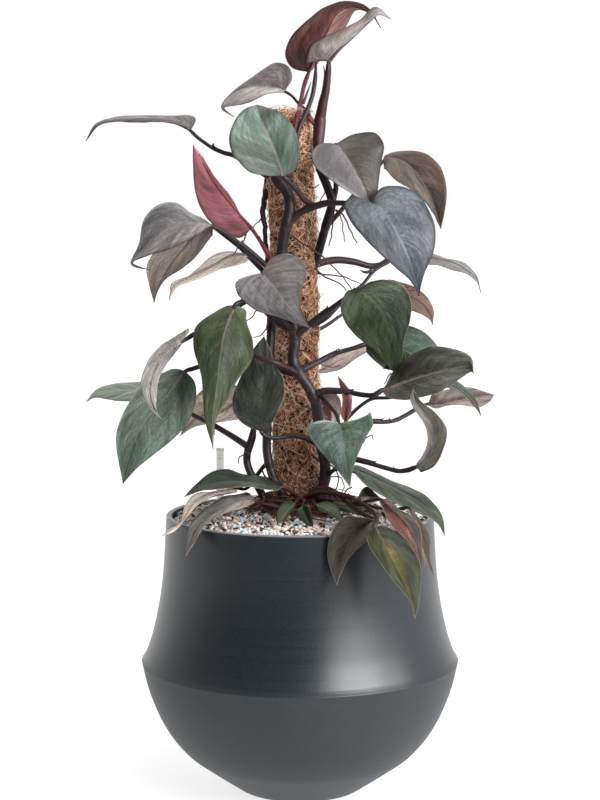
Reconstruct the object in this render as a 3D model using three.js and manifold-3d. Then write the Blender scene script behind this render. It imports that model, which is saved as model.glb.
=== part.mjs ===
// Potted climbing philodendron with dark red foliage, trained up a coir pole in a round metal planter.
// Units are millimetres, +Z is up, and the origin is the centre of the planter's foot on the floor.
// The front of the plant faces -Y.
import * as THREE from 'three';
import { mergeVertices } from 'three/addons/utils/BufferGeometryUtils.js';
import Module from 'manifold-3d';

// ---------------------------------------------------------------- driving dimensions
const PLANTER_HEIGHT = 305;      // floor to rim
const SHOULDER_HEIGHT = 143.6;   // the crease where the bowl meets the upper band
const SHOULDER_RADIUS = 174.8;
const RIM_RADIUS = 147;          // outside of the rim
const RIM_WIDTH = 6;             // flat lip
const FOOT_RADIUS = 66;
const WALL = 5;
const FLOOR_THICKNESS = 8;
const GAP = 0.35;                // between pieces that touch
const SOIL_LEVEL = 262;          // top of the root ball, under the mineral top layer
const GRAVEL_EDGE = 299;         // top layer where it meets the rim
const GRAVEL_CENTRE = 311;
const POLE_RADIUS = 26;          // coir sleeve
const STAKE_RADIUS = 8;          // stake inside the sleeve
const STAKE_BOTTOM = 60;
const GAUGE = 8.4;               // square tube of the water gauge
const GAUGE_X = -90.4, GAUGE_Y = 60;
const GAUGE_BOTTOM = 150, GAUGE_TOP = 370;
const BLADE_THICKNESS = 0.9;
const BLADE_STEPS = 6;           // along the midrib
const BLADE_COLUMNS = 4;         // margin to margin
const BLADE_BULGE = 0.055;       // arch of each half, as a part of its width

// Outside of the planter, [radius, height] from the foot to the shoulder, then to the rim.
const BOWL = [[FOOT_RADIUS, 0], [71.5, 2.6], [86, 13.5], [108.6, 28.7], [126.5, 42.5], [142.5, 61],
  [154.5, 81], [164, 103], [170, 122], [SHOULDER_RADIUS, SHOULDER_HEIGHT]];
const BAND = [[171.4, 149], [166.6, 161.5], [161.2, 180], [154.8, 211], [150.5, 245],
  [RIM_RADIUS, PLANTER_HEIGHT - 1], [RIM_RADIUS - 0.8, PLANTER_HEIGHT]];

// Centre line of the coir pole, which leans a little to its left.
const POLE_PATH = [[-15.6,0,741.4],[-13.5,0,712.6],[-9.7,0,653.6],[-7.1,0,583.4],[-5.5,0,518.2],[-4.4,0,452.5],[-3.3,0,386.5],[-2.8,0,331.1],[-2.3,0,262]];

// Climbing stems: radius and centre line.
const STEMS = [
  { name: 'stem_main', r: 6, path: [[-30.9,-30,679.5],[-24.4,-36,668.7],[-15.9,-42,659.1],[-11.6,-44,650.7],[-10.6,-44,639.1],[-13.8,-44,624.3],[-18.1,-42,605.3],[-20.2,-40,582],[-20.2,-40,557.5],[-14.9,-42,536.3],[-7.5,-43,518.2],[-5.3,-44,498],[-7.5,-45,477.8],[-1.1,-47,464],[8.5,-47,450.1],[16,-46,435],[19.3,-44,415.4],[22.5,-42,391.4],[26.9,-40,367.4],[25.9,-38,345.4],[19.4,-36,327.6],[16.2,-34,309.8]] },
  { name: 'stem_right', r: 4.6, path: [[22.4,-18,745.6],[21.4,-17,732.9],[20.3,-17,719.2],[19.2,-20,701],[21.4,-22,681.9],[28.9,-24,662.7],[34.2,-24,645.7],[30,-22,628.7],[24.7,-18,609.4],[19.5,-10,590],[13.1,8,570.2],[6.6,26,549.9],[2.2,35,525.3],[1.1,37,488.5],[2.2,38,449.3],[3.4,38,410.1],[4.5,38,370.7],[4.5,37,331.3],[4.5,36,303.1]] },
  { name: 'stem_left', r: 4.8, path: [[-34.5,-14,591.2],[-33.4,-17,577.2],[-33.4,-20,562.3],[-31.2,-24,528],[-31.2,-27,503.4],[-33.4,-28,476.5],[-35.6,-29,449.6],[-35.6,-30,422.6],[-35.6,-31,398.8],[-35.6,-32,377.2],[-30.3,-32,353.2],[-22.7,-31,337.8],[-16.3,-30,322.4],[-13,-29,306.8]] },
  { name: 'stem_low_left', r: 4.2, path: [[-50.2,-10,404.1],[-52.3,-12,390.1],[-56.7,-14,377.1],[-57.8,-14,364],[-53.4,-16,351],[-45.8,-16,336.7],[-38.2,-16,322.4],[-32.8,-16,306.9]] },
];

// Leaves. Each blade is lofted through its midrib and its two margins, from the stalk to the tip.
// a and b run from the second to the last but one station of the midrib. With the tip ahead and the
// upper face towards the eye, a lies on the right and b on the left. The stalk runs from the blade to
// the stem; r is its radius.
const LEAVES = [
  { name: 'leaf_01', r: 2.8,
    mid: [[8.6,-0,785.1],[11.1,0.5,791.1],[15.4,1.6,801.5],[21.2,3.3,814.1],[29.1,4.9,830.5],[38.7,5.5,847.7],[56.1,3.5,855.4],[75,0.2,848],[86.9,-1.4,831.5]],
    a: [[-8.5,-5.9,788.7],[-15.7,-13.3,801.7],[-9.1,-19,819.8],[5.6,-22.2,835.9],[24.7,-20.3,851.3],[49.2,-15.5,857.4],[73.2,-9.1,850.9]],
    b: [[10.5,19,788],[12.5,34.5,790.9],[23.9,40.1,803.8],[36.8,39.6,818.9],[49,34.1,836.3],[60.2,23.7,854],[75.6,9.7,846.8]],
    stalk: [[8.6,-0,785.1],[4.3,-6,769.7],[1.1,-14,754.3],[-2.1,-24,737.8],[-4.2,-32,723.6],[-8.5,-36,700.3],[-12.7,-38,672.9]] },
  { name: 'leaf_02', r: 3.4,
    mid: [[29.7,-25,794.4],[31,-25.1,796],[34.6,-25.1,800.4],[40,-25.2,806.6],[49.4,-24.5,815.3],[60.3,-23.3,825.3],[71.4,-22.2,835.4],[83.6,-21.8,844.4],[96.6,-20.6,838.8]],
    a: [[30.7,-41.7,794.1],[31.8,-55.6,794.1],[40.9,-60.7,803.6],[51.6,-58.7,813.5],[62.2,-51.4,823.5],[72.8,-41.2,833],[84.5,-30.7,841.8]],
    b: [[15.3,-18.1,794.6],[6.3,-9.3,794.8],[11.7,-4,812.1],[26.6,-0.3,821.9],[44.5,-1.1,831.2],[63.5,-6.7,839.5],[80,-14.8,851.8]],
    stalk: [[29.7,-25,794.4],[29.8,-24,779.9],[27.7,-22,764.3],[24.5,-20,750.7],[21.4,-17,732.9]] },
  { name: 'leaf_03', r: 1.8,
    mid: [[-16.1,-12,764],[-19.5,-12.1,764.7],[-26.8,-12.3,766.1],[-36.2,-12.3,767.3],[-49.2,-11.1,768.1],[-63.4,-8.3,765.7],[-75.3,-4.4,758.9],[-83.9,0.2,748.3],[-71.3,3.7,737.4]],
    a: [[-8.6,-5.3,777.7],[-12.8,3.1,790.7],[-26.7,10,795.8],[-41,15.5,789.4],[-56,16.9,777.6],[-71.7,14.2,764.4],[-85,9.2,747.5]],
    b: [[-17.7,-28.6,762.3],[-21.3,-42.2,760.6],[-34.4,-46,757.5],[-47.3,-42.2,752.3],[-59.7,-32.7,749.5],[-71.1,-20.5,747.6],[-81.6,-7.2,745.2]],
    stalk: [[-16.1,-12,764],[-8.6,-13,758.6],[-2.1,-14,751.1],[4.3,-15,744.7],[9.6,-16,738.3],[15,-17,728.7]] },
  { name: 'leaf_04', r: 2.4,
    mid: [[-118.9,20,724.4],[-124.3,19.3,728.3],[-134.3,18,732.6],[-147.4,16.4,734.9],[-164.7,14.7,736.1],[-183.9,13.1,735.6],[-202.7,11.4,734.5],[-221.6,9.5,728.6],[-232,7.8,711.9]],
    a: [[-114.6,34.4,735.8],[-123.1,47.8,741],[-141.2,52.8,741.5],[-161.4,50.4,741.4],[-182.3,42.4,740.1],[-202.9,31,738],[-222.5,18.5,731]],
    b: [[-119.7,2.1,724.5],[-123.1,-13.1,725.4],[-138.8,-19.8,728.6],[-157.5,-20.5,731],[-177.7,-15.8,731.5],[-198.2,-8,730.8],[-218.2,0.7,726.4]],
    stalk: [[-118.1,8,723.7],[-111.5,6,716.1],[-102.8,4,709.6],[-92.9,-0,703],[-82,-4,698.5],[-70,-8,695.1],[-53.7,-14,685.3],[-34.2,-22,673.4]] },
  { name: 'leaf_05', r: 3,
    mid: [[-16.6,-82,671.6],[-17.5,-79.1,674.7],[-19.5,-72.2,681.2],[-22.5,-62.6,690.3],[-28.3,-50,704.4],[-35.8,-37.1,719.7],[-41.2,-23.5,732.6],[-44.6,-6,743.5],[-46.7,13.8,750.9]],
    a: [[-4.5,-94.1,677.2],[-0,-98,690.8],[-2.7,-88.5,707.5],[-5.5,-71,720.1],[-11.9,-50.6,731.2],[-23.7,-30.5,741.8],[-35.9,-8.6,747.6]],
    b: [[-34.6,-93.7,672.4],[-52.5,-95.7,675.1],[-64,-84,686.1],[-70.5,-66.1,695.7],[-74.6,-48.6,714.2],[-67.3,-31.3,734.1],[-56.1,-9.7,746.4]],
    stalk: [[-16.6,-82,671.6],[-10.4,-76,664.6],[-3.1,-66,656.5],[4.2,-56,648.3],[12.7,-44,641.2]] },
  { name: 'leaf_06', r: 2.4,
    mid: [[-52.4,-28,616.9],[-56.4,-28.1,621.3],[-62.9,-28.4,628.5],[-70.3,-28.8,637.6],[-79.7,-29.4,649.4],[-89.8,-30.3,662.4],[-98.1,-31.5,675.9],[-105.7,-32.6,690.9],[-113.6,-33.4,705.7]],
    a: [[-61,-40.7,608.9],[-71.5,-51.4,608.9],[-85.9,-53.3,615.7],[-97.9,-51,628.2],[-107.1,-46.2,645.1],[-112.5,-41,665],[-113.7,-36.6,685.8]],
    b: [[-53.7,-10.3,618.9],[-57.6,4.4,624.2],[-66.5,9.6,636.5],[-75.6,7.7,650.5],[-85.1,0.1,664.7],[-94.2,-11.1,678.4],[-103.4,-23.3,692.2]],
    stalk: [[-51.3,-28,615.9],[-44.8,-32,607.4],[-39.4,-36,598.9],[-34.1,-38,590.4],[-26.6,-40,582]] },
  { name: 'leaf_07', r: 2.8,
    mid: [[-91.8,-74,621.1],[-99.3,-75.6,621.7],[-110.4,-79.3,623.2],[-122.9,-83.8,623.9],[-138.5,-87.7,619.7],[-152.4,-88.7,608.8],[-163.5,-88,595.2],[-174.9,-88.1,580.8],[-155.6,-89.5,574.6]],
    a: [[-102,-58,626.9],[-114.6,-48.8,633.9],[-129.1,-52.6,644.9],[-148.3,-59.3,641.6],[-163.6,-65,625.6],[-169,-70.7,603],[-175.4,-79.4,580.4]],
    b: [[-92.5,-91.9,619.6],[-93.3,-107.4,618.1],[-105.7,-114.8,610.8],[-121.4,-116.7,603.3],[-138.2,-112.8,594.5],[-156.3,-105.4,589],[-174.6,-96.5,582]],
    stalk: [[-91.8,-74,621.1],[-81.6,-70,614.9],[-68.3,-62,605.4],[-54.9,-54,594.9],[-40.3,-46,582.1],[-29.8,-42,571.4]] },
  { name: 'leaf_08', r: 2.4,
    mid: [[-94.1,-5,618],[-100.5,-5.5,618.5],[-109.9,-6.4,613.2],[-118.5,-6.9,604],[-129.2,-6.4,591.5],[-139.7,-4.8,577.8],[-148,-1.5,564.9],[-155,4.6,550.6],[-160.1,12.7,536.2]],
    a: [[-94,-19.5,610.5],[-93.9,-32.7,608.5],[-103.6,-36.9,596.4],[-116.2,-36.1,584],[-130.9,-30.1,571.8],[-146.2,-19.3,561.1],[-156.4,-3.9,548.8]],
    b: [[-100.8,11.1,623.5],[-110.5,23.3,625],[-125.5,25.8,616.6],[-141,21.1,606.7],[-156.6,11.2,596],[-167.2,5,576.3],[-164,6.1,555]],
    stalk: [[-94.1,-5,618],[-81.1,-8,609.4],[-64.7,-14,596.5],[-49.4,-22,581.6],[-34.3,-28,566.8]] },
  { name: 'leaf_09', r: 2.4,
    mid: [[-55.6,-30,589.2],[-60.9,-30.3,589.4],[-69.5,-31.1,589],[-79.8,-32.3,585.6],[-91.8,-34.4,578.1],[-106,-36.7,571.6],[-120,-38.7,564.7],[-134.3,-40.6,556.7],[-139.6,-42.1,541.6]],
    a: [[-54.4,-15.2,585.4],[-60.1,-3,581.7],[-73.6,0.6,576.1],[-88.7,-1.8,571.6],[-103.7,-9.7,566],[-118.4,-20.5,561.2],[-131.4,-32.2,553.6]],
    b: [[-58.5,-13.7,590.2],[-66.3,-1.1,591.6],[-81.7,1.7,591.5],[-97.2,-1.9,586.9],[-110,-9.7,576.4],[-121.9,-20.5,565.3],[-136.8,-32.2,558.5]],
    stalk: [[-55.6,-30,589.2],[-47,-34,585],[-38.4,-38,578.7],[-29.8,-40,571.3]] },
  { name: 'leaf_10', r: 2.6,
    mid: [[37.7,-58,705.6],[39.4,-58.6,703.4],[43.2,-60,698.6],[47.8,-61.8,691.8],[53.8,-63.3,682.1],[60.7,-63.5,670.2],[67.4,-62.4,657.8],[73.6,-60.1,643.7],[78.9,-57.1,629.5]],
    a: [[21.9,-63.3,706.1],[12.2,-70.9,697],[13.4,-77.4,683.7],[24,-82.9,673.6],[38.7,-82.8,663.2],[54.4,-77.2,652.5],[69.4,-67.7,642.6]],
    b: [[52.3,-50.8,714.4],[67.2,-47.7,718.4],[79.8,-51.8,716.9],[87.9,-55.5,704.5],[85.6,-56.4,688.4],[83.3,-56.7,669.6],[80.8,-57.1,649.2]],
    stalk: [[37.7,-58,705.6],[35.9,-44,691.6],[36.2,-32,677.3],[38.5,-24,662.7],[36.4,-22,650]] },
  { name: 'leaf_11', r: 2.4,
    mid: [[90.2,10,691.6],[95.7,9.5,694.3],[106.4,8.7,692.6],[117.6,9,686.5],[128.8,11.8,674.7],[137.9,17.7,660.9],[145.5,25.7,647.3],[151.4,35.5,632.1],[156.6,46.1,616.9]],
    a: [[90.6,-4.8,682.4],[90.9,-18.8,680.3],[101.7,-22.6,668.5],[117.9,-20.1,660.6],[131.7,-8.9,649.4],[141,7.9,637.7],[149.6,27.3,627.7]],
    b: [[94,28,697.5],[103.2,40.9,702.2],[121.6,42.8,702.6],[140.6,37.8,697.9],[156.3,32.6,682.5],[161.7,32.4,659.9],[159.5,37.5,637.3]],
    stalk: [[89.5,-5,691],[79.9,-4,678.2],[67,-4,663.2],[53.9,-8,648.1],[40.9,-14,633],[29,-18,620.1]] },
  { name: 'leaf_12', r: 3.6,
    mid: [[74.6,-84,642.7],[76.8,-85.4,641.3],[82.5,-88.7,637.3],[89.9,-92.9,629.3],[98,-96.4,615.3],[106.2,-97.5,599.4],[113.2,-95.3,583.6],[119.2,-89.3,565.1],[124.2,-81.2,547.4]],
    a: [[57.3,-90.4,650.7],[45.1,-100.8,642],[50.5,-111.5,626.8],[63.1,-119.1,611.6],[79.3,-119.1,593.8],[97.3,-111.5,577.2],[114.6,-97.6,563.4]],
    b: [[83.8,-72.6,659.5],[102.5,-66.1,662.1],[120.4,-70.4,654.3],[132.1,-80.1,639.4],[140.2,-88.9,618.3],[138.2,-91.7,593.2],[128.5,-88.3,570.4]],
    stalk: [[76.7,-84,640.7],[66.6,-76,640.8],[52.3,-68,643],[39.9,-62,644.1],[26.3,-56,643.1],[10.6,-50,639],[-2.1,-46,632.7],[-12.7,-44,622.2]] },
  { name: 'leaf_13', r: 2.4,
    mid: [[108.1,30,585.1],[114.3,30.2,585.7],[124.4,30.7,586.3],[136.2,31.6,586.3],[151.6,33.4,583.5],[168.3,35.8,579.4],[183,39,571.9],[196.1,44,560.9],[202.2,50.5,545.8]],
    a: [[111.8,45.3,591.9],[114.2,58.8,593.6],[129.1,64.5,595.1],[145.4,65.4,589.6],[163.6,61.7,584.9],[182.6,55.7,580.5],[196.2,51.5,565.1]],
    b: [[109.5,14.4,581],[116.2,1.7,579.4],[131.9,-2.2,579.1],[149.2,0.7,578],[165.7,9.4,571.3],[183.1,21.1,568.7],[196.2,35.7,559.4]],
    stalk: [[108.1,30,585.1],[96.9,26,580.7],[81.1,16,571.1],[67.6,4,556.1],[54.2,-8,546.8],[41,-20,534.3],[27.9,-32,521.9],[12.8,-42,513.9]] },
  { name: 'leaf_14', r: 2,
    mid: [[80.4,50,544.7],[84.8,49.9,545.1],[92.6,49.7,545.7],[101.8,49.8,545.5],[114.2,50.8,543.8],[127.7,53.1,539.2],[138.7,57.5,531.5],[146.2,64.2,520.6],[150.4,72.2,508.8]],
    a: [[83.4,64.6,547.9],[87,76,552.4],[98.4,78.9,559],[112.6,77.9,556.9],[128.1,73.6,553.2],[141.7,69.9,542.5],[150,69.4,526.2]],
    b: [[82.6,36.8,537.4],[83.1,24.9,536.6],[94.3,22,530.1],[107.9,24.8,527.1],[122.1,31.8,526.7],[134.9,43.2,523.1],[144.4,57.6,516.9]],
    stalk: [[80.4,50,544.7],[69,42,538.3],[53.2,32,527.6],[35.2,18,515.1],[19.7,6,506.9],[6.6,28,499]] },
  { name: 'leaf_15', r: 2.8,
    mid: [[-39.4,-92,571.6],[-37.8,-91.4,569.8],[-34.4,-89.8,565.7],[-29.9,-87.4,560.2],[-23.7,-84.1,552.1],[-17,-80.3,542.5],[-9,-76.4,533.3],[0.8,-73.3,523.1],[10.5,-71.3,513.4]],
    a: [[-55.2,-91.1,568.6],[-66.6,-87.5,561.8],[-65.2,-81.9,549.4],[-56.6,-75.2,539.7],[-42.8,-70.7,530.7],[-25.1,-68.7,525.3],[-6.9,-69.3,518.6]],
    b: [[-30.5,-97,586],[-15.7,-98.3,592.3],[-2.7,-93.3,588.8],[5.8,-84.2,580.1],[5.6,-74.9,566],[0.5,-68.8,550],[2,-68.2,530.2]],
    stalk: [[-39.4,-92,571.6],[-37.6,-80,553.6],[-31.5,-68,536.4],[-21.2,-56,523.1],[-10.6,-46,512]] },
  { name: 'leaf_16', r: 3.4,
    mid: [[59.4,-84,552.7],[63.5,-82.5,551],[69.9,-78.6,547.7],[77.6,-72.8,541.8],[86.1,-64.6,530.9],[93.5,-56.5,515.6],[99,-49.7,498.4],[102.5,-42.4,480.3],[101,-34,462.9]],
    a: [[47.6,-96.2,552.1],[42.2,-101.5,537.4],[46.6,-94.6,522],[52.3,-80.7,512.3],[62.4,-66.7,501.6],[76.9,-55.4,490.8],[90.1,-44.7,476.8]],
    b: [[73.2,-95.6,562.7],[89,-101.8,565.8],[105.8,-97.6,558.9],[115.1,-89.5,542],[115.3,-79.3,521],[110.1,-66.7,499.9],[108,-50.8,479.9]],
    stalk: [[59.4,-84,552.7],[48.2,-74,545],[33.7,-64,534.1],[19.1,-56,523.1],[5.3,-50,512.2],[-4.3,-46,503.5]] },
  { name: 'leaf_17', r: 3.2,
    mid: [[71.5,-14,492.9],[76.5,-15.3,492.5],[85,-18.2,492],[95.7,-22.3,491.5],[109.8,-26.9,488.1],[124.8,-28.1,480.2],[136.4,-23.8,469.9],[143.5,-13.5,458.4],[148.8,-0.3,448.2]],
    a: [[72.6,-1.9,484],[79.2,3.1,474.6],[90.2,-4.3,466.2],[91.1,-19.9,466.6],[105.9,-30,463.9],[124.5,-28.6,460.4],[139.5,-16.9,453.8]],
    b: [[78.4,-0.4,502.8],[89.1,8.2,509.8],[105.3,5.6,513.5],[121.2,-4,511.8],[137.3,-14.3,503],[151.3,-18,485.4],[153.5,-12.3,463.9]],
    stalk: [[71.5,-14,492.9],[58.4,-20,488.9],[43.1,-28,485.1],[27.9,-34,479.1],[15,-40,473.1],[2.1,-44,467]] },
  { name: 'leaf_18', r: 3,
    mid: [[-126.9,-60,497.9],[-129.8,-61.7,496.7],[-135.8,-65.7,493.3],[-143.1,-71.9,486.8],[-150.2,-80.5,475.6],[-155.1,-90.8,461.7],[-156.5,-101.6,447.4],[-151.1,-113.7,433.6],[-141.5,-125.5,421]],
    a: [[-123.6,-45.5,499.2],[-130.2,-37.2,491],[-139.5,-41,477.2],[-146.8,-52.2,463.7],[-151.1,-68.4,451.2],[-150.7,-87.1,440.1],[-147.8,-107.2,430.8]],
    b: [[-116.7,-66.6,508.1],[-117.5,-78,512.7],[-128.8,-89.6,507.3],[-143.4,-99.9,497.2],[-156.3,-107.1,479.9],[-164.3,-112.3,458.1],[-157.5,-118.4,436]],
    stalk: [[-126.9,-60,497.9],[-118.8,-54,501.8],[-108.6,-46,506.7],[-90.7,-42,504.3],[-69.1,-50,494.1],[-52.9,-62,485.4],[-40,-70,480.7],[-25.3,-71,476.5],[-11.7,-58,469.1],[-1.1,-48,463]] },
  { name: 'leaf_19', r: 2.8,
    mid: [[-68,-78,537.8],[-70.9,-79.5,530.4],[-75.7,-83.2,518.6],[-79.7,-88.8,504.1],[-82.6,-94.7,484.6],[-85.1,-98.9,461.2],[-88.4,-102,438],[-91.4,-103.6,413.6],[-90.4,-104,389.4]],
    a: [[-81.2,-62.4,535.1],[-94.9,-55.2,527.5],[-109.7,-61.3,513.1],[-111.1,-68.5,490.2],[-105.2,-76,466],[-101.8,-86,440.8],[-97.1,-96,415]],
    b: [[-58.8,-62.2,532.4],[-56.3,-54.1,518.6],[-49.3,-61,500.7],[-51.3,-69.7,479.7],[-65.6,-76.1,460.1],[-76.3,-85.2,437.2],[-88.7,-95.2,414.7]],
    stalk: [[-68,-78,537.8],[-62.9,-72,540.7],[-56,-58,543.3],[-46.8,-46,539.7],[-36.3,-42,528.8],[-25.6,-42,518.2],[-12.8,-44,509.7]] },
  { name: 'leaf_20', r: 3,
    mid: [[-123.3,-38,465.4],[-127.8,-39.9,460.1],[-134.8,-44.4,451],[-143,-50.7,439.4],[-155.6,-58.7,425.8],[-167.8,-66.3,408.4],[-176.5,-71.3,389.8],[-183.2,-73.1,369.3],[-187.4,-72.5,348.2]],
    a: [[-136.8,-23,467.5],[-150.2,-15,460.4],[-167.9,-21.4,453],[-180.3,-32.9,438.5],[-189.8,-47.4,420.3],[-194.9,-60.2,397.7],[-192.4,-68.6,372.8]],
    b: [[-113.7,-25.4,452.6],[-111.5,-19.4,436.2],[-117.1,-26.1,418.3],[-124.8,-40.8,404.7],[-136.4,-57,392.8],[-153.3,-68,380],[-172.1,-72.7,365.2]],
    stalk: [[-123.1,-40,465.6],[-115.9,-36,467.4],[-105.7,-26,469.9],[-90.9,-18,471.4],[-71.6,-14,473.3],[-54.1,-18,473.6],[-36.6,-30,470.2],[-21.4,-38,466.5],[-6.4,-44,462.7]] },
  { name: 'leaf_21', r: 3.2,
    mid: [[-144.5,30,436.6],[-149.6,30.5,437.3],[-158.2,31.8,438.4],[-168.8,33.7,439.2],[-183.1,36.6,439.5],[-199.2,40.2,438.6],[-215,44.5,437.2],[-230.6,50.6,433],[-241.4,58.5,422.7]],
    a: [[-142.9,43.9,443.4],[-145.2,57,443.9],[-158.1,63.7,447.1],[-174.1,65.7,446.7],[-191.6,63.9,444.3],[-210.1,60.1,442.2],[-229.1,57.5,437.3]],
    b: [[-145.7,15.8,431.2],[-152,4.4,429.8],[-167,2.4,428.2],[-183.1,6.9,428.4],[-199.3,16.6,428.6],[-215,29.2,428.6],[-229.6,43.7,428.2]],
    stalk: [[-144.5,30,436.6],[-135.4,26,425.8],[-121.8,20,414.2],[-104.9,14,405.9],[-88,6,397.9],[-71.2,-4,389.1],[-57.8,-14,381.5]] },
  { name: 'leaf_22', r: 2.8,
    mid: [[-42.5,-60,403.2],[-41.4,-59.3,408.9],[-39.9,-57.6,418],[-38.4,-55.5,428.9],[-37.4,-52.5,442.9],[-36.4,-49.3,458.1],[-36.5,-46.4,473.2],[-37.5,-42.8,488.6],[-38.5,-38.3,503]],
    a: [[-33.9,-74.5,406.9],[-28.2,-85.3,415],[-22.4,-85.8,429.3],[-16.8,-79.9,443.6],[-16.8,-70.7,459.7],[-25.6,-61.1,474],[-32.1,-49.8,489.3]],
    b: [[-54.1,-47.8,405.4],[-64,-39,411.2],[-71.4,-39.5,423.5],[-71.8,-42.5,438.7],[-65.8,-44.7,455.1],[-57.4,-45.3,472],[-49.6,-43,489.6]],
    stalk: [[-42.5,-62,403.4],[-36.2,-58,397.6],[-27.7,-54,395],[-17.1,-50,395.6],[-4.3,-48,396.5],[8.6,-46,393],[21.5,-42,385]] },
  { name: 'leaf_23', r: 2.2,
    mid: [[-58.1,40,428.9],[-62.6,39.9,427.1],[-70.3,39.5,424],[-78.6,39.3,419],[-89.7,39,412.7],[-103,39,411],[-114.7,40.5,405.2],[-125.7,43.8,395.8],[-134.9,47.8,385.3]],
    a: [[-57.3,26.5,421.7],[-58.2,14.4,418.1],[-66.8,10.1,408.2],[-81.3,9.8,405.9],[-97.2,14.4,404.1],[-111.9,23.9,399.9],[-124,36.1,393.1]],
    b: [[-64.4,53.7,434.4],[-72.7,62.9,439.3],[-85.9,61.3,442.6],[-98.5,54.5,441.5],[-112.6,48.4,434.7],[-122.2,46,419.8],[-128.4,46.1,402.2]],
    stalk: [[-58.1,40,428.9],[-46.9,38,432.5],[-33.4,36,433.8],[-17.8,36,429.3],[-2.2,37,422.5]] },
  { name: 'leaf_24', r: 3.4,
    mid: [[86.1,-78,448.6],[91.8,-78.3,450.9],[101.1,-79.3,454.5],[112.3,-80.5,458.7],[127.6,-82,463.4],[144.3,-83.9,468.1],[159.9,-86.5,472.2],[175.7,-92.3,475.1],[180,-104.3,467.6]],
    a: [[89.8,-62.5,442.8],[97.4,-51.7,437.3],[113.6,-51.9,434.7],[130.2,-55.9,439.4],[147.4,-63.6,446.2],[163.9,-73,456.4],[178,-85.7,467.6]],
    b: [[90.4,-59.7,451.5],[97.1,-47,460.6],[107.6,-47.1,475],[121,-54.6,486.4],[137.7,-66.3,493.4],[158.1,-77.4,492.2],[177.2,-89.1,485.2]],
    stalk: [[86.1,-78,448.6],[77.8,-76,443.1],[67.6,-68,442.4],[55.2,-60,443.8],[40.4,-56,445.5],[25.6,-52,445.2],[12.8,-48,439.5]] },
  { name: 'leaf_25', r: 2.4,
    mid: [[40.6,-96,415.7],[41,-95,413.8],[41.9,-92.5,409.1],[43,-88.8,403.1],[44.8,-85.1,394.2],[46.5,-81.9,383.2],[48.1,-79.9,371.9],[50.1,-79.3,358.9],[52.7,-80.2,346.1]],
    a: [[24.9,-97.7,419],[11.5,-94.4,415],[6.9,-85.4,407.6],[10.8,-76.1,398.3],[19.4,-71,385.6],[30.6,-70.8,372],[42.7,-74.5,358.8]],
    b: [[58.1,-95.8,419.5],[71.2,-89.6,424.5],[74.2,-78.2,424.6],[77.3,-70.8,410.5],[69.3,-65.9,396.9],[61.6,-66.5,379.9],[55.9,-72.2,362.1]],
    stalk: [[40.7,-92,415.3],[37.7,-84,423.9],[32.7,-74,429.2],[27.6,-62,434.4],[22.4,-50,439.6]] },
  { name: 'leaf_26', r: 3.2,
    mid: [[121.8,-70,367],[127.9,-71,369.5],[135.2,-73.5,376.7],[139.7,-77.4,387.6],[140.7,-83.9,402.6],[135.8,-92.8,417.1],[127.7,-103.6,428.6],[119,-115.7,440.4],[115.5,-128.7,454.2]],
    a: [[125.6,-84.7,364.1],[127,-96.8,364.9],[140.3,-102.2,372.3],[149.5,-105.3,388.3],[152.5,-107.5,409],[140.7,-111.9,426.1],[125.8,-119.1,439.5]],
    b: [[125,-55.6,367.7],[131.6,-46.6,374],[135.9,-48.4,390.4],[133.1,-57.3,407.2],[126.7,-72.4,421],[118.8,-90.8,430.7],[113.3,-110.2,441.4]],
    stalk: [[121.8,-70,367],[114.7,-66,362.2],[104.3,-62,360.6],[91.7,-58,363.3],[76.9,-54,367.1],[62.1,-48,370.6],[47.3,-42,372],[30.2,-38,373.6]] },
  { name: 'leaf_27', r: 3,
    mid: [[141.6,20,423.1],[145.5,20.5,423.6],[152.5,21.6,424.7],[160.6,23.3,426.3],[171.6,26.2,428.6],[184.4,29.9,430.3],[196.8,34.5,431.8],[208.8,41.3,432.2],[217.9,50.7,431.3]],
    a: [[143.6,34.9,423.8],[145.2,47.5,424.1],[150.2,52.3,434.2],[162.2,53.5,437.2],[175.5,51,438.9],[189.8,47.4,439.8],[205,46.7,436.7]],
    b: [[144.2,5.4,423.1],[150.3,-6.1,422.4],[162.8,-8.5,425.7],[176.3,-3.8,425.5],[188.9,6.9,423.4],[200.3,20.8,420.8],[211.6,35.5,425]],
    stalk: [[141.6,20,423.1],[130.2,14,420.3],[118.8,8,414.3],[105.2,-0,408.5],[91.8,-6,407],[74,-14,407.8],[54.2,-24,402.4],[36.7,-32,394.6]] },
  { name: 'leaf_28', r: 1.8,
    mid: [[143.5,-40,458.1],[146.6,-40.5,457.4],[152.3,-41.6,456.2],[158.8,-43.2,454.1],[166.7,-45.6,449.9],[174.7,-48.5,443.9],[181.8,-51.3,437],[187.9,-53.8,428.2],[192.7,-55.8,418.8]],
    a: [[146.9,-29.1,454.3],[149.9,-20.4,451.2],[158.6,-18.6,446.8],[167.9,-21.9,443.5],[175.6,-29,438.6],[181.8,-38.2,433],[188.2,-47.7,427]],
    b: [[148.3,-28.9,459.7],[153.2,-20.1,459.4],[163,-18.5,456],[172.2,-22,450.9],[179.8,-29.3,444.3],[187.1,-38.8,438.5],[190.6,-48.1,429.1]],
    stalk: [[143.5,-40,458.1],[130.9,-38,447.1],[116,-36,440.5],[96.8,-34,436],[77.5,-34,434.9],[62.4,-34,425.2],[49.5,-34,412.2]] },
  { name: 'leaf_29', r: 2,
    mid: [[47.6,-70,412.9],[48.1,-69.3,415.5],[49.1,-67.5,419.9],[49.8,-65.1,424.9],[50.1,-61.9,431.6],[49.4,-58.6,439.3],[47.8,-55.6,446.8],[44.5,-52.6,454.2],[40.5,-49.7,461]],
    a: [[49.2,-75.1,415.8],[51.3,-76.7,419],[54.4,-73.7,425.2],[54.9,-68.9,432.6],[54.5,-63.4,440.4],[51.8,-58.3,448.2],[46.4,-53.7,454.9]],
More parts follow.
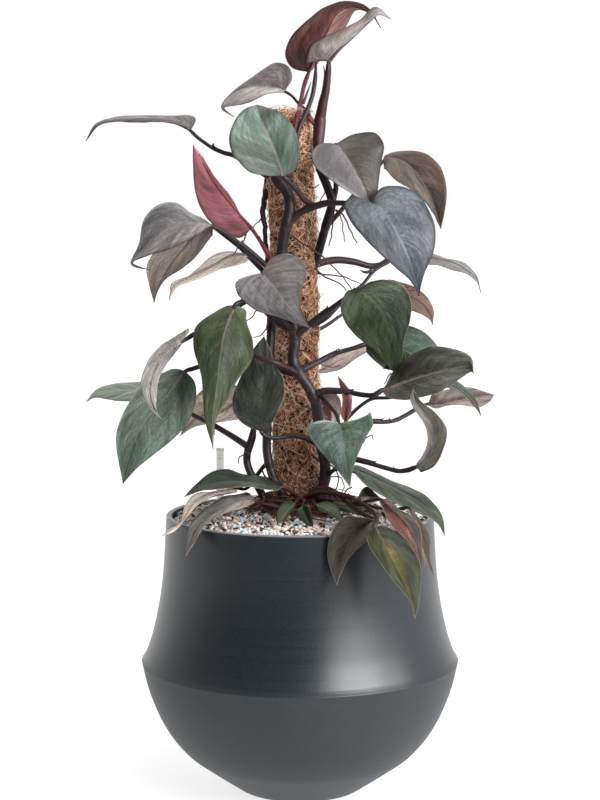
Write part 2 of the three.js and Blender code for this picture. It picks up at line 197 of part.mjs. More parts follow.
    b: [[46.2,-74.7,415.9],[44.5,-76,419.1],[43.2,-72.9,425.1],[44.1,-68.6,431.8],[44.7,-63.7,438.9],[43.8,-58.6,446],[41.7,-53.8,453.2]],
    stalk: [[47.6,-70,412.9],[46.7,-64,402.6],[42.7,-54,392.9],[36.5,-44,383]] },
  { name: 'leaf_30', r: 2,
    mid: [[20.2,50,456.2],[24.3,50.6,458.1],[31,52,461.4],[38.6,54.1,465.7],[48.8,57.2,470.9],[60.7,61,475.4],[72.2,65.2,479.8],[84.2,70.8,483.7],[95.4,77.5,487]],
    a: [[20.9,63.6,456.7],[22,75.3,458.9],[27.9,80.8,467.9],[38.8,82.6,474],[51.7,81.3,478.9],[65.5,78.2,483.7],[80.6,76.4,486.4]],
    b: [[23.7,37,457],[30.2,27.4,458.2],[42.1,26.2,461.9],[53.6,30.4,468],[64.7,39.1,474.3],[75.5,50.6,479.8],[86,64,483.5]],
    stalk: [[20.2,50,456.2],[15.7,46,448.6],[11.2,42,437.7],[6.7,40,424.5]] },
  { name: 'leaf_31', r: 1.8,
    mid: [[24.5,30,436.6],[26,29.7,435.2],[29.4,29.1,432.3],[32.1,27.8,427.9],[33.9,25.3,421.4],[35.2,21.3,414.3],[35.2,16.4,407.6],[34.2,10.4,401],[33,3.9,394.8]],
    a: [[28,22,439.4],[31,15.8,439.9],[38.8,14.9,437.2],[44.4,15.3,430.3],[45.3,14.9,420.5],[43.7,13.1,410.3],[38.6,9.2,401.5]],
    b: [[23,37.6,431.9],[22.7,43.7,430.4],[23,43.3,422.8],[23.8,38.4,416],[25.1,30.7,410.2],[27.8,22.1,404.9],[30.4,12.8,399.9]],
    stalk: [[24.5,30,436.6],[20,28,441.2],[13.3,26,443.6],[4.4,26,441.4]] },
  { name: 'leaf_32', r: 2.8,
    mid: [[-19.3,-52,343],[-26,-52.5,343],[-35.9,-53.7,343.8],[-47.3,-55.3,346.1],[-62.1,-57.5,348.7],[-78.5,-59.7,349],[-93.9,-61.3,347],[-109.6,-62.4,341.8],[-123.5,-63.1,332.8]],
    a: [[-23.1,-37.5,343.5],[-30.4,-26.9,347.1],[-45.5,-25,351.2],[-62.2,-28.8,353.2],[-78.4,-37.5,358.4],[-95.9,-47.6,356.9],[-111.1,-56.4,346.5]],
    b: [[-20.7,-66.6,343.7],[-25.1,-78.7,341.7],[-38.8,-84.2,343.4],[-54.5,-85.4,347.8],[-72.2,-82.5,346.1],[-89.7,-76.5,342],[-107.4,-69.3,339.3]],
    stalk: [[-19.3,-52,343],[-13.9,-48,339.2],[-7.5,-42,334],[-1.1,-34,326.2]] },
  { name: 'leaf_33', r: 2.2,
    mid: [[-66.7,-44,338.6],[-73.3,-45.6,337.5],[-82.7,-49.1,336.1],[-93.2,-54.2,334.9],[-105.7,-61,330.8],[-116,-68.6,320.9],[-123.5,-76.8,309.4],[-134.1,-87,301.2],[-144.5,-99.1,297.1]],
    a: [[-67.4,-57.1,339.1],[-68.3,-68.4,339.2],[-79.2,-75.8,337.9],[-93,-81.8,336.3],[-107.8,-85.4,329.2],[-118.3,-87.6,315.4],[-129.3,-91.6,301.5]],
    b: [[-73.5,-31.8,337.9],[-83.1,-25.3,335.8],[-98.2,-28.5,333.7],[-113.2,-37.2,331.2],[-123.7,-49.6,320.6],[-127.7,-64.1,307.1],[-137.1,-81.2,301.6]],
    stalk: [[-66.7,-44,338.6],[-59.6,-30,336.6],[-52.5,-12,339.5],[-46,-8,349.9],[-39.2,-16,359.8],[-32.5,-26,365.5]] },
  { name: 'leaf_34', r: 2.6,
    mid: [[-47.7,-74,331.3],[-54.5,-75.8,331.7],[-64.1,-79.7,331.5],[-74.3,-85.3,328.7],[-86.3,-92.6,322.7],[-98.1,-100.9,314.4],[-107.2,-109.6,304.6],[-113.2,-119.9,292.5],[-117.3,-132,282]],
    a: [[-55.1,-62.6,336.5],[-65.9,-56.7,335.1],[-81.7,-60.9,334.1],[-94.9,-69.6,324.8],[-107.3,-83.1,316.5],[-116.6,-98.7,306.1],[-117.2,-115.1,293.2]],
    b: [[-47.9,-87,330.9],[-48.2,-98.3,330.8],[-58.4,-106.2,328.6],[-71.8,-112.7,326.9],[-86,-117,319.6],[-99.2,-120.1,309],[-109.5,-124.5,295.2]],
    stalk: [[-47.8,-70,330.7],[-40.5,-64,326.5],[-29.9,-56,322],[-17.2,-48,318.6],[-6.5,-38,317]] },
  { name: 'leaf_35', r: 2.8,
    mid: [[53.8,-40,359.8],[61.6,-40.6,357.3],[72.7,-41.8,353.2],[85.5,-43.5,347.6],[101.5,-45.7,339.8],[118.8,-48,331],[134.5,-49.7,320.2],[148.3,-49.9,306.2],[155.9,-48.7,288.3]],
    a: [[55.2,-55.5,360.3],[60.4,-67.5,357.5],[72.5,-71.3,345.3],[88.1,-71.5,333.5],[107,-68.8,324],[126.9,-63.8,316.2],[144.8,-56.6,304.9]],
    b: [[57.9,-24.9,360.7],[66.4,-14.4,358.3],[83.3,-13.2,352],[101.5,-16.6,343.9],[120.3,-24.8,336],[138.9,-35.2,327.2],[153.4,-43.8,310.7]],
    stalk: [[53.8,-40,359.8],[45.2,-42,361.1],[36.4,-48,359.8],[28,-40,350],[19.5,-34,338.3],[13,-30,326.7]] },
  { name: 'leaf_36', r: 2.8,
    mid: [[76.8,-138,320.4],[72.4,-138.1,318.1],[65.7,-138.5,314],[58.5,-139.4,308.4],[51.1,-141.6,299.2],[45.6,-145.7,287.7],[41.2,-151.7,276.6],[38.2,-160.7,266.4],[37.3,-172.4,259.8]],
    a: [[69.2,-150.2,324.5],[59,-158.1,326.4],[45.9,-157.1,327.3],[35.5,-154.9,317.6],[29.7,-153.9,302.5],[28.3,-155.7,285.8],[31.9,-162,270.7]],
    b: [[75.9,-150.5,318.8],[75.2,-160.9,318.9],[70.6,-164.6,309.9],[64.1,-165.7,301],[56.1,-164.5,292.2],[47.5,-163.3,282.6],[40.7,-165.6,270.5]],
    stalk: [[76.9,-136,320.1],[70.2,-122,320.9],[60.4,-106,324.6],[50.4,-90,330.5],[40.2,-74,337.7],[29.9,-60,341],[19.3,-48,339.2],[10.8,-40,333.7]] },
  { name: 'leaf_37', r: 2.8,
    mid: [[75.4,-172,319.9],[78.2,-172.9,314.8],[82.6,-175.1,306.7],[87.5,-177.9,297.3],[94.1,-181.3,285.1],[100.9,-184.3,271.8],[106.8,-186.3,258.5],[111.2,-187.2,243.4],[115.1,-187.2,228.3]],
    a: [[67.6,-183.5,314.9],[66.3,-195.2,313.9],[69.6,-201.4,301.2],[78.8,-205.4,288.7],[89.9,-205.4,274.7],[101.5,-201.3,260.4],[110,-194.5,244.5]],
    b: [[83.6,-159,317.4],[92.7,-150.9,313.3],[104.5,-153.3,304.8],[113.7,-161.3,294.3],[120.7,-171.6,281.3],[121.5,-179.7,264.2],[119.4,-184.9,245.9]],
    stalk: [[75.4,-172,319.9],[77.9,-160,324],[75.6,-142,328.3],[68.1,-122,332.4],[56.3,-102,336.6],[40.1,-82,338.9],[21.3,-62,338],[6.5,-44,329.9]] },
  { name: 'leaf_38', r: 2.4,
    mid: [[82.4,-124,338.9],[86.2,-124.8,335.2],[91.8,-126.7,329.8],[98.8,-129.1,323.9],[107.1,-132.2,315.7],[114.1,-135,305.1],[119.5,-137.1,293.9],[122.4,-138.9,280.9],[124,-140.6,268]],
    a: [[88.8,-113.5,338.4],[94.6,-106.3,334.4],[104.5,-106.6,326.8],[115.4,-111.7,320.2],[123.1,-119.1,309.5],[125.8,-126.7,296],[126.2,-134.2,281.8]],
    b: [[82.1,-135.3,339],[82.7,-144.8,335.5],[87.4,-149.1,325.7],[95.1,-151.4,315.8],[104.5,-150.9,305.6],[113.1,-148,294.3],[119.6,-143.9,281.4]],
    stalk: [[82.4,-124,338.9],[75,-104,335.9],[67.2,-90,331.6],[55,-76,328.4],[40.5,-62,327.3],[23.6,-48,327.3],[8.6,-38,323.6]] },
  { name: 'leaf_39', r: 2.2,
    mid: [[113.7,-86,324.6],[115.7,-86.7,320.7],[118.7,-88.4,314.6],[122.2,-90.7,307.5],[125.4,-93.6,297.9],[128,-96.7,287.1],[130.9,-99.9,276.9],[135,-103.9,266.7],[139.8,-108.4,257.5]],
    a: [[117.3,-76.5,321],[122.1,-70.7,316.6],[129.3,-71.9,308.7],[134.7,-76.5,299.1],[137.4,-83.3,288.5],[136.9,-90.9,277.4],[137.8,-99.7,267]],
    b: [[112.8,-95.8,324.5],[111.6,-104,321.5],[113.3,-108.1,312.4],[117.3,-110.8,302.4],[122.3,-111,291.3],[126.6,-109.4,279.3],[131.6,-108.2,267.1]],
    stalk: [[114,-80,323.7],[103.9,-72,321.3],[91.5,-66,320.4],[79.1,-58,321.3],[62.2,-50,323.3],[43,-44,324.5],[23.8,-36,321.1]] },
  { name: 'shoot_a', r: 1.3,
    mid: [[-5.2,-94,331.2],[-5.8,-94.7,330.6],[-7.2,-96.5,329.2],[-9,-98.9,327.3],[-11.7,-102.3,324.6],[-14.9,-105.9,321.3],[-17.8,-109.5,318.2],[-20.8,-113.4,315.2],[-23.8,-117.3,312.8]],
    a: [[-8.8,-90.6,332],[-12.6,-90.3,332.7],[-16.3,-94,332],[-19.5,-98.8,330.2],[-22.4,-103.7,326.4],[-24.4,-108,321.6],[-24.7,-112.6,316.6]],
    b: [[-5.5,-90.2,328],[-6,-88.5,324.9],[-8.2,-90.9,321.6],[-10.9,-94.9,319.2],[-13.3,-100.2,316.7],[-16.3,-106,314.7],[-19.9,-111.8,313.4]],
    stalk: [[-5.2,-94,331.2],[-2.1,-80,333.3],[0,-62,330.5],[2.2,-44,323.4]] },
  { name: 'shoot_b', r: 1.3,
    mid: [[3.1,-106,330.9],[3.4,-105.9,330],[4.1,-105.7,328],[4.9,-105.4,325.5],[6,-104.9,321.8],[7.4,-104.4,317.7],[9.2,-103.9,313.9],[11.4,-103.4,309.9],[13.6,-102.9,306.2]],
    a: [[0.6,-109.5,329.3],[-1.4,-111.9,327.7],[-2.1,-111.4,323.7],[-0.8,-110,319.5],[1.4,-108,315.2],[4.9,-106,311.5],[9.2,-104.3,308.5]],
    b: [[6,-109.6,331.2],[8.1,-112.4,331],[10.4,-112.5,328],[11.7,-111.4,324.3],[12.3,-109.4,320],[13.1,-107,315.6],[13.6,-104.7,310.8]],
    stalk: [[3.1,-106,330.9],[4.2,-88,332.4],[5.3,-66,330.1],[5.4,-46,322.6]] },
  { name: 'shoot_c', r: 1.4,
    mid: [[16.7,-96,329.4],[18.4,-96.3,328.7],[21.5,-97,327.5],[25.1,-98,326],[29.6,-99.3,323.6],[34.2,-100.8,320.5],[38.3,-102.3,316.9],[42.3,-104,312.8],[45.9,-105.9,308.8]],
    a: [[17.9,-102.1,327.3],[19,-107.3,326.7],[23,-110,325],[27.7,-111.1,323.2],[32.8,-110.5,320.8],[37.4,-108.7,317.4],[41.8,-106.9,313.1]],
    b: [[20.4,-90.8,330.6],[24.1,-87.5,331.4],[29.8,-88.3,331.6],[35.2,-91.4,330.5],[39.6,-95.2,326.5],[42.5,-98.9,320.9],[44.4,-102.5,314.7]],
    stalk: [[16.7,-96,329.4],[14.8,-82,330.4],[12.8,-66,330.1],[9.7,-46,324.8]] },
  { name: 'shoot_d', r: 1.3,
    mid: [[31.8,-72,327.8],[33.3,-72.3,327.1],[36.2,-73.1,325.9],[39.7,-74.2,324.7],[44.3,-75.8,323.9],[49.5,-77.8,322.6],[54.2,-79.8,320.8],[58.9,-82.2,318.8],[63.2,-84.8,317]],
    a: [[33.1,-77.3,326.1],[34,-81.6,325.2],[37.2,-83.5,322.5],[41.7,-84.7,321.5],[46.9,-84.9,320.7],[52.3,-84.4,319.6],[57.8,-84.2,317.7]],
    b: [[34.9,-67.5,327.9],[37.7,-64.6,328.3],[42.6,-65.4,328.9],[47.5,-68.2,328.6],[52.3,-72.2,327.2],[56.7,-76.6,324.7],[60.5,-80.9,321.2]],
    stalk: [[31.8,-72,327.8],[26.6,-62,328.4],[20.4,-52,327.9],[12.9,-40,323.9]] },
  { name: 'leaf_40', r: 1.3,
    mid: [[61.9,-60,330.2],[62.7,-59.7,330.6],[64.7,-59,331.6],[67.4,-57.9,332.7],[71.1,-56,333.6],[75.6,-53.6,333.4],[79.7,-50.6,331.7],[84.1,-47.2,329.6],[88.2,-43.6,327.7]],
    a: [[64.1,-65.6,330.5],[65.3,-70.1,330.9],[69.5,-70.4,330.7],[73.2,-67.3,330.2],[76.8,-62.3,329.4],[80.6,-56.3,328.7],[84.4,-49.7,328.2]],
    b: [[63.1,-53.7,332.8],[64,-48.4,334],[66.5,-46.4,337.8],[70.2,-47.1,341.3],[75.5,-47.6,341.2],[78.9,-46.9,336.3],[83.5,-45.5,331.6]],
    stalk: [[61.9,-60,330.2],[53.5,-54,328.2],[43,-48,325.1],[30.2,-40,320.6]] },
  { name: 'leaf_41', r: 2.6,
    mid: [[-21.9,70,683.4],[-23.1,70,687.3],[-25.5,70.2,694.9],[-29,70.9,704.1],[-34.4,73.6,716.3],[-40.3,79.6,728.1],[-43.6,89.7,737.3],[-45.5,103.8,743.6],[-47.1,119,749.5]],
    a: [[-33,84.6,685.5],[-44.9,93.8,685.2],[-57.7,90.7,690.4],[-66.4,83.4,700.6],[-71.4,81.2,718.4],[-64.8,87.7,735.8],[-54.8,101.8,746.1]],
    b: [[-14.2,83.7,687.7],[-12.6,95.8,688.9],[-7.7,97.3,701.1],[-9.8,93.5,714.2],[-13.9,89.2,728.9],[-25.5,92.5,741.2],[-38.1,103.8,747]],
    stalk: [[-21.9,70,683.4],[-17.9,62,673.6],[-8.9,54,664.5],[-2.2,46,655.6],[1.1,40,644.4]] },
  { name: 'leaf_42', r: 2.6,
    mid: [[88.6,78,636.6],[91.8,78.8,634.7],[97.8,80.7,630.4],[104.3,83.9,622.1],[111.5,89.3,609.9],[118.6,96.2,596.6],[124.4,104.1,583.3],[129.4,114,568.3],[133.5,124.5,554.4]],
    a: [[95.4,91.4,650],[108.3,102.5,653.7],[125,104.7,649.2],[137.9,103.2,635.4],[146.4,102.8,615.5],[144.8,106.6,593.2],[136.8,114.6,574]],
    b: [[74.7,84.3,643.4],[64.5,93.6,637],[68.9,102.7,624.6],[78.7,109.9,612.8],[91.5,113.7,598.7],[105.9,115.9,584.3],[122.3,119.5,571.2]],
    stalk: [[88.6,78,636.6],[96.6,70,622.5],[101.7,58,604.7],[101.2,46,589.3],[90.9,38,578.3],[77.4,33,576.2],[60.6,27,580.7],[43.9,21,583],[30.7,14,582.1],[18.5,6,578.9]] },
  { name: 'leaf_43', r: 2.6,
    mid: [[70.1,96,540.4],[75,96.2,538.5],[82.2,96.8,534.3],[89.5,97.9,526.9],[96.8,101,515],[102.1,108.1,501],[105.9,118.1,487.2],[107.8,130,474],[106.7,142.9,461.8]],
    a: [[79.2,111.1,546.4],[89.6,121.5,550.2],[105.5,121,548.9],[118.3,118.6,537.3],[121.2,120.7,518.4],[117.5,126.2,499.2],[113.4,133.7,479.5]],
    b: [[63.9,109.3,541.2],[57.3,116.5,533.1],[57.1,112.4,519.4],[62.8,106,506.7],[74.8,107.1,494.3],[88.2,115.4,484],[98.7,128.2,472.2]],
    stalk: [[70.1,96,540.4],[59.3,90,538.7],[47.6,80,534.5],[36.1,68,528.2],[20.2,54,517.7],[7.8,40,507.2]] },
  { name: 'leaf_44', r: 2.6,
    mid: [[-75.7,70,521.3],[-79.3,70.4,512.5],[-84.3,71.2,499.8],[-88.1,72.2,484.3],[-90.7,75.4,464.1],[-93.9,82.5,441.1],[-97.5,91.4,419.4],[-99.7,103.1,398.2],[-99.5,116.3,378.4]],
    a: [[-69.5,86.7,518.7],[-66.6,98.8,510.8],[-60.5,98.8,491.7],[-60.2,97.6,469.4],[-73.6,101.2,449.9],[-84.7,104.6,426.8],[-97.2,109.4,403.8]],
    b: [[-83.1,88.1,521.4],[-93.3,100.1,515],[-111.1,99.5,503.4],[-116.3,98.8,480.6],[-111.8,101.5,456.3],[-108.7,104.3,430.2],[-104.9,109,403.6]],
    stalk: [[-75.7,70,521.3],[-67.5,64,530.7],[-53.8,58,537.7],[-38,52,537.9],[-22.3,44,531.5],[-4.4,38,522.9]] },
  { name: 'leaf_45', r: 2.6,
    mid: [[-139.3,96,444.3],[-144.3,95.8,438.3],[-151.4,95.2,428.6],[-160.2,94.7,417.4],[-172.6,94.9,403.9],[-182.9,98,386.4],[-190.7,104.7,369.3],[-196.2,115.4,352],[-200.2,127.6,335.3]],
    a: [[-132.7,110.1,436.8],[-130.1,118.5,425.1],[-132.5,115,407.6],[-140.7,106.6,391.9],[-155,102,376.9],[-171.9,104.9,363.1],[-188.3,114.7,350.4]],
    b: [[-149,111.3,445.4],[-156.7,122.7,443.7],[-171.6,123.3,433.4],[-187.7,118.1,422.7],[-198.6,113.3,403.4],[-204.3,112.8,380.3],[-203,118.4,356.9]],
    stalk: [[-139.3,96,444.3],[-130.3,88,455.4],[-120.5,78,459.6],[-107.5,68,462.7],[-90.1,60,465.5],[-67.4,54,463.7],[-42.6,48,461.9],[-20.1,42,457.9],[-2.2,38,451.5]] },
  { name: 'leaf_46', r: 2.6,
    mid: [[-39.1,104,562.4],[-36.9,106.1,559.8],[-33.2,111.2,555.3],[-29.2,118.6,550],[-24.4,128.7,543],[-18.7,140.3,534.9],[-12.4,152.2,527.5],[-5.4,164.6,519.9],[1.7,176.5,512.2]],
    a: [[-30.8,103.9,575.2],[-18.9,108.8,579.3],[-9.3,118.8,576.3],[-1.6,130.1,567.6],[-2.7,143.3,556.2],[-6.7,155.9,543.5],[-5.5,167,527.3]],
    b: [[-53.2,106.2,559.7],[-61.4,113.4,554.5],[-61.3,123.7,545.3],[-54.6,134.5,536.6],[-43.1,145.3,528.4],[-28.5,155.8,523.3],[-13.1,166.3,517.3]],
    stalk: [[-39.1,104,562.4],[-36.5,96,554.4],[-27.3,84,545.7],[-15.8,68,537.3],[-4.5,52,528.9],[2.2,40,520.6]] },
  { name: 'leaf_47', r: 2.6,
    mid: [[-45.9,92,396],[-44.9,92.7,401.2],[-43.5,94.3,409.6],[-42.2,96.6,419.4],[-41.5,100.7,432.5],[-40.7,107,446.5],[-41.3,116.2,459.2],[-42.3,128.2,470.1],[-43.2,142.1,477.8]],
    a: [[-53.8,104.4,396.6],[-61.6,112.8,400.6],[-69.8,111.9,411.2],[-70.6,109.5,425.7],[-64.9,110.7,440.9],[-57.5,117,455.7],[-50.8,128,469.5]],
    b: [[-39.9,105.7,395.8],[-38.5,117.7,395.6],[-31.8,122.3,406.6],[-26.6,122.7,420.4],[-22.2,121.5,436.4],[-30.8,124.5,450.4],[-37.4,131.6,465.4]],
    stalk: [[-45.9,92,396],[-43.5,86,394.7],[-36.5,78,391],[-27.2,66,387.7],[-15.8,54,384.6],[-2.2,40,381.7]] },
];
// The young leaves at the foot of the plant share one short shoot.
const SHOOT_LEAVES = ['shoot_a', 'shoot_b', 'shoot_c', 'shoot_d'];

// Where the stalks of the shoot meet.
const SHOOT_BASE = [7.5, -43, 319];

// ---------------------------------------------------------------- materials
const mat = (color, roughness, metalness = 0, extra = {}) =>
  new THREE.MeshStandardMaterial({ color, roughness, metalness, ...extra });
const METAL = () => mat(0x33383c, 0.42, 0.7);
const SOIL = () => mat(0x2e211a, 0.95);
const GRAVEL = () => mat(0xcfc4b6, 0.9);
const COIR = () => mat(0xa5714a, 0.95);
const STAKE = () => mat(0x8a6a4a, 0.7);
const CLEAR = () => mat(0xe6e8e8, 0.25);
const CAP = () => mat(0xd9dad8, 0.4);
const STEM = () => mat(0x2c2228, 0.5);
const LEAF_COLOURS = { red: 0x6b2a30, young: 0x8c3a44, grey: 0x6d6f72, green: 0x44563f, blue: 0x6f7681, brown: 0x5b4a40,
  pale: 0xa79c92, dark: 0x363a34, small: 0x3f5a34 };
const LEAF_TONE = { leaf_01: 'red', leaf_06: 'young', leaf_29: 'young', leaf_38: 'young', leaf_02: 'grey', leaf_03: 'grey',
  leaf_04: 'grey', leaf_07: 'grey', leaf_10: 'grey', leaf_15: 'grey', leaf_12: 'blue', leaf_08: 'brown', leaf_11: 'brown',
  leaf_14: 'brown', leaf_23: 'brown', leaf_31: 'brown', leaf_39: 'brown', leaf_09: 'pale', leaf_13: 'pale', leaf_27: 'pale',
  leaf_30: 'pale', leaf_33: 'pale', leaf_18: 'pale', leaf_22: 'dark', leaf_24: 'dark', leaf_36: 'dark', leaf_40: 'dark' };

// ---------------------------------------------------------------- solids
const wasm = await Module();
wasm.setup();
const V = (p) => new THREE.Vector3(p[0], p[1], p[2]);

function solid(geometry) {
  const g = geometry.clone();
  for (const key of Object.keys(g.attributes)) if (key !== 'position') g.deleteAttribute(key);
  const m = mergeVertices(g, 1e-4);
  return new wasm.Manifold(new wasm.Mesh({
    numProp: 3,
    vertProperties: Float32Array.from(m.attributes.position.array),
    triVerts: Uint32Array.from(m.index.array),
  }));
}

// The largest body of a solid, without the crumbs that a cut can leave.
function largest(s) {
  const bodies = s.decompose();
  return bodies.reduce((best, b) => (b.volume() > best.volume() ? b : best), bodies[0]);
}

function geometryOf(s) {
  const m = s.getMesh();
  const g = new THREE.BufferGeometry();
  g.setAttribute('position', new THREE.BufferAttribute(Float32Array.from(m.vertProperties), 3));
  g.setIndex(new THREE.BufferAttribute(Uint32Array.from(m.triVerts), 1));
  g.computeVertexNormals();
  return g;
}

const lathe = (profile, segments) =>
  solid(new THREE.LatheGeometry(profile.map(([r, z]) => new THREE.Vector2(r, z)), segments).rotateX(Math.PI / 2));

function disc(radius, sides, phase = 0) {
  const shape = new THREE.Shape();
  for (let i = 0; i < sides; i++) {
    const t = phase + (i / sides) * 2 * Math.PI;
    if (i === 0) shape.moveTo(radius * Math.cos(t), radius * Math.sin(t));
    else shape.lineTo(radius * Math.cos(t), radius * Math.sin(t));
  }
  shape.closePath();
  return shape;
}

function tube(points, radius, sides, steps) {
  const path = new THREE.CatmullRomCurve3(points.map(V), false, 'centripetal');
  return solid(new THREE.ExtrudeGeometry(disc(radius, sides), { steps, extrudePath: path, bevelEnabled: false }));
}

// Catmull-Rom value on a list of points at parameter u in stations.
function along(list, u) {
  const n = list.length - 1;
  const i = Math.min(Math.floor(u), n - 1);
  const f = u - i;
  const at = (k) => (k < 0 ? list[0].clone().multiplyScalar(2).sub(list[1])
    : k > n ? list[n].clone().multiplyScalar(2).sub(list[n - 1]) : list[k]);
  const [p0, p1, p2, p3] = [at(i - 1), at(i), at(i + 1), at(i + 2)];
  const q = new THREE.Vector3();
  for (const c of ['x', 'y', 'z']) {
    q[c] = 0.5 * (2 * p1[c] + (p2[c] - p0[c]) * f + (2 * p0[c] - 5 * p1[c] + 4 * p2[c] - p3[c]) * f * f
      + (3 * p1[c] - p0[c] - 3 * p2[c] + p3[c]) * f * f * f);
  }
  return q;
}

// A blade: a box with BLADE_COLUMNS x BLADE_STEPS cells, bent onto the leaf's surface.
const STATIONS = [0, 1, 2.2, 3.6, 5.1, 6.6, 8];
function blade(leaf, thickness) {
  const mid = leaf.mid.map(V);
  const base = mid[0];
  const tip = mid[mid.length - 1];
  const a = [base, ...leaf.a.map(V), tip];
  const b = [base, ...leaf.b.map(V), tip];
  const steps = BLADE_STEPS;
  const grid = [];
  const normals = [];
  for (let i = 0; i <= steps; i++) {
    const u = STATIONS[i];
    const m = along(mid, u);
    grid.push({ m, pa: along(a, u), pb: along(b, u) });
  }
  // the ends keep a small width, so that the solid has no sharp point
  const sideOf = (i) => grid[i].pb.clone().sub(grid[i].pa).normalize();
  grid[0].pa = grid[0].m.clone().addScaledVector(sideOf(1), -1.2);
  grid[0].pb = grid[0].m.clone().addScaledVector(sideOf(1), 1.2);
  grid[steps].pa = grid[steps].m.clone().addScaledVector(sideOf(steps - 1), -0.45);
  grid[steps].pb = grid[steps].m.clone().addScaledVector(sideOf(steps - 1), 0.45);
  const points = grid.map(({ m, pa, pb }, i) => {
    const before = grid[Math.max(i - 1, 0)].m;
    const after = grid[Math.min(i + 1, steps)].m;
    const tangent = after.clone().sub(before).normalize();
    const out = [];
    for (let j = 0; j <= BLADE_COLUMNS; j++) {
      const v = (j / BLADE_COLUMNS) * 2 - 1;
      const edge = v < 0 ? pa : pb;
      const span = edge.clone().sub(m);
      const w = Math.abs(v);
      const p = m.clone().addScaledVector(span, w);
      const across = span.clone().multiplyScalar(v < 0 ? -1 : 1);
      const n = tangent.clone().cross(across);
      if (n.length() > 1e-6) p.addScaledVector(n.normalize(), BLADE_BULGE * 4 * w * (1 - w) * span.length());
      out.push(p);
    }
    return out;
  });
  for (let i = 0; i <= steps; i++) {
    const rowNormals = [];
    const k = Math.min(Math.max(i, 1), steps - 1);
    for (let j = 0; j <= BLADE_COLUMNS; j++) {
      const dt = points[k + 1][j].clone().sub(points[k - 1][j]);
      const dv = points[k][Math.min(j + 1, BLADE_COLUMNS)].clone().sub(points[k][Math.max(j - 1, 0)]);
      rowNormals.push(dt.cross(dv).normalize());
    }
    normals.push(rowNormals);
  }
  const box = new THREE.BoxGeometry(BLADE_COLUMNS, steps, 2, BLADE_COLUMNS, steps, 1);
  // both faces are split along the same diagonals, so that they stay parallel where the blade twists
  const index = box.index.array;
  const under = box.groups[5];
  for (let k = under.start; k < under.start + under.count; k += 6) {
    const [p, q, s, , r] = index.slice(k, k + 6);
    index.set([p, q, r, p, r, s], k);
  }
  const pos = box.attributes.position;
  for (let k = 0; k < pos.count; k++) {
    const j = Math.round(pos.getX(k) + BLADE_COLUMNS / 2);
    const i = Math.round(pos.getY(k) + steps / 2);
    const s = Math.sign(pos.getZ(k));
    const p = points[i][j].clone();
    p.addScaledVector(normals[i][j], (-s * thickness) / 2);
    pos.setXYZ(k, p.x, p.y, p.z);
  }
  return solid(box);
}

// The stalk starts under the first part of the midrib.
function stalkPath(leaf) {
  const mid = leaf.mid.map(V);
  const m1 = mid[1], m2 = mid[2];
  const across = V(leaf.b[1]).sub(V(leaf.a[1]));
  const n = m2.clone().sub(mid[0]).cross(across).normalize();
  const drop = leaf.r * 0.55;
  const start = m2.clone().addScaledVector(n, -drop * 0.8);
  const second = mid[0].clone().addScaledVector(n, -drop);
  return [start, second, ...leaf.stalk.slice(1).map(V)].map((p) => [p.x, p.y, p.z]);
}
const stalk = (leaf, extra = 0) => {
  const path = stalkPath(leaf);
  return tube(path, leaf.r + extra, 5, Math.max(4, Math.min(5, path.length - 1)));
};

// ---------------------------------------------------------------- build
const group = new THREE.Group();
function add(name, s, material) {
  const mesh = new THREE.Mesh(geometryOf(s), material);
  mesh.name = name;
  group.add(mesh);
  return mesh;
}

// planter: bowl, band and rolled flat rim, hollow inside
const outside = [...BOWL, ...BAND];
const inside = [[RIM_RADIUS - RIM_WIDTH + 0.6, PLANTER_HEIGHT], [RIM_RADIUS - RIM_WIDTH, PLANTER_HEIGHT - 1], [142, 280], [147.6, 224],
  [160.5, 166], [SHOULDER_RADIUS - WALL - 1.5, SHOULDER_HEIGHT], [160.5, 104], [145, 74], [119, 44], [90, 23], [62, FLOOR_THICKNESS], [0, FLOOR_THICKNESS]];
const planter = lathe([[0, 0], ...outside, ...inside], 40);
add('planter', planter, METAL());

const insideAt = (z) => {
  for (let i = 0; i < inside.length - 1; i++) {
    const [r0, z0] = inside[i], [r1, z1] = inside[i + 1];
    if (z <= z0 && z >= z1) return r0 + ((r1 - r0) * (z0 - z)) / Math.max(z0 - z1, 1e-6);
  }
  return 0;
};
const poleEnvelope = tube(POLE_PATH, POLE_RADIUS + GAP, 16, 7);
const stemSolids = STEMS.map((s) => ({ name: s.name, body: tube(s.path, s.r, 7, Math.round(s.path.length * 0.8)), wide: tube(s.path, s.r + GAP, 7, Math.round(s.path.length * 0.8)) }));
const box = (x, y, z, px, py, pz) => solid(new THREE.BoxGeometry(x, y, z).translate(px, py, pz));
const stakeWide = solid(new THREE.CylinderGeometry(STAKE_RADIUS + GAP + 0.5, STAKE_RADIUS + GAP + 0.5, 400, 16).rotateX(Math.PI / 2)
  .translate(POLE_PATH[POLE_PATH.length - 1][0], 0, STAKE_BOTTOM - GAP + 200));
const gaugeWide = box(GAUGE + 2 * GAP, GAUGE + 2 * GAP, 400, GAUGE_X, GAUGE_Y, GAUGE_BOTTOM - GAP + 200);

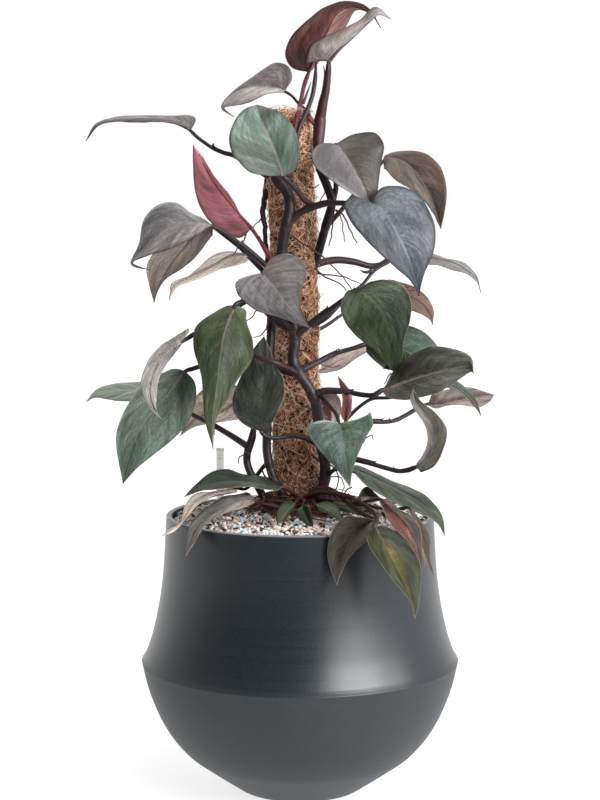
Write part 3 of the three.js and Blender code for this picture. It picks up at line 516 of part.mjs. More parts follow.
// root ball and the mineral top layer
const c = 0.6;
const ballProfile = [[0, FLOOR_THICKNESS + c], [60, FLOOR_THICKNESS + c], [88, 24.5], [116.5, 45.4], [142, 75], [157.5, 105], [165.8, SHOULDER_HEIGHT],
  [158, 166.5], [146.4, 224], [143, SOIL_LEVEL], [0, SOIL_LEVEL]];
let rootBall = lathe(ballProfile, 28);
let gravel = lathe([[0, SOIL_LEVEL + GAP], [142.3 - c, SOIL_LEVEL + GAP], [141.3 - c, 281], [RIM_RADIUS - RIM_WIDTH - c, GRAVEL_EDGE],
  [112, 304.5], [72, 308.5], [36, GRAVEL_CENTRE], [0, GRAVEL_CENTRE]], 32);
for (const cut of [stakeWide, gaugeWide]) rootBall = rootBall.subtract(cut);
for (const cut of [poleEnvelope, gaugeWide, ...stemSolids.map((s) => s.wide)]) gravel = gravel.subtract(cut);
add('root_ball', largest(rootBall), SOIL());

// pole: stake inside a coir sleeve
const stakePath = POLE_PATH.slice(0, -1).concat([[POLE_PATH[POLE_PATH.length - 1][0], 0, STAKE_BOTTOM]]);
const topZ = POLE_PATH[0][2];
const stake = tube(stakePath, STAKE_RADIUS, 10, 8);
const bore = tube(stakePath, STAKE_RADIUS + 0.6, 10, 8).add(box(13, 13, 30, POLE_PATH[0][0], 0, topZ));
let sleeve = tube(POLE_PATH, POLE_RADIUS, 16, 7).subtract(bore);
sleeve = sleeve.subtract(box(80, 80, 40, POLE_PATH[POLE_PATH.length - 1][0], 0, SOIL_LEVEL + GAP - 20));

// stems: each keeps clear of the pole and of the ones before it
let taken = tube(POLE_PATH, POLE_RADIUS + GAP, 16, 7);
const stemBodies = [];
for (const s of stemSolids) {
  stemBodies.push({ name: s.name, body: largest(s.body.subtract(taken).subtract(box(500, 500, 60, 0, 0, SOIL_LEVEL + GAP - 30))) });
  taken = taken.add(s.wide);
}
add('gravel_layer', largest(gravel), GRAVEL());
add('pole_stake', stake, STAKE());
add('pole_coir', largest(sleeve), COIR());

// water gauge at the back left: a hollow square tube with a cap
let gauge = box(GAUGE, GAUGE, GAUGE_TOP - 3 - GAUGE_BOTTOM, GAUGE_X, GAUGE_Y, (GAUGE_TOP - 3 + GAUGE_BOTTOM) / 2);
gauge = gauge.subtract(box(GAUGE - 2.4, GAUGE - 2.4, 300, GAUGE_X, GAUGE_Y, GAUGE_BOTTOM + 2 + 150));
add('gauge_tube', gauge, CLEAR());
let cap = box(GAUGE + 0.6, GAUGE + 0.6, 3, GAUGE_X, GAUGE_Y, GAUGE_TOP - 3 + GAP + 1.5);
cap = cap.add(box(GAUGE - 3.4, GAUGE - 3.4, 6, GAUGE_X, GAUGE_Y, GAUGE_TOP - 4));
add('gauge_cap', cap, CAP());

for (const s of stemBodies) add(s.name, s.body, STEM());

// leaves: each stalk keeps clear of the pole, the stems, the top layer and the stalks before it
const gravelCut = lathe([[0, 250], [RIM_RADIUS - RIM_WIDTH - c, 250], [RIM_RADIUS - RIM_WIDTH - c, GRAVEL_EDGE + GAP],
  [112, 304.5 + GAP], [72, 308.5 + GAP], [36, GRAVEL_CENTRE + GAP], [0, GRAVEL_CENTRE + GAP]], 32);
let shoot = null;
for (const leaf of LEAVES) {
  const stalkBody = stalk(leaf);
  let body = blade(leaf, BLADE_THICKNESS).add(stalkBody);
  body = largest(body.subtract(taken).subtract(gravelCut));
  if (SHOOT_LEAVES.includes(leaf.name)) {
    shoot = shoot ? shoot.add(body) : body;
    if (leaf.name === SHOOT_LEAVES[SHOOT_LEAVES.length - 1]) {
      const base = solid(new THREE.SphereGeometry(9, 10, 8).translate(...SHOOT_BASE));
      shoot = largest(shoot.add(base.subtract(taken).subtract(gravelCut)));
      add('base_shoot', shoot, mat(LEAF_COLOURS.small, 0.5));
      taken = taken.add(solid(new THREE.SphereGeometry(9 + GAP, 10, 8).translate(...SHOOT_BASE)));
    }
    taken = taken.add(stalk(leaf, GAP));
    continue;
  }
  add(leaf.name, body, mat(LEAF_COLOURS[LEAF_TONE[leaf.name] ?? 'green'], 0.42));
  taken = taken.add(stalk(leaf, GAP));
}

export default group;
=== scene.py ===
import math

import bpy
import numpy as np
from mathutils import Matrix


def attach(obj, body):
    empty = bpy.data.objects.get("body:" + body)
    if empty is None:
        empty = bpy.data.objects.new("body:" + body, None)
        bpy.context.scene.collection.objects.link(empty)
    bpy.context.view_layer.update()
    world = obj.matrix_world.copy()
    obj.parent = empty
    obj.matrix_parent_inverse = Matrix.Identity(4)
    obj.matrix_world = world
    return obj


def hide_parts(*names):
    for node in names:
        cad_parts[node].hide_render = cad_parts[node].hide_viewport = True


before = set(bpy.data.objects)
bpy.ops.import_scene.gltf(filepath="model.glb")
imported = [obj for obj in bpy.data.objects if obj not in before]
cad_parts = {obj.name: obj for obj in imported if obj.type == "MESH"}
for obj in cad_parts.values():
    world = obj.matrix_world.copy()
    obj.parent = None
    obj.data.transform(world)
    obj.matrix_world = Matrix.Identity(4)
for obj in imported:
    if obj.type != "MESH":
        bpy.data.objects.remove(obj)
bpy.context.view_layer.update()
MM = 0.001
RNG = np.random.default_rng(71)

# ------------------------------------------------------------------ tables, millimetres
# Leaf blades: midrib and the two margins at nine stations from the stalk to the tip. With the tip ahead
# and the upper face towards the eye, a is on the right. stalk runs from the blade to the stem.
LEAVES = {
    'leaf_01': {
        "r": 2.8,
        "mid": [[8.6, -0, 785.1], [11.1, 0.5, 791.1], [15.4, 1.6, 801.5], [21.2, 3.3, 814.1], [29.1, 4.9, 830.5], [38.7, 5.5, 847.7], [56.1, 3.5, 855.4], [75, 0.2, 848], [86.9, -1.4, 831.5]],
        "a": [[-8.5, -5.9, 788.7], [-15.7, -13.3, 801.7], [-9.1, -19, 819.8], [5.6, -22.2, 835.9], [24.7, -20.3, 851.3], [49.2, -15.5, 857.4], [73.2, -9.1, 850.9]],
        "b": [[10.5, 19, 788], [12.5, 34.5, 790.9], [23.9, 40.1, 803.8], [36.8, 39.6, 818.9], [49, 34.1, 836.3], [60.2, 23.7, 854], [75.6, 9.7, 846.8]],
        "stalk": [[8.6, -0, 785.1], [4.3, -6, 769.7], [1.1, -14, 754.3], [-2.1, -24, 737.8], [-4.2, -32, 723.6], [-8.5, -36, 700.3], [-12.7, -38, 672.9]],
    },
    'leaf_02': {
        "r": 3.4,
        "mid": [[29.7, -25, 794.4], [31, -25.1, 796], [34.6, -25.1, 800.4], [40, -25.2, 806.6], [49.4, -24.5, 815.3], [60.3, -23.3, 825.3], [71.4, -22.2, 835.4], [83.6, -21.8, 844.4], [96.6, -20.6, 838.8]],
        "a": [[30.7, -41.7, 794.1], [31.8, -55.6, 794.1], [40.9, -60.7, 803.6], [51.6, -58.7, 813.5], [62.2, -51.4, 823.5], [72.8, -41.2, 833], [84.5, -30.7, 841.8]],
        "b": [[15.3, -18.1, 794.6], [6.3, -9.3, 794.8], [11.7, -4, 812.1], [26.6, -0.3, 821.9], [44.5, -1.1, 831.2], [63.5, -6.7, 839.5], [80, -14.8, 851.8]],
        "stalk": [[29.7, -25, 794.4], [29.8, -24, 779.9], [27.7, -22, 764.3], [24.5, -20, 750.7], [21.4, -17, 732.9]],
    },
    'leaf_03': {
        "r": 1.8,
        "mid": [[-16.1, -12, 764], [-19.5, -12.1, 764.7], [-26.8, -12.3, 766.1], [-36.2, -12.3, 767.3], [-49.2, -11.1, 768.1], [-63.4, -8.3, 765.7], [-75.3, -4.4, 758.9], [-83.9, 0.2, 748.3], [-71.3, 3.7, 737.4]],
        "a": [[-8.6, -5.3, 777.7], [-12.8, 3.1, 790.7], [-26.7, 10, 795.8], [-41, 15.5, 789.4], [-56, 16.9, 777.6], [-71.7, 14.2, 764.4], [-85, 9.2, 747.5]],
        "b": [[-17.7, -28.6, 762.3], [-21.3, -42.2, 760.6], [-34.4, -46, 757.5], [-47.3, -42.2, 752.3], [-59.7, -32.7, 749.5], [-71.1, -20.5, 747.6], [-81.6, -7.2, 745.2]],
        "stalk": [[-16.1, -12, 764], [-8.6, -13, 758.6], [-2.1, -14, 751.1], [4.3, -15, 744.7], [9.6, -16, 738.3], [15, -17, 728.7]],
    },
    'leaf_04': {
        "r": 2.4,
        "mid": [[-118.9, 20, 724.4], [-124.3, 19.3, 728.3], [-134.3, 18, 732.6], [-147.4, 16.4, 734.9], [-164.7, 14.7, 736.1], [-183.9, 13.1, 735.6], [-202.7, 11.4, 734.5], [-221.6, 9.5, 728.6], [-232, 7.8, 711.9]],
        "a": [[-114.6, 34.4, 735.8], [-123.1, 47.8, 741], [-141.2, 52.8, 741.5], [-161.4, 50.4, 741.4], [-182.3, 42.4, 740.1], [-202.9, 31, 738], [-222.5, 18.5, 731]],
        "b": [[-119.7, 2.1, 724.5], [-123.1, -13.1, 725.4], [-138.8, -19.8, 728.6], [-157.5, -20.5, 731], [-177.7, -15.8, 731.5], [-198.2, -8, 730.8], [-218.2, 0.7, 726.4]],
        "stalk": [[-118.1, 8, 723.7], [-111.5, 6, 716.1], [-102.8, 4, 709.6], [-92.9, -0, 703], [-82, -4, 698.5], [-70, -8, 695.1], [-53.7, -14, 685.3], [-34.2, -22, 673.4]],
    },
    'leaf_05': {
        "r": 3,
        "mid": [[-16.6, -82, 671.6], [-17.5, -79.1, 674.7], [-19.5, -72.2, 681.2], [-22.5, -62.6, 690.3], [-28.3, -50, 704.4], [-35.8, -37.1, 719.7], [-41.2, -23.5, 732.6], [-44.6, -6, 743.5], [-46.7, 13.8, 750.9]],
        "a": [[-4.5, -94.1, 677.2], [-0, -98, 690.8], [-2.7, -88.5, 707.5], [-5.5, -71, 720.1], [-11.9, -50.6, 731.2], [-23.7, -30.5, 741.8], [-35.9, -8.6, 747.6]],
        "b": [[-34.6, -93.7, 672.4], [-52.5, -95.7, 675.1], [-64, -84, 686.1], [-70.5, -66.1, 695.7], [-74.6, -48.6, 714.2], [-67.3, -31.3, 734.1], [-56.1, -9.7, 746.4]],
        "stalk": [[-16.6, -82, 671.6], [-10.4, -76, 664.6], [-3.1, -66, 656.5], [4.2, -56, 648.3], [12.7, -44, 641.2]],
    },
    'leaf_06': {
        "r": 2.4,
        "mid": [[-52.4, -28, 616.9], [-56.4, -28.1, 621.3], [-62.9, -28.4, 628.5], [-70.3, -28.8, 637.6], [-79.7, -29.4, 649.4], [-89.8, -30.3, 662.4], [-98.1, -31.5, 675.9], [-105.7, -32.6, 690.9], [-113.6, -33.4, 705.7]],
        "a": [[-61, -40.7, 608.9], [-71.5, -51.4, 608.9], [-85.9, -53.3, 615.7], [-97.9, -51, 628.2], [-107.1, -46.2, 645.1], [-112.5, -41, 665], [-113.7, -36.6, 685.8]],
        "b": [[-53.7, -10.3, 618.9], [-57.6, 4.4, 624.2], [-66.5, 9.6, 636.5], [-75.6, 7.7, 650.5], [-85.1, 0.1, 664.7], [-94.2, -11.1, 678.4], [-103.4, -23.3, 692.2]],
        "stalk": [[-51.3, -28, 615.9], [-44.8, -32, 607.4], [-39.4, -36, 598.9], [-34.1, -38, 590.4], [-26.6, -40, 582]],
    },
    'leaf_07': {
        "r": 2.8,
        "mid": [[-91.8, -74, 621.1], [-99.3, -75.6, 621.7], [-110.4, -79.3, 623.2], [-122.9, -83.8, 623.9], [-138.5, -87.7, 619.7], [-152.4, -88.7, 608.8], [-163.5, -88, 595.2], [-174.9, -88.1, 580.8], [-155.6, -89.5, 574.6]],
        "a": [[-102, -58, 626.9], [-114.6, -48.8, 633.9], [-129.1, -52.6, 644.9], [-148.3, -59.3, 641.6], [-163.6, -65, 625.6], [-169, -70.7, 603], [-175.4, -79.4, 580.4]],
        "b": [[-92.5, -91.9, 619.6], [-93.3, -107.4, 618.1], [-105.7, -114.8, 610.8], [-121.4, -116.7, 603.3], [-138.2, -112.8, 594.5], [-156.3, -105.4, 589], [-174.6, -96.5, 582]],
        "stalk": [[-91.8, -74, 621.1], [-81.6, -70, 614.9], [-68.3, -62, 605.4], [-54.9, -54, 594.9], [-40.3, -46, 582.1], [-29.8, -42, 571.4]],
    },
    'leaf_08': {
        "r": 2.4,
        "mid": [[-94.1, -5, 618], [-100.5, -5.5, 618.5], [-109.9, -6.4, 613.2], [-118.5, -6.9, 604], [-129.2, -6.4, 591.5], [-139.7, -4.8, 577.8], [-148, -1.5, 564.9], [-155, 4.6, 550.6], [-160.1, 12.7, 536.2]],
        "a": [[-94, -19.5, 610.5], [-93.9, -32.7, 608.5], [-103.6, -36.9, 596.4], [-116.2, -36.1, 584], [-130.9, -30.1, 571.8], [-146.2, -19.3, 561.1], [-156.4, -3.9, 548.8]],
        "b": [[-100.8, 11.1, 623.5], [-110.5, 23.3, 625], [-125.5, 25.8, 616.6], [-141, 21.1, 606.7], [-156.6, 11.2, 596], [-167.2, 5, 576.3], [-164, 6.1, 555]],
        "stalk": [[-94.1, -5, 618], [-81.1, -8, 609.4], [-64.7, -14, 596.5], [-49.4, -22, 581.6], [-34.3, -28, 566.8]],
    },
    'leaf_09': {
        "r": 2.4,
        "mid": [[-55.6, -30, 589.2], [-60.9, -30.3, 589.4], [-69.5, -31.1, 589], [-79.8, -32.3, 585.6], [-91.8, -34.4, 578.1], [-106, -36.7, 571.6], [-120, -38.7, 564.7], [-134.3, -40.6, 556.7], [-139.6, -42.1, 541.6]],
        "a": [[-54.4, -15.2, 585.4], [-60.1, -3, 581.7], [-73.6, 0.6, 576.1], [-88.7, -1.8, 571.6], [-103.7, -9.7, 566], [-118.4, -20.5, 561.2], [-131.4, -32.2, 553.6]],
        "b": [[-58.5, -13.7, 590.2], [-66.3, -1.1, 591.6], [-81.7, 1.7, 591.5], [-97.2, -1.9, 586.9], [-110, -9.7, 576.4], [-121.9, -20.5, 565.3], [-136.8, -32.2, 558.5]],
        "stalk": [[-55.6, -30, 589.2], [-47, -34, 585], [-38.4, -38, 578.7], [-29.8, -40, 571.3]],
    },
    'leaf_10': {
        "r": 2.6,
        "mid": [[37.7, -58, 705.6], [39.4, -58.6, 703.4], [43.2, -60, 698.6], [47.8, -61.8, 691.8], [53.8, -63.3, 682.1], [60.7, -63.5, 670.2], [67.4, -62.4, 657.8], [73.6, -60.1, 643.7], [78.9, -57.1, 629.5]],
        "a": [[21.9, -63.3, 706.1], [12.2, -70.9, 697], [13.4, -77.4, 683.7], [24, -82.9, 673.6], [38.7, -82.8, 663.2], [54.4, -77.2, 652.5], [69.4, -67.7, 642.6]],
        "b": [[52.3, -50.8, 714.4], [67.2, -47.7, 718.4], [79.8, -51.8, 716.9], [87.9, -55.5, 704.5], [85.6, -56.4, 688.4], [83.3, -56.7, 669.6], [80.8, -57.1, 649.2]],
        "stalk": [[37.7, -58, 705.6], [35.9, -44, 691.6], [36.2, -32, 677.3], [38.5, -24, 662.7], [36.4, -22, 650]],
    },
    'leaf_11': {
        "r": 2.4,
        "mid": [[90.2, 10, 691.6], [95.7, 9.5, 694.3], [106.4, 8.7, 692.6], [117.6, 9, 686.5], [128.8, 11.8, 674.7], [137.9, 17.7, 660.9], [145.5, 25.7, 647.3], [151.4, 35.5, 632.1], [156.6, 46.1, 616.9]],
        "a": [[90.6, -4.8, 682.4], [90.9, -18.8, 680.3], [101.7, -22.6, 668.5], [117.9, -20.1, 660.6], [131.7, -8.9, 649.4], [141, 7.9, 637.7], [149.6, 27.3, 627.7]],
        "b": [[94, 28, 697.5], [103.2, 40.9, 702.2], [121.6, 42.8, 702.6], [140.6, 37.8, 697.9], [156.3, 32.6, 682.5], [161.7, 32.4, 659.9], [159.5, 37.5, 637.3]],
        "stalk": [[89.5, -5, 691], [79.9, -4, 678.2], [67, -4, 663.2], [53.9, -8, 648.1], [40.9, -14, 633], [29, -18, 620.1]],
    },
    'leaf_12': {
        "r": 3.6,
        "mid": [[74.6, -84, 642.7], [76.8, -85.4, 641.3], [82.5, -88.7, 637.3], [89.9, -92.9, 629.3], [98, -96.4, 615.3], [106.2, -97.5, 599.4], [113.2, -95.3, 583.6], [119.2, -89.3, 565.1], [124.2, -81.2, 547.4]],
        "a": [[57.3, -90.4, 650.7], [45.1, -100.8, 642], [50.5, -111.5, 626.8], [63.1, -119.1, 611.6], [79.3, -119.1, 593.8], [97.3, -111.5, 577.2], [114.6, -97.6, 563.4]],
        "b": [[83.8, -72.6, 659.5], [102.5, -66.1, 662.1], [120.4, -70.4, 654.3], [132.1, -80.1, 639.4], [140.2, -88.9, 618.3], [138.2, -91.7, 593.2], [128.5, -88.3, 570.4]],
        "stalk": [[76.7, -84, 640.7], [66.6, -76, 640.8], [52.3, -68, 643], [39.9, -62, 644.1], [26.3, -56, 643.1], [10.6, -50, 639], [-2.1, -46, 632.7], [-12.7, -44, 622.2]],
    },
    'leaf_13': {
        "r": 2.4,
        "mid": [[108.1, 30, 585.1], [114.3, 30.2, 585.7], [124.4, 30.7, 586.3], [136.2, 31.6, 586.3], [151.6, 33.4, 583.5], [168.3, 35.8, 579.4], [183, 39, 571.9], [196.1, 44, 560.9], [202.2, 50.5, 545.8]],
        "a": [[111.8, 45.3, 591.9], [114.2, 58.8, 593.6], [129.1, 64.5, 595.1], [145.4, 65.4, 589.6], [163.6, 61.7, 584.9], [182.6, 55.7, 580.5], [196.2, 51.5, 565.1]],
        "b": [[109.5, 14.4, 581], [116.2, 1.7, 579.4], [131.9, -2.2, 579.1], [149.2, 0.7, 578], [165.7, 9.4, 571.3], [183.1, 21.1, 568.7], [196.2, 35.7, 559.4]],
        "stalk": [[108.1, 30, 585.1], [96.9, 26, 580.7], [81.1, 16, 571.1], [67.6, 4, 556.1], [54.2, -8, 546.8], [41, -20, 534.3], [27.9, -32, 521.9], [12.8, -42, 513.9]],
    },
    'leaf_14': {
        "r": 2,
        "mid": [[80.4, 50, 544.7], [84.8, 49.9, 545.1], [92.6, 49.7, 545.7], [101.8, 49.8, 545.5], [114.2, 50.8, 543.8], [127.7, 53.1, 539.2], [138.7, 57.5, 531.5], [146.2, 64.2, 520.6], [150.4, 72.2, 508.8]],
        "a": [[83.4, 64.6, 547.9], [87, 76, 552.4], [98.4, 78.9, 559], [112.6, 77.9, 556.9], [128.1, 73.6, 553.2], [141.7, 69.9, 542.5], [150, 69.4, 526.2]],
        "b": [[82.6, 36.8, 537.4], [83.1, 24.9, 536.6], [94.3, 22, 530.1], [107.9, 24.8, 527.1], [122.1, 31.8, 526.7], [134.9, 43.2, 523.1], [144.4, 57.6, 516.9]],
        "stalk": [[80.4, 50, 544.7], [69, 42, 538.3], [53.2, 32, 527.6], [35.2, 18, 515.1], [19.7, 6, 506.9], [6.6, 28, 499]],
    },
    'leaf_15': {
        "r": 2.8,
        "mid": [[-39.4, -92, 571.6], [-37.8, -91.4, 569.8], [-34.4, -89.8, 565.7], [-29.9, -87.4, 560.2], [-23.7, -84.1, 552.1], [-17, -80.3, 542.5], [-9, -76.4, 533.3], [0.8, -73.3, 523.1], [10.5, -71.3, 513.4]],
        "a": [[-55.2, -91.1, 568.6], [-66.6, -87.5, 561.8], [-65.2, -81.9, 549.4], [-56.6, -75.2, 539.7], [-42.8, -70.7, 530.7], [-25.1, -68.7, 525.3], [-6.9, -69.3, 518.6]],
        "b": [[-30.5, -97, 586], [-15.7, -98.3, 592.3], [-2.7, -93.3, 588.8], [5.8, -84.2, 580.1], [5.6, -74.9, 566], [0.5, -68.8, 550], [2, -68.2, 530.2]],
        "stalk": [[-39.4, -92, 571.6], [-37.6, -80, 553.6], [-31.5, -68, 536.4], [-21.2, -56, 523.1], [-10.6, -46, 512]],
    },
    'leaf_16': {
        "r": 3.4,
        "mid": [[59.4, -84, 552.7], [63.5, -82.5, 551], [69.9, -78.6, 547.7], [77.6, -72.8, 541.8], [86.1, -64.6, 530.9], [93.5, -56.5, 515.6], [99, -49.7, 498.4], [102.5, -42.4, 480.3], [101, -34, 462.9]],
        "a": [[47.6, -96.2, 552.1], [42.2, -101.5, 537.4], [46.6, -94.6, 522], [52.3, -80.7, 512.3], [62.4, -66.7, 501.6], [76.9, -55.4, 490.8], [90.1, -44.7, 476.8]],
        "b": [[73.2, -95.6, 562.7], [89, -101.8, 565.8], [105.8, -97.6, 558.9], [115.1, -89.5, 542], [115.3, -79.3, 521], [110.1, -66.7, 499.9], [108, -50.8, 479.9]],
        "stalk": [[59.4, -84, 552.7], [48.2, -74, 545], [33.7, -64, 534.1], [19.1, -56, 523.1], [5.3, -50, 512.2], [-4.3, -46, 503.5]],
    },
    'leaf_17': {
        "r": 3.2,
        "mid": [[71.5, -14, 492.9], [76.5, -15.3, 492.5], [85, -18.2, 492], [95.7, -22.3, 491.5], [109.8, -26.9, 488.1], [124.8, -28.1, 480.2], [136.4, -23.8, 469.9], [143.5, -13.5, 458.4], [148.8, -0.3, 448.2]],
        "a": [[72.6, -1.9, 484], [79.2, 3.1, 474.6], [90.2, -4.3, 466.2], [91.1, -19.9, 466.6], [105.9, -30, 463.9], [124.5, -28.6, 460.4], [139.5, -16.9, 453.8]],
        "b": [[78.4, -0.4, 502.8], [89.1, 8.2, 509.8], [105.3, 5.6, 513.5], [121.2, -4, 511.8], [137.3, -14.3, 503], [151.3, -18, 485.4], [153.5, -12.3, 463.9]],
        "stalk": [[71.5, -14, 492.9], [58.4, -20, 488.9], [43.1, -28, 485.1], [27.9, -34, 479.1], [15, -40, 473.1], [2.1, -44, 467]],
    },
    'leaf_18': {
        "r": 3,
        "mid": [[-126.9, -60, 497.9], [-129.8, -61.7, 496.7], [-135.8, -65.7, 493.3], [-143.1, -71.9, 486.8], [-150.2, -80.5, 475.6], [-155.1, -90.8, 461.7], [-156.5, -101.6, 447.4], [-151.1, -113.7, 433.6], [-141.5, -125.5, 421]],
        "a": [[-123.6, -45.5, 499.2], [-130.2, -37.2, 491], [-139.5, -41, 477.2], [-146.8, -52.2, 463.7], [-151.1, -68.4, 451.2], [-150.7, -87.1, 440.1], [-147.8, -107.2, 430.8]],
        "b": [[-116.7, -66.6, 508.1], [-117.5, -78, 512.7], [-128.8, -89.6, 507.3], [-143.4, -99.9, 497.2], [-156.3, -107.1, 479.9], [-164.3, -112.3, 458.1], [-157.5, -118.4, 436]],
        "stalk": [[-126.9, -60, 497.9], [-118.8, -54, 501.8], [-108.6, -46, 506.7], [-90.7, -42, 504.3], [-69.1, -50, 494.1], [-52.9, -62, 485.4], [-40, -70, 480.7], [-25.3, -71, 476.5], [-11.7, -58, 469.1], [-1.1, -48, 463]],
    },
    'leaf_19': {
        "r": 2.8,
        "mid": [[-68, -78, 537.8], [-70.9, -79.5, 530.4], [-75.7, -83.2, 518.6], [-79.7, -88.8, 504.1], [-82.6, -94.7, 484.6], [-85.1, -98.9, 461.2], [-88.4, -102, 438], [-91.4, -103.6, 413.6], [-90.4, -104, 389.4]],
        "a": [[-81.2, -62.4, 535.1], [-94.9, -55.2, 527.5], [-109.7, -61.3, 513.1], [-111.1, -68.5, 490.2], [-105.2, -76, 466], [-101.8, -86, 440.8], [-97.1, -96, 415]],
        "b": [[-58.8, -62.2, 532.4], [-56.3, -54.1, 518.6], [-49.3, -61, 500.7], [-51.3, -69.7, 479.7], [-65.6, -76.1, 460.1], [-76.3, -85.2, 437.2], [-88.7, -95.2, 414.7]],
        "stalk": [[-68, -78, 537.8], [-62.9, -72, 540.7], [-56, -58, 543.3], [-46.8, -46, 539.7], [-36.3, -42, 528.8], [-25.6, -42, 518.2], [-12.8, -44, 509.7]],
    },
    'leaf_20': {
        "r": 3,
        "mid": [[-123.3, -38, 465.4], [-127.8, -39.9, 460.1], [-134.8, -44.4, 451], [-143, -50.7, 439.4], [-155.6, -58.7, 425.8], [-167.8, -66.3, 408.4], [-176.5, -71.3, 389.8], [-183.2, -73.1, 369.3], [-187.4, -72.5, 348.2]],
        "a": [[-136.8, -23, 467.5], [-150.2, -15, 460.4], [-167.9, -21.4, 453], [-180.3, -32.9, 438.5], [-189.8, -47.4, 420.3], [-194.9, -60.2, 397.7], [-192.4, -68.6, 372.8]],
        "b": [[-113.7, -25.4, 452.6], [-111.5, -19.4, 436.2], [-117.1, -26.1, 418.3], [-124.8, -40.8, 404.7], [-136.4, -57, 392.8], [-153.3, -68, 380], [-172.1, -72.7, 365.2]],
        "stalk": [[-123.1, -40, 465.6], [-115.9, -36, 467.4], [-105.7, -26, 469.9], [-90.9, -18, 471.4], [-71.6, -14, 473.3], [-54.1, -18, 473.6], [-36.6, -30, 470.2], [-21.4, -38, 466.5], [-6.4, -44, 462.7]],
    },
    'leaf_21': {
        "r": 3.2,
        "mid": [[-144.5, 30, 436.6], [-149.6, 30.5, 437.3], [-158.2, 31.8, 438.4], [-168.8, 33.7, 439.2], [-183.1, 36.6, 439.5], [-199.2, 40.2, 438.6], [-215, 44.5, 437.2], [-230.6, 50.6, 433], [-241.4, 58.5, 422.7]],
        "a": [[-142.9, 43.9, 443.4], [-145.2, 57, 443.9], [-158.1, 63.7, 447.1], [-174.1, 65.7, 446.7], [-191.6, 63.9, 444.3], [-210.1, 60.1, 442.2], [-229.1, 57.5, 437.3]],
        "b": [[-145.7, 15.8, 431.2], [-152, 4.4, 429.8], [-167, 2.4, 428.2], [-183.1, 6.9, 428.4], [-199.3, 16.6, 428.6], [-215, 29.2, 428.6], [-229.6, 43.7, 428.2]],
        "stalk": [[-144.5, 30, 436.6], [-135.4, 26, 425.8], [-121.8, 20, 414.2], [-104.9, 14, 405.9], [-88, 6, 397.9], [-71.2, -4, 389.1], [-57.8, -14, 381.5]],
    },
    'leaf_22': {
        "r": 2.8,
        "mid": [[-42.5, -60, 403.2], [-41.4, -59.3, 408.9], [-39.9, -57.6, 418], [-38.4, -55.5, 428.9], [-37.4, -52.5, 442.9], [-36.4, -49.3, 458.1], [-36.5, -46.4, 473.2], [-37.5, -42.8, 488.6], [-38.5, -38.3, 503]],
        "a": [[-33.9, -74.5, 406.9], [-28.2, -85.3, 415], [-22.4, -85.8, 429.3], [-16.8, -79.9, 443.6], [-16.8, -70.7, 459.7], [-25.6, -61.1, 474], [-32.1, -49.8, 489.3]],
        "b": [[-54.1, -47.8, 405.4], [-64, -39, 411.2], [-71.4, -39.5, 423.5], [-71.8, -42.5, 438.7], [-65.8, -44.7, 455.1], [-57.4, -45.3, 472], [-49.6, -43, 489.6]],
        "stalk": [[-42.5, -62, 403.4], [-36.2, -58, 397.6], [-27.7, -54, 395], [-17.1, -50, 395.6], [-4.3, -48, 396.5], [8.6, -46, 393], [21.5, -42, 385]],
    },
    'leaf_23': {
        "r": 2.2,
        "mid": [[-58.1, 40, 428.9], [-62.6, 39.9, 427.1], [-70.3, 39.5, 424], [-78.6, 39.3, 419], [-89.7, 39, 412.7], [-103, 39, 411], [-114.7, 40.5, 405.2], [-125.7, 43.8, 395.8], [-134.9, 47.8, 385.3]],
        "a": [[-57.3, 26.5, 421.7], [-58.2, 14.4, 418.1], [-66.8, 10.1, 408.2], [-81.3, 9.8, 405.9], [-97.2, 14.4, 404.1], [-111.9, 23.9, 399.9], [-124, 36.1, 393.1]],
        "b": [[-64.4, 53.7, 434.4], [-72.7, 62.9, 439.3], [-85.9, 61.3, 442.6], [-98.5, 54.5, 441.5], [-112.6, 48.4, 434.7], [-122.2, 46, 419.8], [-128.4, 46.1, 402.2]],
        "stalk": [[-58.1, 40, 428.9], [-46.9, 38, 432.5], [-33.4, 36, 433.8], [-17.8, 36, 429.3], [-2.2, 37, 422.5]],
    },
    'leaf_24': {
        "r": 3.4,
        "mid": [[86.1, -78, 448.6], [91.8, -78.3, 450.9], [101.1, -79.3, 454.5], [112.3, -80.5, 458.7], [127.6, -82, 463.4], [144.3, -83.9, 468.1], [159.9, -86.5, 472.2], [175.7, -92.3, 475.1], [180, -104.3, 467.6]],
        "a": [[89.8, -62.5, 442.8], [97.4, -51.7, 437.3], [113.6, -51.9, 434.7], [130.2, -55.9, 439.4], [147.4, -63.6, 446.2], [163.9, -73, 456.4], [178, -85.7, 467.6]],
        "b": [[90.4, -59.7, 451.5], [97.1, -47, 460.6], [107.6, -47.1, 475], [121, -54.6, 486.4], [137.7, -66.3, 493.4], [158.1, -77.4, 492.2], [177.2, -89.1, 485.2]],
        "stalk": [[86.1, -78, 448.6], [77.8, -76, 443.1], [67.6, -68, 442.4], [55.2, -60, 443.8], [40.4, -56, 445.5], [25.6, -52, 445.2], [12.8, -48, 439.5]],
    },
    'leaf_25': {
        "r": 2.4,
        "mid": [[40.6, -96, 415.7], [41, -95, 413.8], [41.9, -92.5, 409.1], [43, -88.8, 403.1], [44.8, -85.1, 394.2], [46.5, -81.9, 383.2], [48.1, -79.9, 371.9], [50.1, -79.3, 358.9], [52.7, -80.2, 346.1]],
        "a": [[24.9, -97.7, 419], [11.5, -94.4, 415], [6.9, -85.4, 407.6], [10.8, -76.1, 398.3], [19.4, -71, 385.6], [30.6, -70.8, 372], [42.7, -74.5, 358.8]],
        "b": [[58.1, -95.8, 419.5], [71.2, -89.6, 424.5], [74.2, -78.2, 424.6], [77.3, -70.8, 410.5], [69.3, -65.9, 396.9], [61.6, -66.5, 379.9], [55.9, -72.2, 362.1]],
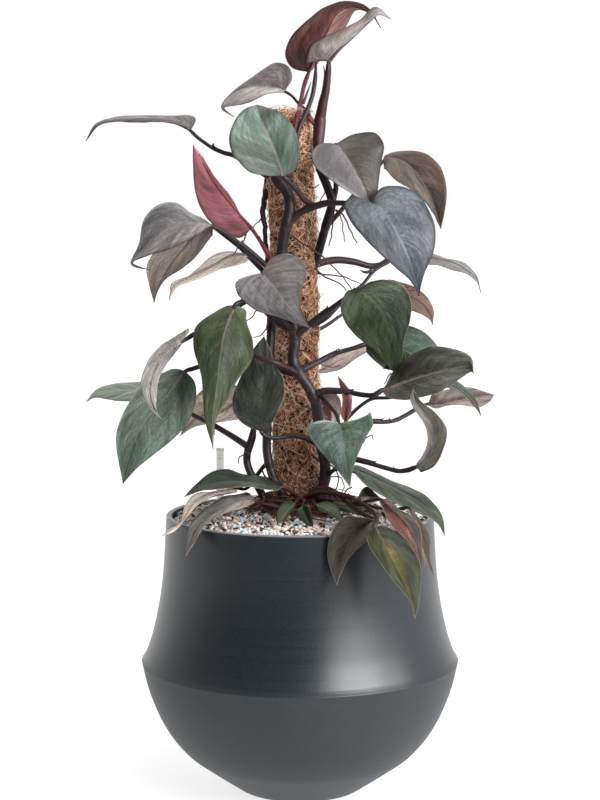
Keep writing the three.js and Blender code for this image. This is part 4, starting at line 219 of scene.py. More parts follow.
        "stalk": [[40.7, -92, 415.3], [37.7, -84, 423.9], [32.7, -74, 429.2], [27.6, -62, 434.4], [22.4, -50, 439.6]],
    },
    'leaf_26': {
        "r": 3.2,
        "mid": [[121.8, -70, 367], [127.9, -71, 369.5], [135.2, -73.5, 376.7], [139.7, -77.4, 387.6], [140.7, -83.9, 402.6], [135.8, -92.8, 417.1], [127.7, -103.6, 428.6], [119, -115.7, 440.4], [115.5, -128.7, 454.2]],
        "a": [[125.6, -84.7, 364.1], [127, -96.8, 364.9], [140.3, -102.2, 372.3], [149.5, -105.3, 388.3], [152.5, -107.5, 409], [140.7, -111.9, 426.1], [125.8, -119.1, 439.5]],
        "b": [[125, -55.6, 367.7], [131.6, -46.6, 374], [135.9, -48.4, 390.4], [133.1, -57.3, 407.2], [126.7, -72.4, 421], [118.8, -90.8, 430.7], [113.3, -110.2, 441.4]],
        "stalk": [[121.8, -70, 367], [114.7, -66, 362.2], [104.3, -62, 360.6], [91.7, -58, 363.3], [76.9, -54, 367.1], [62.1, -48, 370.6], [47.3, -42, 372], [30.2, -38, 373.6]],
    },
    'leaf_27': {
        "r": 3,
        "mid": [[141.6, 20, 423.1], [145.5, 20.5, 423.6], [152.5, 21.6, 424.7], [160.6, 23.3, 426.3], [171.6, 26.2, 428.6], [184.4, 29.9, 430.3], [196.8, 34.5, 431.8], [208.8, 41.3, 432.2], [217.9, 50.7, 431.3]],
        "a": [[143.6, 34.9, 423.8], [145.2, 47.5, 424.1], [150.2, 52.3, 434.2], [162.2, 53.5, 437.2], [175.5, 51, 438.9], [189.8, 47.4, 439.8], [205, 46.7, 436.7]],
        "b": [[144.2, 5.4, 423.1], [150.3, -6.1, 422.4], [162.8, -8.5, 425.7], [176.3, -3.8, 425.5], [188.9, 6.9, 423.4], [200.3, 20.8, 420.8], [211.6, 35.5, 425]],
        "stalk": [[141.6, 20, 423.1], [130.2, 14, 420.3], [118.8, 8, 414.3], [105.2, -0, 408.5], [91.8, -6, 407], [74, -14, 407.8], [54.2, -24, 402.4], [36.7, -32, 394.6]],
    },
    'leaf_28': {
        "r": 1.8,
        "mid": [[143.5, -40, 458.1], [146.6, -40.5, 457.4], [152.3, -41.6, 456.2], [158.8, -43.2, 454.1], [166.7, -45.6, 449.9], [174.7, -48.5, 443.9], [181.8, -51.3, 437], [187.9, -53.8, 428.2], [192.7, -55.8, 418.8]],
        "a": [[146.9, -29.1, 454.3], [149.9, -20.4, 451.2], [158.6, -18.6, 446.8], [167.9, -21.9, 443.5], [175.6, -29, 438.6], [181.8, -38.2, 433], [188.2, -47.7, 427]],
        "b": [[148.3, -28.9, 459.7], [153.2, -20.1, 459.4], [163, -18.5, 456], [172.2, -22, 450.9], [179.8, -29.3, 444.3], [187.1, -38.8, 438.5], [190.6, -48.1, 429.1]],
        "stalk": [[143.5, -40, 458.1], [130.9, -38, 447.1], [116, -36, 440.5], [96.8, -34, 436], [77.5, -34, 434.9], [62.4, -34, 425.2], [49.5, -34, 412.2]],
    },
    'leaf_29': {
        "r": 2,
        "mid": [[47.6, -70, 412.9], [48.1, -69.3, 415.5], [49.1, -67.5, 419.9], [49.8, -65.1, 424.9], [50.1, -61.9, 431.6], [49.4, -58.6, 439.3], [47.8, -55.6, 446.8], [44.5, -52.6, 454.2], [40.5, -49.7, 461]],
        "a": [[49.2, -75.1, 415.8], [51.3, -76.7, 419], [54.4, -73.7, 425.2], [54.9, -68.9, 432.6], [54.5, -63.4, 440.4], [51.8, -58.3, 448.2], [46.4, -53.7, 454.9]],
        "b": [[46.2, -74.7, 415.9], [44.5, -76, 419.1], [43.2, -72.9, 425.1], [44.1, -68.6, 431.8], [44.7, -63.7, 438.9], [43.8, -58.6, 446], [41.7, -53.8, 453.2]],
        "stalk": [[47.6, -70, 412.9], [46.7, -64, 402.6], [42.7, -54, 392.9], [36.5, -44, 383]],
    },
    'leaf_30': {
        "r": 2,
        "mid": [[20.2, 50, 456.2], [24.3, 50.6, 458.1], [31, 52, 461.4], [38.6, 54.1, 465.7], [48.8, 57.2, 470.9], [60.7, 61, 475.4], [72.2, 65.2, 479.8], [84.2, 70.8, 483.7], [95.4, 77.5, 487]],
        "a": [[20.9, 63.6, 456.7], [22, 75.3, 458.9], [27.9, 80.8, 467.9], [38.8, 82.6, 474], [51.7, 81.3, 478.9], [65.5, 78.2, 483.7], [80.6, 76.4, 486.4]],
        "b": [[23.7, 37, 457], [30.2, 27.4, 458.2], [42.1, 26.2, 461.9], [53.6, 30.4, 468], [64.7, 39.1, 474.3], [75.5, 50.6, 479.8], [86, 64, 483.5]],
        "stalk": [[20.2, 50, 456.2], [15.7, 46, 448.6], [11.2, 42, 437.7], [6.7, 40, 424.5]],
    },
    'leaf_31': {
        "r": 1.8,
        "mid": [[24.5, 30, 436.6], [26, 29.7, 435.2], [29.4, 29.1, 432.3], [32.1, 27.8, 427.9], [33.9, 25.3, 421.4], [35.2, 21.3, 414.3], [35.2, 16.4, 407.6], [34.2, 10.4, 401], [33, 3.9, 394.8]],
        "a": [[28, 22, 439.4], [31, 15.8, 439.9], [38.8, 14.9, 437.2], [44.4, 15.3, 430.3], [45.3, 14.9, 420.5], [43.7, 13.1, 410.3], [38.6, 9.2, 401.5]],
        "b": [[23, 37.6, 431.9], [22.7, 43.7, 430.4], [23, 43.3, 422.8], [23.8, 38.4, 416], [25.1, 30.7, 410.2], [27.8, 22.1, 404.9], [30.4, 12.8, 399.9]],
        "stalk": [[24.5, 30, 436.6], [20, 28, 441.2], [13.3, 26, 443.6], [4.4, 26, 441.4]],
    },
    'leaf_32': {
        "r": 2.8,
        "mid": [[-19.3, -52, 343], [-26, -52.5, 343], [-35.9, -53.7, 343.8], [-47.3, -55.3, 346.1], [-62.1, -57.5, 348.7], [-78.5, -59.7, 349], [-93.9, -61.3, 347], [-109.6, -62.4, 341.8], [-123.5, -63.1, 332.8]],
        "a": [[-23.1, -37.5, 343.5], [-30.4, -26.9, 347.1], [-45.5, -25, 351.2], [-62.2, -28.8, 353.2], [-78.4, -37.5, 358.4], [-95.9, -47.6, 356.9], [-111.1, -56.4, 346.5]],
        "b": [[-20.7, -66.6, 343.7], [-25.1, -78.7, 341.7], [-38.8, -84.2, 343.4], [-54.5, -85.4, 347.8], [-72.2, -82.5, 346.1], [-89.7, -76.5, 342], [-107.4, -69.3, 339.3]],
        "stalk": [[-19.3, -52, 343], [-13.9, -48, 339.2], [-7.5, -42, 334], [-1.1, -34, 326.2]],
    },
    'leaf_33': {
        "r": 2.2,
        "mid": [[-66.7, -44, 338.6], [-73.3, -45.6, 337.5], [-82.7, -49.1, 336.1], [-93.2, -54.2, 334.9], [-105.7, -61, 330.8], [-116, -68.6, 320.9], [-123.5, -76.8, 309.4], [-134.1, -87, 301.2], [-144.5, -99.1, 297.1]],
        "a": [[-67.4, -57.1, 339.1], [-68.3, -68.4, 339.2], [-79.2, -75.8, 337.9], [-93, -81.8, 336.3], [-107.8, -85.4, 329.2], [-118.3, -87.6, 315.4], [-129.3, -91.6, 301.5]],
        "b": [[-73.5, -31.8, 337.9], [-83.1, -25.3, 335.8], [-98.2, -28.5, 333.7], [-113.2, -37.2, 331.2], [-123.7, -49.6, 320.6], [-127.7, -64.1, 307.1], [-137.1, -81.2, 301.6]],
        "stalk": [[-66.7, -44, 338.6], [-59.6, -30, 336.6], [-52.5, -12, 339.5], [-46, -8, 349.9], [-39.2, -16, 359.8], [-32.5, -26, 365.5]],
    },
    'leaf_34': {
        "r": 2.6,
        "mid": [[-47.7, -74, 331.3], [-54.5, -75.8, 331.7], [-64.1, -79.7, 331.5], [-74.3, -85.3, 328.7], [-86.3, -92.6, 322.7], [-98.1, -100.9, 314.4], [-107.2, -109.6, 304.6], [-113.2, -119.9, 292.5], [-117.3, -132, 282]],
        "a": [[-55.1, -62.6, 336.5], [-65.9, -56.7, 335.1], [-81.7, -60.9, 334.1], [-94.9, -69.6, 324.8], [-107.3, -83.1, 316.5], [-116.6, -98.7, 306.1], [-117.2, -115.1, 293.2]],
        "b": [[-47.9, -87, 330.9], [-48.2, -98.3, 330.8], [-58.4, -106.2, 328.6], [-71.8, -112.7, 326.9], [-86, -117, 319.6], [-99.2, -120.1, 309], [-109.5, -124.5, 295.2]],
        "stalk": [[-47.8, -70, 330.7], [-40.5, -64, 326.5], [-29.9, -56, 322], [-17.2, -48, 318.6], [-6.5, -38, 317]],
    },
    'leaf_35': {
        "r": 2.8,
        "mid": [[53.8, -40, 359.8], [61.6, -40.6, 357.3], [72.7, -41.8, 353.2], [85.5, -43.5, 347.6], [101.5, -45.7, 339.8], [118.8, -48, 331], [134.5, -49.7, 320.2], [148.3, -49.9, 306.2], [155.9, -48.7, 288.3]],
        "a": [[55.2, -55.5, 360.3], [60.4, -67.5, 357.5], [72.5, -71.3, 345.3], [88.1, -71.5, 333.5], [107, -68.8, 324], [126.9, -63.8, 316.2], [144.8, -56.6, 304.9]],
        "b": [[57.9, -24.9, 360.7], [66.4, -14.4, 358.3], [83.3, -13.2, 352], [101.5, -16.6, 343.9], [120.3, -24.8, 336], [138.9, -35.2, 327.2], [153.4, -43.8, 310.7]],
        "stalk": [[53.8, -40, 359.8], [45.2, -42, 361.1], [36.4, -48, 359.8], [28, -40, 350], [19.5, -34, 338.3], [13, -30, 326.7]],
    },
    'leaf_36': {
        "r": 2.8,
        "mid": [[76.8, -138, 320.4], [72.4, -138.1, 318.1], [65.7, -138.5, 314], [58.5, -139.4, 308.4], [51.1, -141.6, 299.2], [45.6, -145.7, 287.7], [41.2, -151.7, 276.6], [38.2, -160.7, 266.4], [37.3, -172.4, 259.8]],
        "a": [[69.2, -150.2, 324.5], [59, -158.1, 326.4], [45.9, -157.1, 327.3], [35.5, -154.9, 317.6], [29.7, -153.9, 302.5], [28.3, -155.7, 285.8], [31.9, -162, 270.7]],
        "b": [[75.9, -150.5, 318.8], [75.2, -160.9, 318.9], [70.6, -164.6, 309.9], [64.1, -165.7, 301], [56.1, -164.5, 292.2], [47.5, -163.3, 282.6], [40.7, -165.6, 270.5]],
        "stalk": [[76.9, -136, 320.1], [70.2, -122, 320.9], [60.4, -106, 324.6], [50.4, -90, 330.5], [40.2, -74, 337.7], [29.9, -60, 341], [19.3, -48, 339.2], [10.8, -40, 333.7]],
    },
    'leaf_37': {
        "r": 2.8,
        "mid": [[75.4, -172, 319.9], [78.2, -172.9, 314.8], [82.6, -175.1, 306.7], [87.5, -177.9, 297.3], [94.1, -181.3, 285.1], [100.9, -184.3, 271.8], [106.8, -186.3, 258.5], [111.2, -187.2, 243.4], [115.1, -187.2, 228.3]],
        "a": [[67.6, -183.5, 314.9], [66.3, -195.2, 313.9], [69.6, -201.4, 301.2], [78.8, -205.4, 288.7], [89.9, -205.4, 274.7], [101.5, -201.3, 260.4], [110, -194.5, 244.5]],
        "b": [[83.6, -159, 317.4], [92.7, -150.9, 313.3], [104.5, -153.3, 304.8], [113.7, -161.3, 294.3], [120.7, -171.6, 281.3], [121.5, -179.7, 264.2], [119.4, -184.9, 245.9]],
        "stalk": [[75.4, -172, 319.9], [77.9, -160, 324], [75.6, -142, 328.3], [68.1, -122, 332.4], [56.3, -102, 336.6], [40.1, -82, 338.9], [21.3, -62, 338], [6.5, -44, 329.9]],
    },
    'leaf_38': {
        "r": 2.4,
        "mid": [[82.4, -124, 338.9], [86.2, -124.8, 335.2], [91.8, -126.7, 329.8], [98.8, -129.1, 323.9], [107.1, -132.2, 315.7], [114.1, -135, 305.1], [119.5, -137.1, 293.9], [122.4, -138.9, 280.9], [124, -140.6, 268]],
        "a": [[88.8, -113.5, 338.4], [94.6, -106.3, 334.4], [104.5, -106.6, 326.8], [115.4, -111.7, 320.2], [123.1, -119.1, 309.5], [125.8, -126.7, 296], [126.2, -134.2, 281.8]],
        "b": [[82.1, -135.3, 339], [82.7, -144.8, 335.5], [87.4, -149.1, 325.7], [95.1, -151.4, 315.8], [104.5, -150.9, 305.6], [113.1, -148, 294.3], [119.6, -143.9, 281.4]],
        "stalk": [[82.4, -124, 338.9], [75, -104, 335.9], [67.2, -90, 331.6], [55, -76, 328.4], [40.5, -62, 327.3], [23.6, -48, 327.3], [8.6, -38, 323.6]],
    },
    'leaf_39': {
        "r": 2.2,
        "mid": [[113.7, -86, 324.6], [115.7, -86.7, 320.7], [118.7, -88.4, 314.6], [122.2, -90.7, 307.5], [125.4, -93.6, 297.9], [128, -96.7, 287.1], [130.9, -99.9, 276.9], [135, -103.9, 266.7], [139.8, -108.4, 257.5]],
        "a": [[117.3, -76.5, 321], [122.1, -70.7, 316.6], [129.3, -71.9, 308.7], [134.7, -76.5, 299.1], [137.4, -83.3, 288.5], [136.9, -90.9, 277.4], [137.8, -99.7, 267]],
        "b": [[112.8, -95.8, 324.5], [111.6, -104, 321.5], [113.3, -108.1, 312.4], [117.3, -110.8, 302.4], [122.3, -111, 291.3], [126.6, -109.4, 279.3], [131.6, -108.2, 267.1]],
        "stalk": [[114, -80, 323.7], [103.9, -72, 321.3], [91.5, -66, 320.4], [79.1, -58, 321.3], [62.2, -50, 323.3], [43, -44, 324.5], [23.8, -36, 321.1]],
    },
    'shoot_a': {
        "r": 1.3,
        "mid": [[-5.2, -94, 331.2], [-5.8, -94.7, 330.6], [-7.2, -96.5, 329.2], [-9, -98.9, 327.3], [-11.7, -102.3, 324.6], [-14.9, -105.9, 321.3], [-17.8, -109.5, 318.2], [-20.8, -113.4, 315.2], [-23.8, -117.3, 312.8]],
        "a": [[-8.8, -90.6, 332], [-12.6, -90.3, 332.7], [-16.3, -94, 332], [-19.5, -98.8, 330.2], [-22.4, -103.7, 326.4], [-24.4, -108, 321.6], [-24.7, -112.6, 316.6]],
        "b": [[-5.5, -90.2, 328], [-6, -88.5, 324.9], [-8.2, -90.9, 321.6], [-10.9, -94.9, 319.2], [-13.3, -100.2, 316.7], [-16.3, -106, 314.7], [-19.9, -111.8, 313.4]],
        "stalk": [[-5.2, -94, 331.2], [-2.1, -80, 333.3], [0, -62, 330.5], [2.2, -44, 323.4]],
    },
    'shoot_b': {
        "r": 1.3,
        "mid": [[3.1, -106, 330.9], [3.4, -105.9, 330], [4.1, -105.7, 328], [4.9, -105.4, 325.5], [6, -104.9, 321.8], [7.4, -104.4, 317.7], [9.2, -103.9, 313.9], [11.4, -103.4, 309.9], [13.6, -102.9, 306.2]],
        "a": [[0.6, -109.5, 329.3], [-1.4, -111.9, 327.7], [-2.1, -111.4, 323.7], [-0.8, -110, 319.5], [1.4, -108, 315.2], [4.9, -106, 311.5], [9.2, -104.3, 308.5]],
        "b": [[6, -109.6, 331.2], [8.1, -112.4, 331], [10.4, -112.5, 328], [11.7, -111.4, 324.3], [12.3, -109.4, 320], [13.1, -107, 315.6], [13.6, -104.7, 310.8]],
        "stalk": [[3.1, -106, 330.9], [4.2, -88, 332.4], [5.3, -66, 330.1], [5.4, -46, 322.6]],
    },
    'shoot_c': {
        "r": 1.4,
        "mid": [[16.7, -96, 329.4], [18.4, -96.3, 328.7], [21.5, -97, 327.5], [25.1, -98, 326], [29.6, -99.3, 323.6], [34.2, -100.8, 320.5], [38.3, -102.3, 316.9], [42.3, -104, 312.8], [45.9, -105.9, 308.8]],
        "a": [[17.9, -102.1, 327.3], [19, -107.3, 326.7], [23, -110, 325], [27.7, -111.1, 323.2], [32.8, -110.5, 320.8], [37.4, -108.7, 317.4], [41.8, -106.9, 313.1]],
        "b": [[20.4, -90.8, 330.6], [24.1, -87.5, 331.4], [29.8, -88.3, 331.6], [35.2, -91.4, 330.5], [39.6, -95.2, 326.5], [42.5, -98.9, 320.9], [44.4, -102.5, 314.7]],
        "stalk": [[16.7, -96, 329.4], [14.8, -82, 330.4], [12.8, -66, 330.1], [9.7, -46, 324.8]],
    },
    'shoot_d': {
        "r": 1.3,
        "mid": [[31.8, -72, 327.8], [33.3, -72.3, 327.1], [36.2, -73.1, 325.9], [39.7, -74.2, 324.7], [44.3, -75.8, 323.9], [49.5, -77.8, 322.6], [54.2, -79.8, 320.8], [58.9, -82.2, 318.8], [63.2, -84.8, 317]],
        "a": [[33.1, -77.3, 326.1], [34, -81.6, 325.2], [37.2, -83.5, 322.5], [41.7, -84.7, 321.5], [46.9, -84.9, 320.7], [52.3, -84.4, 319.6], [57.8, -84.2, 317.7]],
        "b": [[34.9, -67.5, 327.9], [37.7, -64.6, 328.3], [42.6, -65.4, 328.9], [47.5, -68.2, 328.6], [52.3, -72.2, 327.2], [56.7, -76.6, 324.7], [60.5, -80.9, 321.2]],
        "stalk": [[31.8, -72, 327.8], [26.6, -62, 328.4], [20.4, -52, 327.9], [12.9, -40, 323.9]],
    },
    'leaf_40': {
        "r": 1.3,
        "mid": [[61.9, -60, 330.2], [62.7, -59.7, 330.6], [64.7, -59, 331.6], [67.4, -57.9, 332.7], [71.1, -56, 333.6], [75.6, -53.6, 333.4], [79.7, -50.6, 331.7], [84.1, -47.2, 329.6], [88.2, -43.6, 327.7]],
        "a": [[64.1, -65.6, 330.5], [65.3, -70.1, 330.9], [69.5, -70.4, 330.7], [73.2, -67.3, 330.2], [76.8, -62.3, 329.4], [80.6, -56.3, 328.7], [84.4, -49.7, 328.2]],
        "b": [[63.1, -53.7, 332.8], [64, -48.4, 334], [66.5, -46.4, 337.8], [70.2, -47.1, 341.3], [75.5, -47.6, 341.2], [78.9, -46.9, 336.3], [83.5, -45.5, 331.6]],
        "stalk": [[61.9, -60, 330.2], [53.5, -54, 328.2], [43, -48, 325.1], [30.2, -40, 320.6]],
    },
    'leaf_41': {
        "r": 2.6,
        "mid": [[-21.9, 70, 683.4], [-23.1, 70, 687.3], [-25.5, 70.2, 694.9], [-29, 70.9, 704.1], [-34.4, 73.6, 716.3], [-40.3, 79.6, 728.1], [-43.6, 89.7, 737.3], [-45.5, 103.8, 743.6], [-47.1, 119, 749.5]],
        "a": [[-33, 84.6, 685.5], [-44.9, 93.8, 685.2], [-57.7, 90.7, 690.4], [-66.4, 83.4, 700.6], [-71.4, 81.2, 718.4], [-64.8, 87.7, 735.8], [-54.8, 101.8, 746.1]],
        "b": [[-14.2, 83.7, 687.7], [-12.6, 95.8, 688.9], [-7.7, 97.3, 701.1], [-9.8, 93.5, 714.2], [-13.9, 89.2, 728.9], [-25.5, 92.5, 741.2], [-38.1, 103.8, 747]],
        "stalk": [[-21.9, 70, 683.4], [-17.9, 62, 673.6], [-8.9, 54, 664.5], [-2.2, 46, 655.6], [1.1, 40, 644.4]],
    },
    'leaf_42': {
        "r": 2.6,
        "mid": [[88.6, 78, 636.6], [91.8, 78.8, 634.7], [97.8, 80.7, 630.4], [104.3, 83.9, 622.1], [111.5, 89.3, 609.9], [118.6, 96.2, 596.6], [124.4, 104.1, 583.3], [129.4, 114, 568.3], [133.5, 124.5, 554.4]],
        "a": [[95.4, 91.4, 650], [108.3, 102.5, 653.7], [125, 104.7, 649.2], [137.9, 103.2, 635.4], [146.4, 102.8, 615.5], [144.8, 106.6, 593.2], [136.8, 114.6, 574]],
        "b": [[74.7, 84.3, 643.4], [64.5, 93.6, 637], [68.9, 102.7, 624.6], [78.7, 109.9, 612.8], [91.5, 113.7, 598.7], [105.9, 115.9, 584.3], [122.3, 119.5, 571.2]],
        "stalk": [[88.6, 78, 636.6], [96.6, 70, 622.5], [101.7, 58, 604.7], [101.2, 46, 589.3], [90.9, 38, 578.3], [77.4, 33, 576.2], [60.6, 27, 580.7], [43.9, 21, 583], [30.7, 14, 582.1], [18.5, 6, 578.9]],
    },
    'leaf_43': {
        "r": 2.6,
        "mid": [[70.1, 96, 540.4], [75, 96.2, 538.5], [82.2, 96.8, 534.3], [89.5, 97.9, 526.9], [96.8, 101, 515], [102.1, 108.1, 501], [105.9, 118.1, 487.2], [107.8, 130, 474], [106.7, 142.9, 461.8]],
        "a": [[79.2, 111.1, 546.4], [89.6, 121.5, 550.2], [105.5, 121, 548.9], [118.3, 118.6, 537.3], [121.2, 120.7, 518.4], [117.5, 126.2, 499.2], [113.4, 133.7, 479.5]],
        "b": [[63.9, 109.3, 541.2], [57.3, 116.5, 533.1], [57.1, 112.4, 519.4], [62.8, 106, 506.7], [74.8, 107.1, 494.3], [88.2, 115.4, 484], [98.7, 128.2, 472.2]],
        "stalk": [[70.1, 96, 540.4], [59.3, 90, 538.7], [47.6, 80, 534.5], [36.1, 68, 528.2], [20.2, 54, 517.7], [7.8, 40, 507.2]],
    },
    'leaf_44': {
        "r": 2.6,
        "mid": [[-75.7, 70, 521.3], [-79.3, 70.4, 512.5], [-84.3, 71.2, 499.8], [-88.1, 72.2, 484.3], [-90.7, 75.4, 464.1], [-93.9, 82.5, 441.1], [-97.5, 91.4, 419.4], [-99.7, 103.1, 398.2], [-99.5, 116.3, 378.4]],
        "a": [[-69.5, 86.7, 518.7], [-66.6, 98.8, 510.8], [-60.5, 98.8, 491.7], [-60.2, 97.6, 469.4], [-73.6, 101.2, 449.9], [-84.7, 104.6, 426.8], [-97.2, 109.4, 403.8]],
        "b": [[-83.1, 88.1, 521.4], [-93.3, 100.1, 515], [-111.1, 99.5, 503.4], [-116.3, 98.8, 480.6], [-111.8, 101.5, 456.3], [-108.7, 104.3, 430.2], [-104.9, 109, 403.6]],
        "stalk": [[-75.7, 70, 521.3], [-67.5, 64, 530.7], [-53.8, 58, 537.7], [-38, 52, 537.9], [-22.3, 44, 531.5], [-4.4, 38, 522.9]],
    },
    'leaf_45': {
        "r": 2.6,
        "mid": [[-139.3, 96, 444.3], [-144.3, 95.8, 438.3], [-151.4, 95.2, 428.6], [-160.2, 94.7, 417.4], [-172.6, 94.9, 403.9], [-182.9, 98, 386.4], [-190.7, 104.7, 369.3], [-196.2, 115.4, 352], [-200.2, 127.6, 335.3]],
        "a": [[-132.7, 110.1, 436.8], [-130.1, 118.5, 425.1], [-132.5, 115, 407.6], [-140.7, 106.6, 391.9], [-155, 102, 376.9], [-171.9, 104.9, 363.1], [-188.3, 114.7, 350.4]],
        "b": [[-149, 111.3, 445.4], [-156.7, 122.7, 443.7], [-171.6, 123.3, 433.4], [-187.7, 118.1, 422.7], [-198.6, 113.3, 403.4], [-204.3, 112.8, 380.3], [-203, 118.4, 356.9]],
        "stalk": [[-139.3, 96, 444.3], [-130.3, 88, 455.4], [-120.5, 78, 459.6], [-107.5, 68, 462.7], [-90.1, 60, 465.5], [-67.4, 54, 463.7], [-42.6, 48, 461.9], [-20.1, 42, 457.9], [-2.2, 38, 451.5]],
    },
    'leaf_46': {
        "r": 2.6,
        "mid": [[-39.1, 104, 562.4], [-36.9, 106.1, 559.8], [-33.2, 111.2, 555.3], [-29.2, 118.6, 550], [-24.4, 128.7, 543], [-18.7, 140.3, 534.9], [-12.4, 152.2, 527.5], [-5.4, 164.6, 519.9], [1.7, 176.5, 512.2]],
        "a": [[-30.8, 103.9, 575.2], [-18.9, 108.8, 579.3], [-9.3, 118.8, 576.3], [-1.6, 130.1, 567.6], [-2.7, 143.3, 556.2], [-6.7, 155.9, 543.5], [-5.5, 167, 527.3]],
        "b": [[-53.2, 106.2, 559.7], [-61.4, 113.4, 554.5], [-61.3, 123.7, 545.3], [-54.6, 134.5, 536.6], [-43.1, 145.3, 528.4], [-28.5, 155.8, 523.3], [-13.1, 166.3, 517.3]],
        "stalk": [[-39.1, 104, 562.4], [-36.5, 96, 554.4], [-27.3, 84, 545.7], [-15.8, 68, 537.3], [-4.5, 52, 528.9], [2.2, 40, 520.6]],
    },
    'leaf_47': {
        "r": 2.6,
        "mid": [[-45.9, 92, 396], [-44.9, 92.7, 401.2], [-43.5, 94.3, 409.6], [-42.2, 96.6, 419.4], [-41.5, 100.7, 432.5], [-40.7, 107, 446.5], [-41.3, 116.2, 459.2], [-42.3, 128.2, 470.1], [-43.2, 142.1, 477.8]],
        "a": [[-53.8, 104.4, 396.6], [-61.6, 112.8, 400.6], [-69.8, 111.9, 411.2], [-70.6, 109.5, 425.7], [-64.9, 110.7, 440.9], [-57.5, 117, 455.7], [-50.8, 128, 469.5]],
        "b": [[-39.9, 105.7, 395.8], [-38.5, 117.7, 395.6], [-31.8, 122.3, 406.6], [-26.6, 122.7, 420.4], [-22.2, 121.5, 436.4], [-30.8, 124.5, 450.4], [-37.4, 131.6, 465.4]],
        "stalk": [[-45.9, 92, 396], [-43.5, 86, 394.7], [-36.5, 78, 391], [-27.2, 66, 387.7], [-15.8, 54, 384.6], [-2.2, 40, 381.7]],
    },
}
STEMS = {
    'stem_main': (6, [[-30.9, -30, 679.5], [-24.4, -36, 668.7], [-15.9, -42, 659.1], [-11.6, -44, 650.7], [-10.6, -44, 639.1], [-13.8, -44, 624.3], [-18.1, -42, 605.3], [-20.2, -40, 582], [-20.2, -40, 557.5], [-14.9, -42, 536.3], [-7.5, -43, 518.2], [-5.3, -44, 498], [-7.5, -45, 477.8], [-1.1, -47, 464], [8.5, -47, 450.1], [16, -46, 435], [19.3, -44, 415.4], [22.5, -42, 391.4], [26.9, -40, 367.4], [25.9, -38, 345.4], [19.4, -36, 327.6], [16.2, -34, 309.8]]),
    'stem_right': (4.6, [[22.4, -18, 745.6], [21.4, -17, 732.9], [20.3, -17, 719.2], [19.2, -20, 701], [21.4, -22, 681.9], [28.9, -24, 662.7], [34.2, -24, 645.7], [30, -22, 628.7], [24.7, -18, 609.4], [19.5, -10, 590], [13.1, 8, 570.2], [6.6, 26, 549.9], [2.2, 35, 525.3], [1.1, 37, 488.5], [2.2, 38, 449.3], [3.4, 38, 410.1], [4.5, 38, 370.7], [4.5, 37, 331.3], [4.5, 36, 303.1]]),
    'stem_left': (4.8, [[-34.5, -14, 591.2], [-33.4, -17, 577.2], [-33.4, -20, 562.3], [-31.2, -24, 528], [-31.2, -27, 503.4], [-33.4, -28, 476.5], [-35.6, -29, 449.6], [-35.6, -30, 422.6], [-35.6, -31, 398.8], [-35.6, -32, 377.2], [-30.3, -32, 353.2], [-22.7, -31, 337.8], [-16.3, -30, 322.4], [-13, -29, 306.8]]),
    'stem_low_left': (4.2, [[-50.2, -10, 404.1], [-52.3, -12, 390.1], [-56.7, -14, 377.1], [-57.8, -14, 364], [-53.4, -16, 351], [-45.8, -16, 336.7], [-38.2, -16, 322.4], [-32.8, -16, 306.9]]),
}
POLE = [[-15.6, 0, 741.4], [-13.5, 0, 712.6], [-9.7, 0, 653.6], [-7.1, 0, 583.4], [-5.5, 0, 518.2], [-4.4, 0, 452.5], [-3.3, 0, 386.5], [-2.8, 0, 331.1], [-2.2, 0, 262]]
POLE_R = 26.0
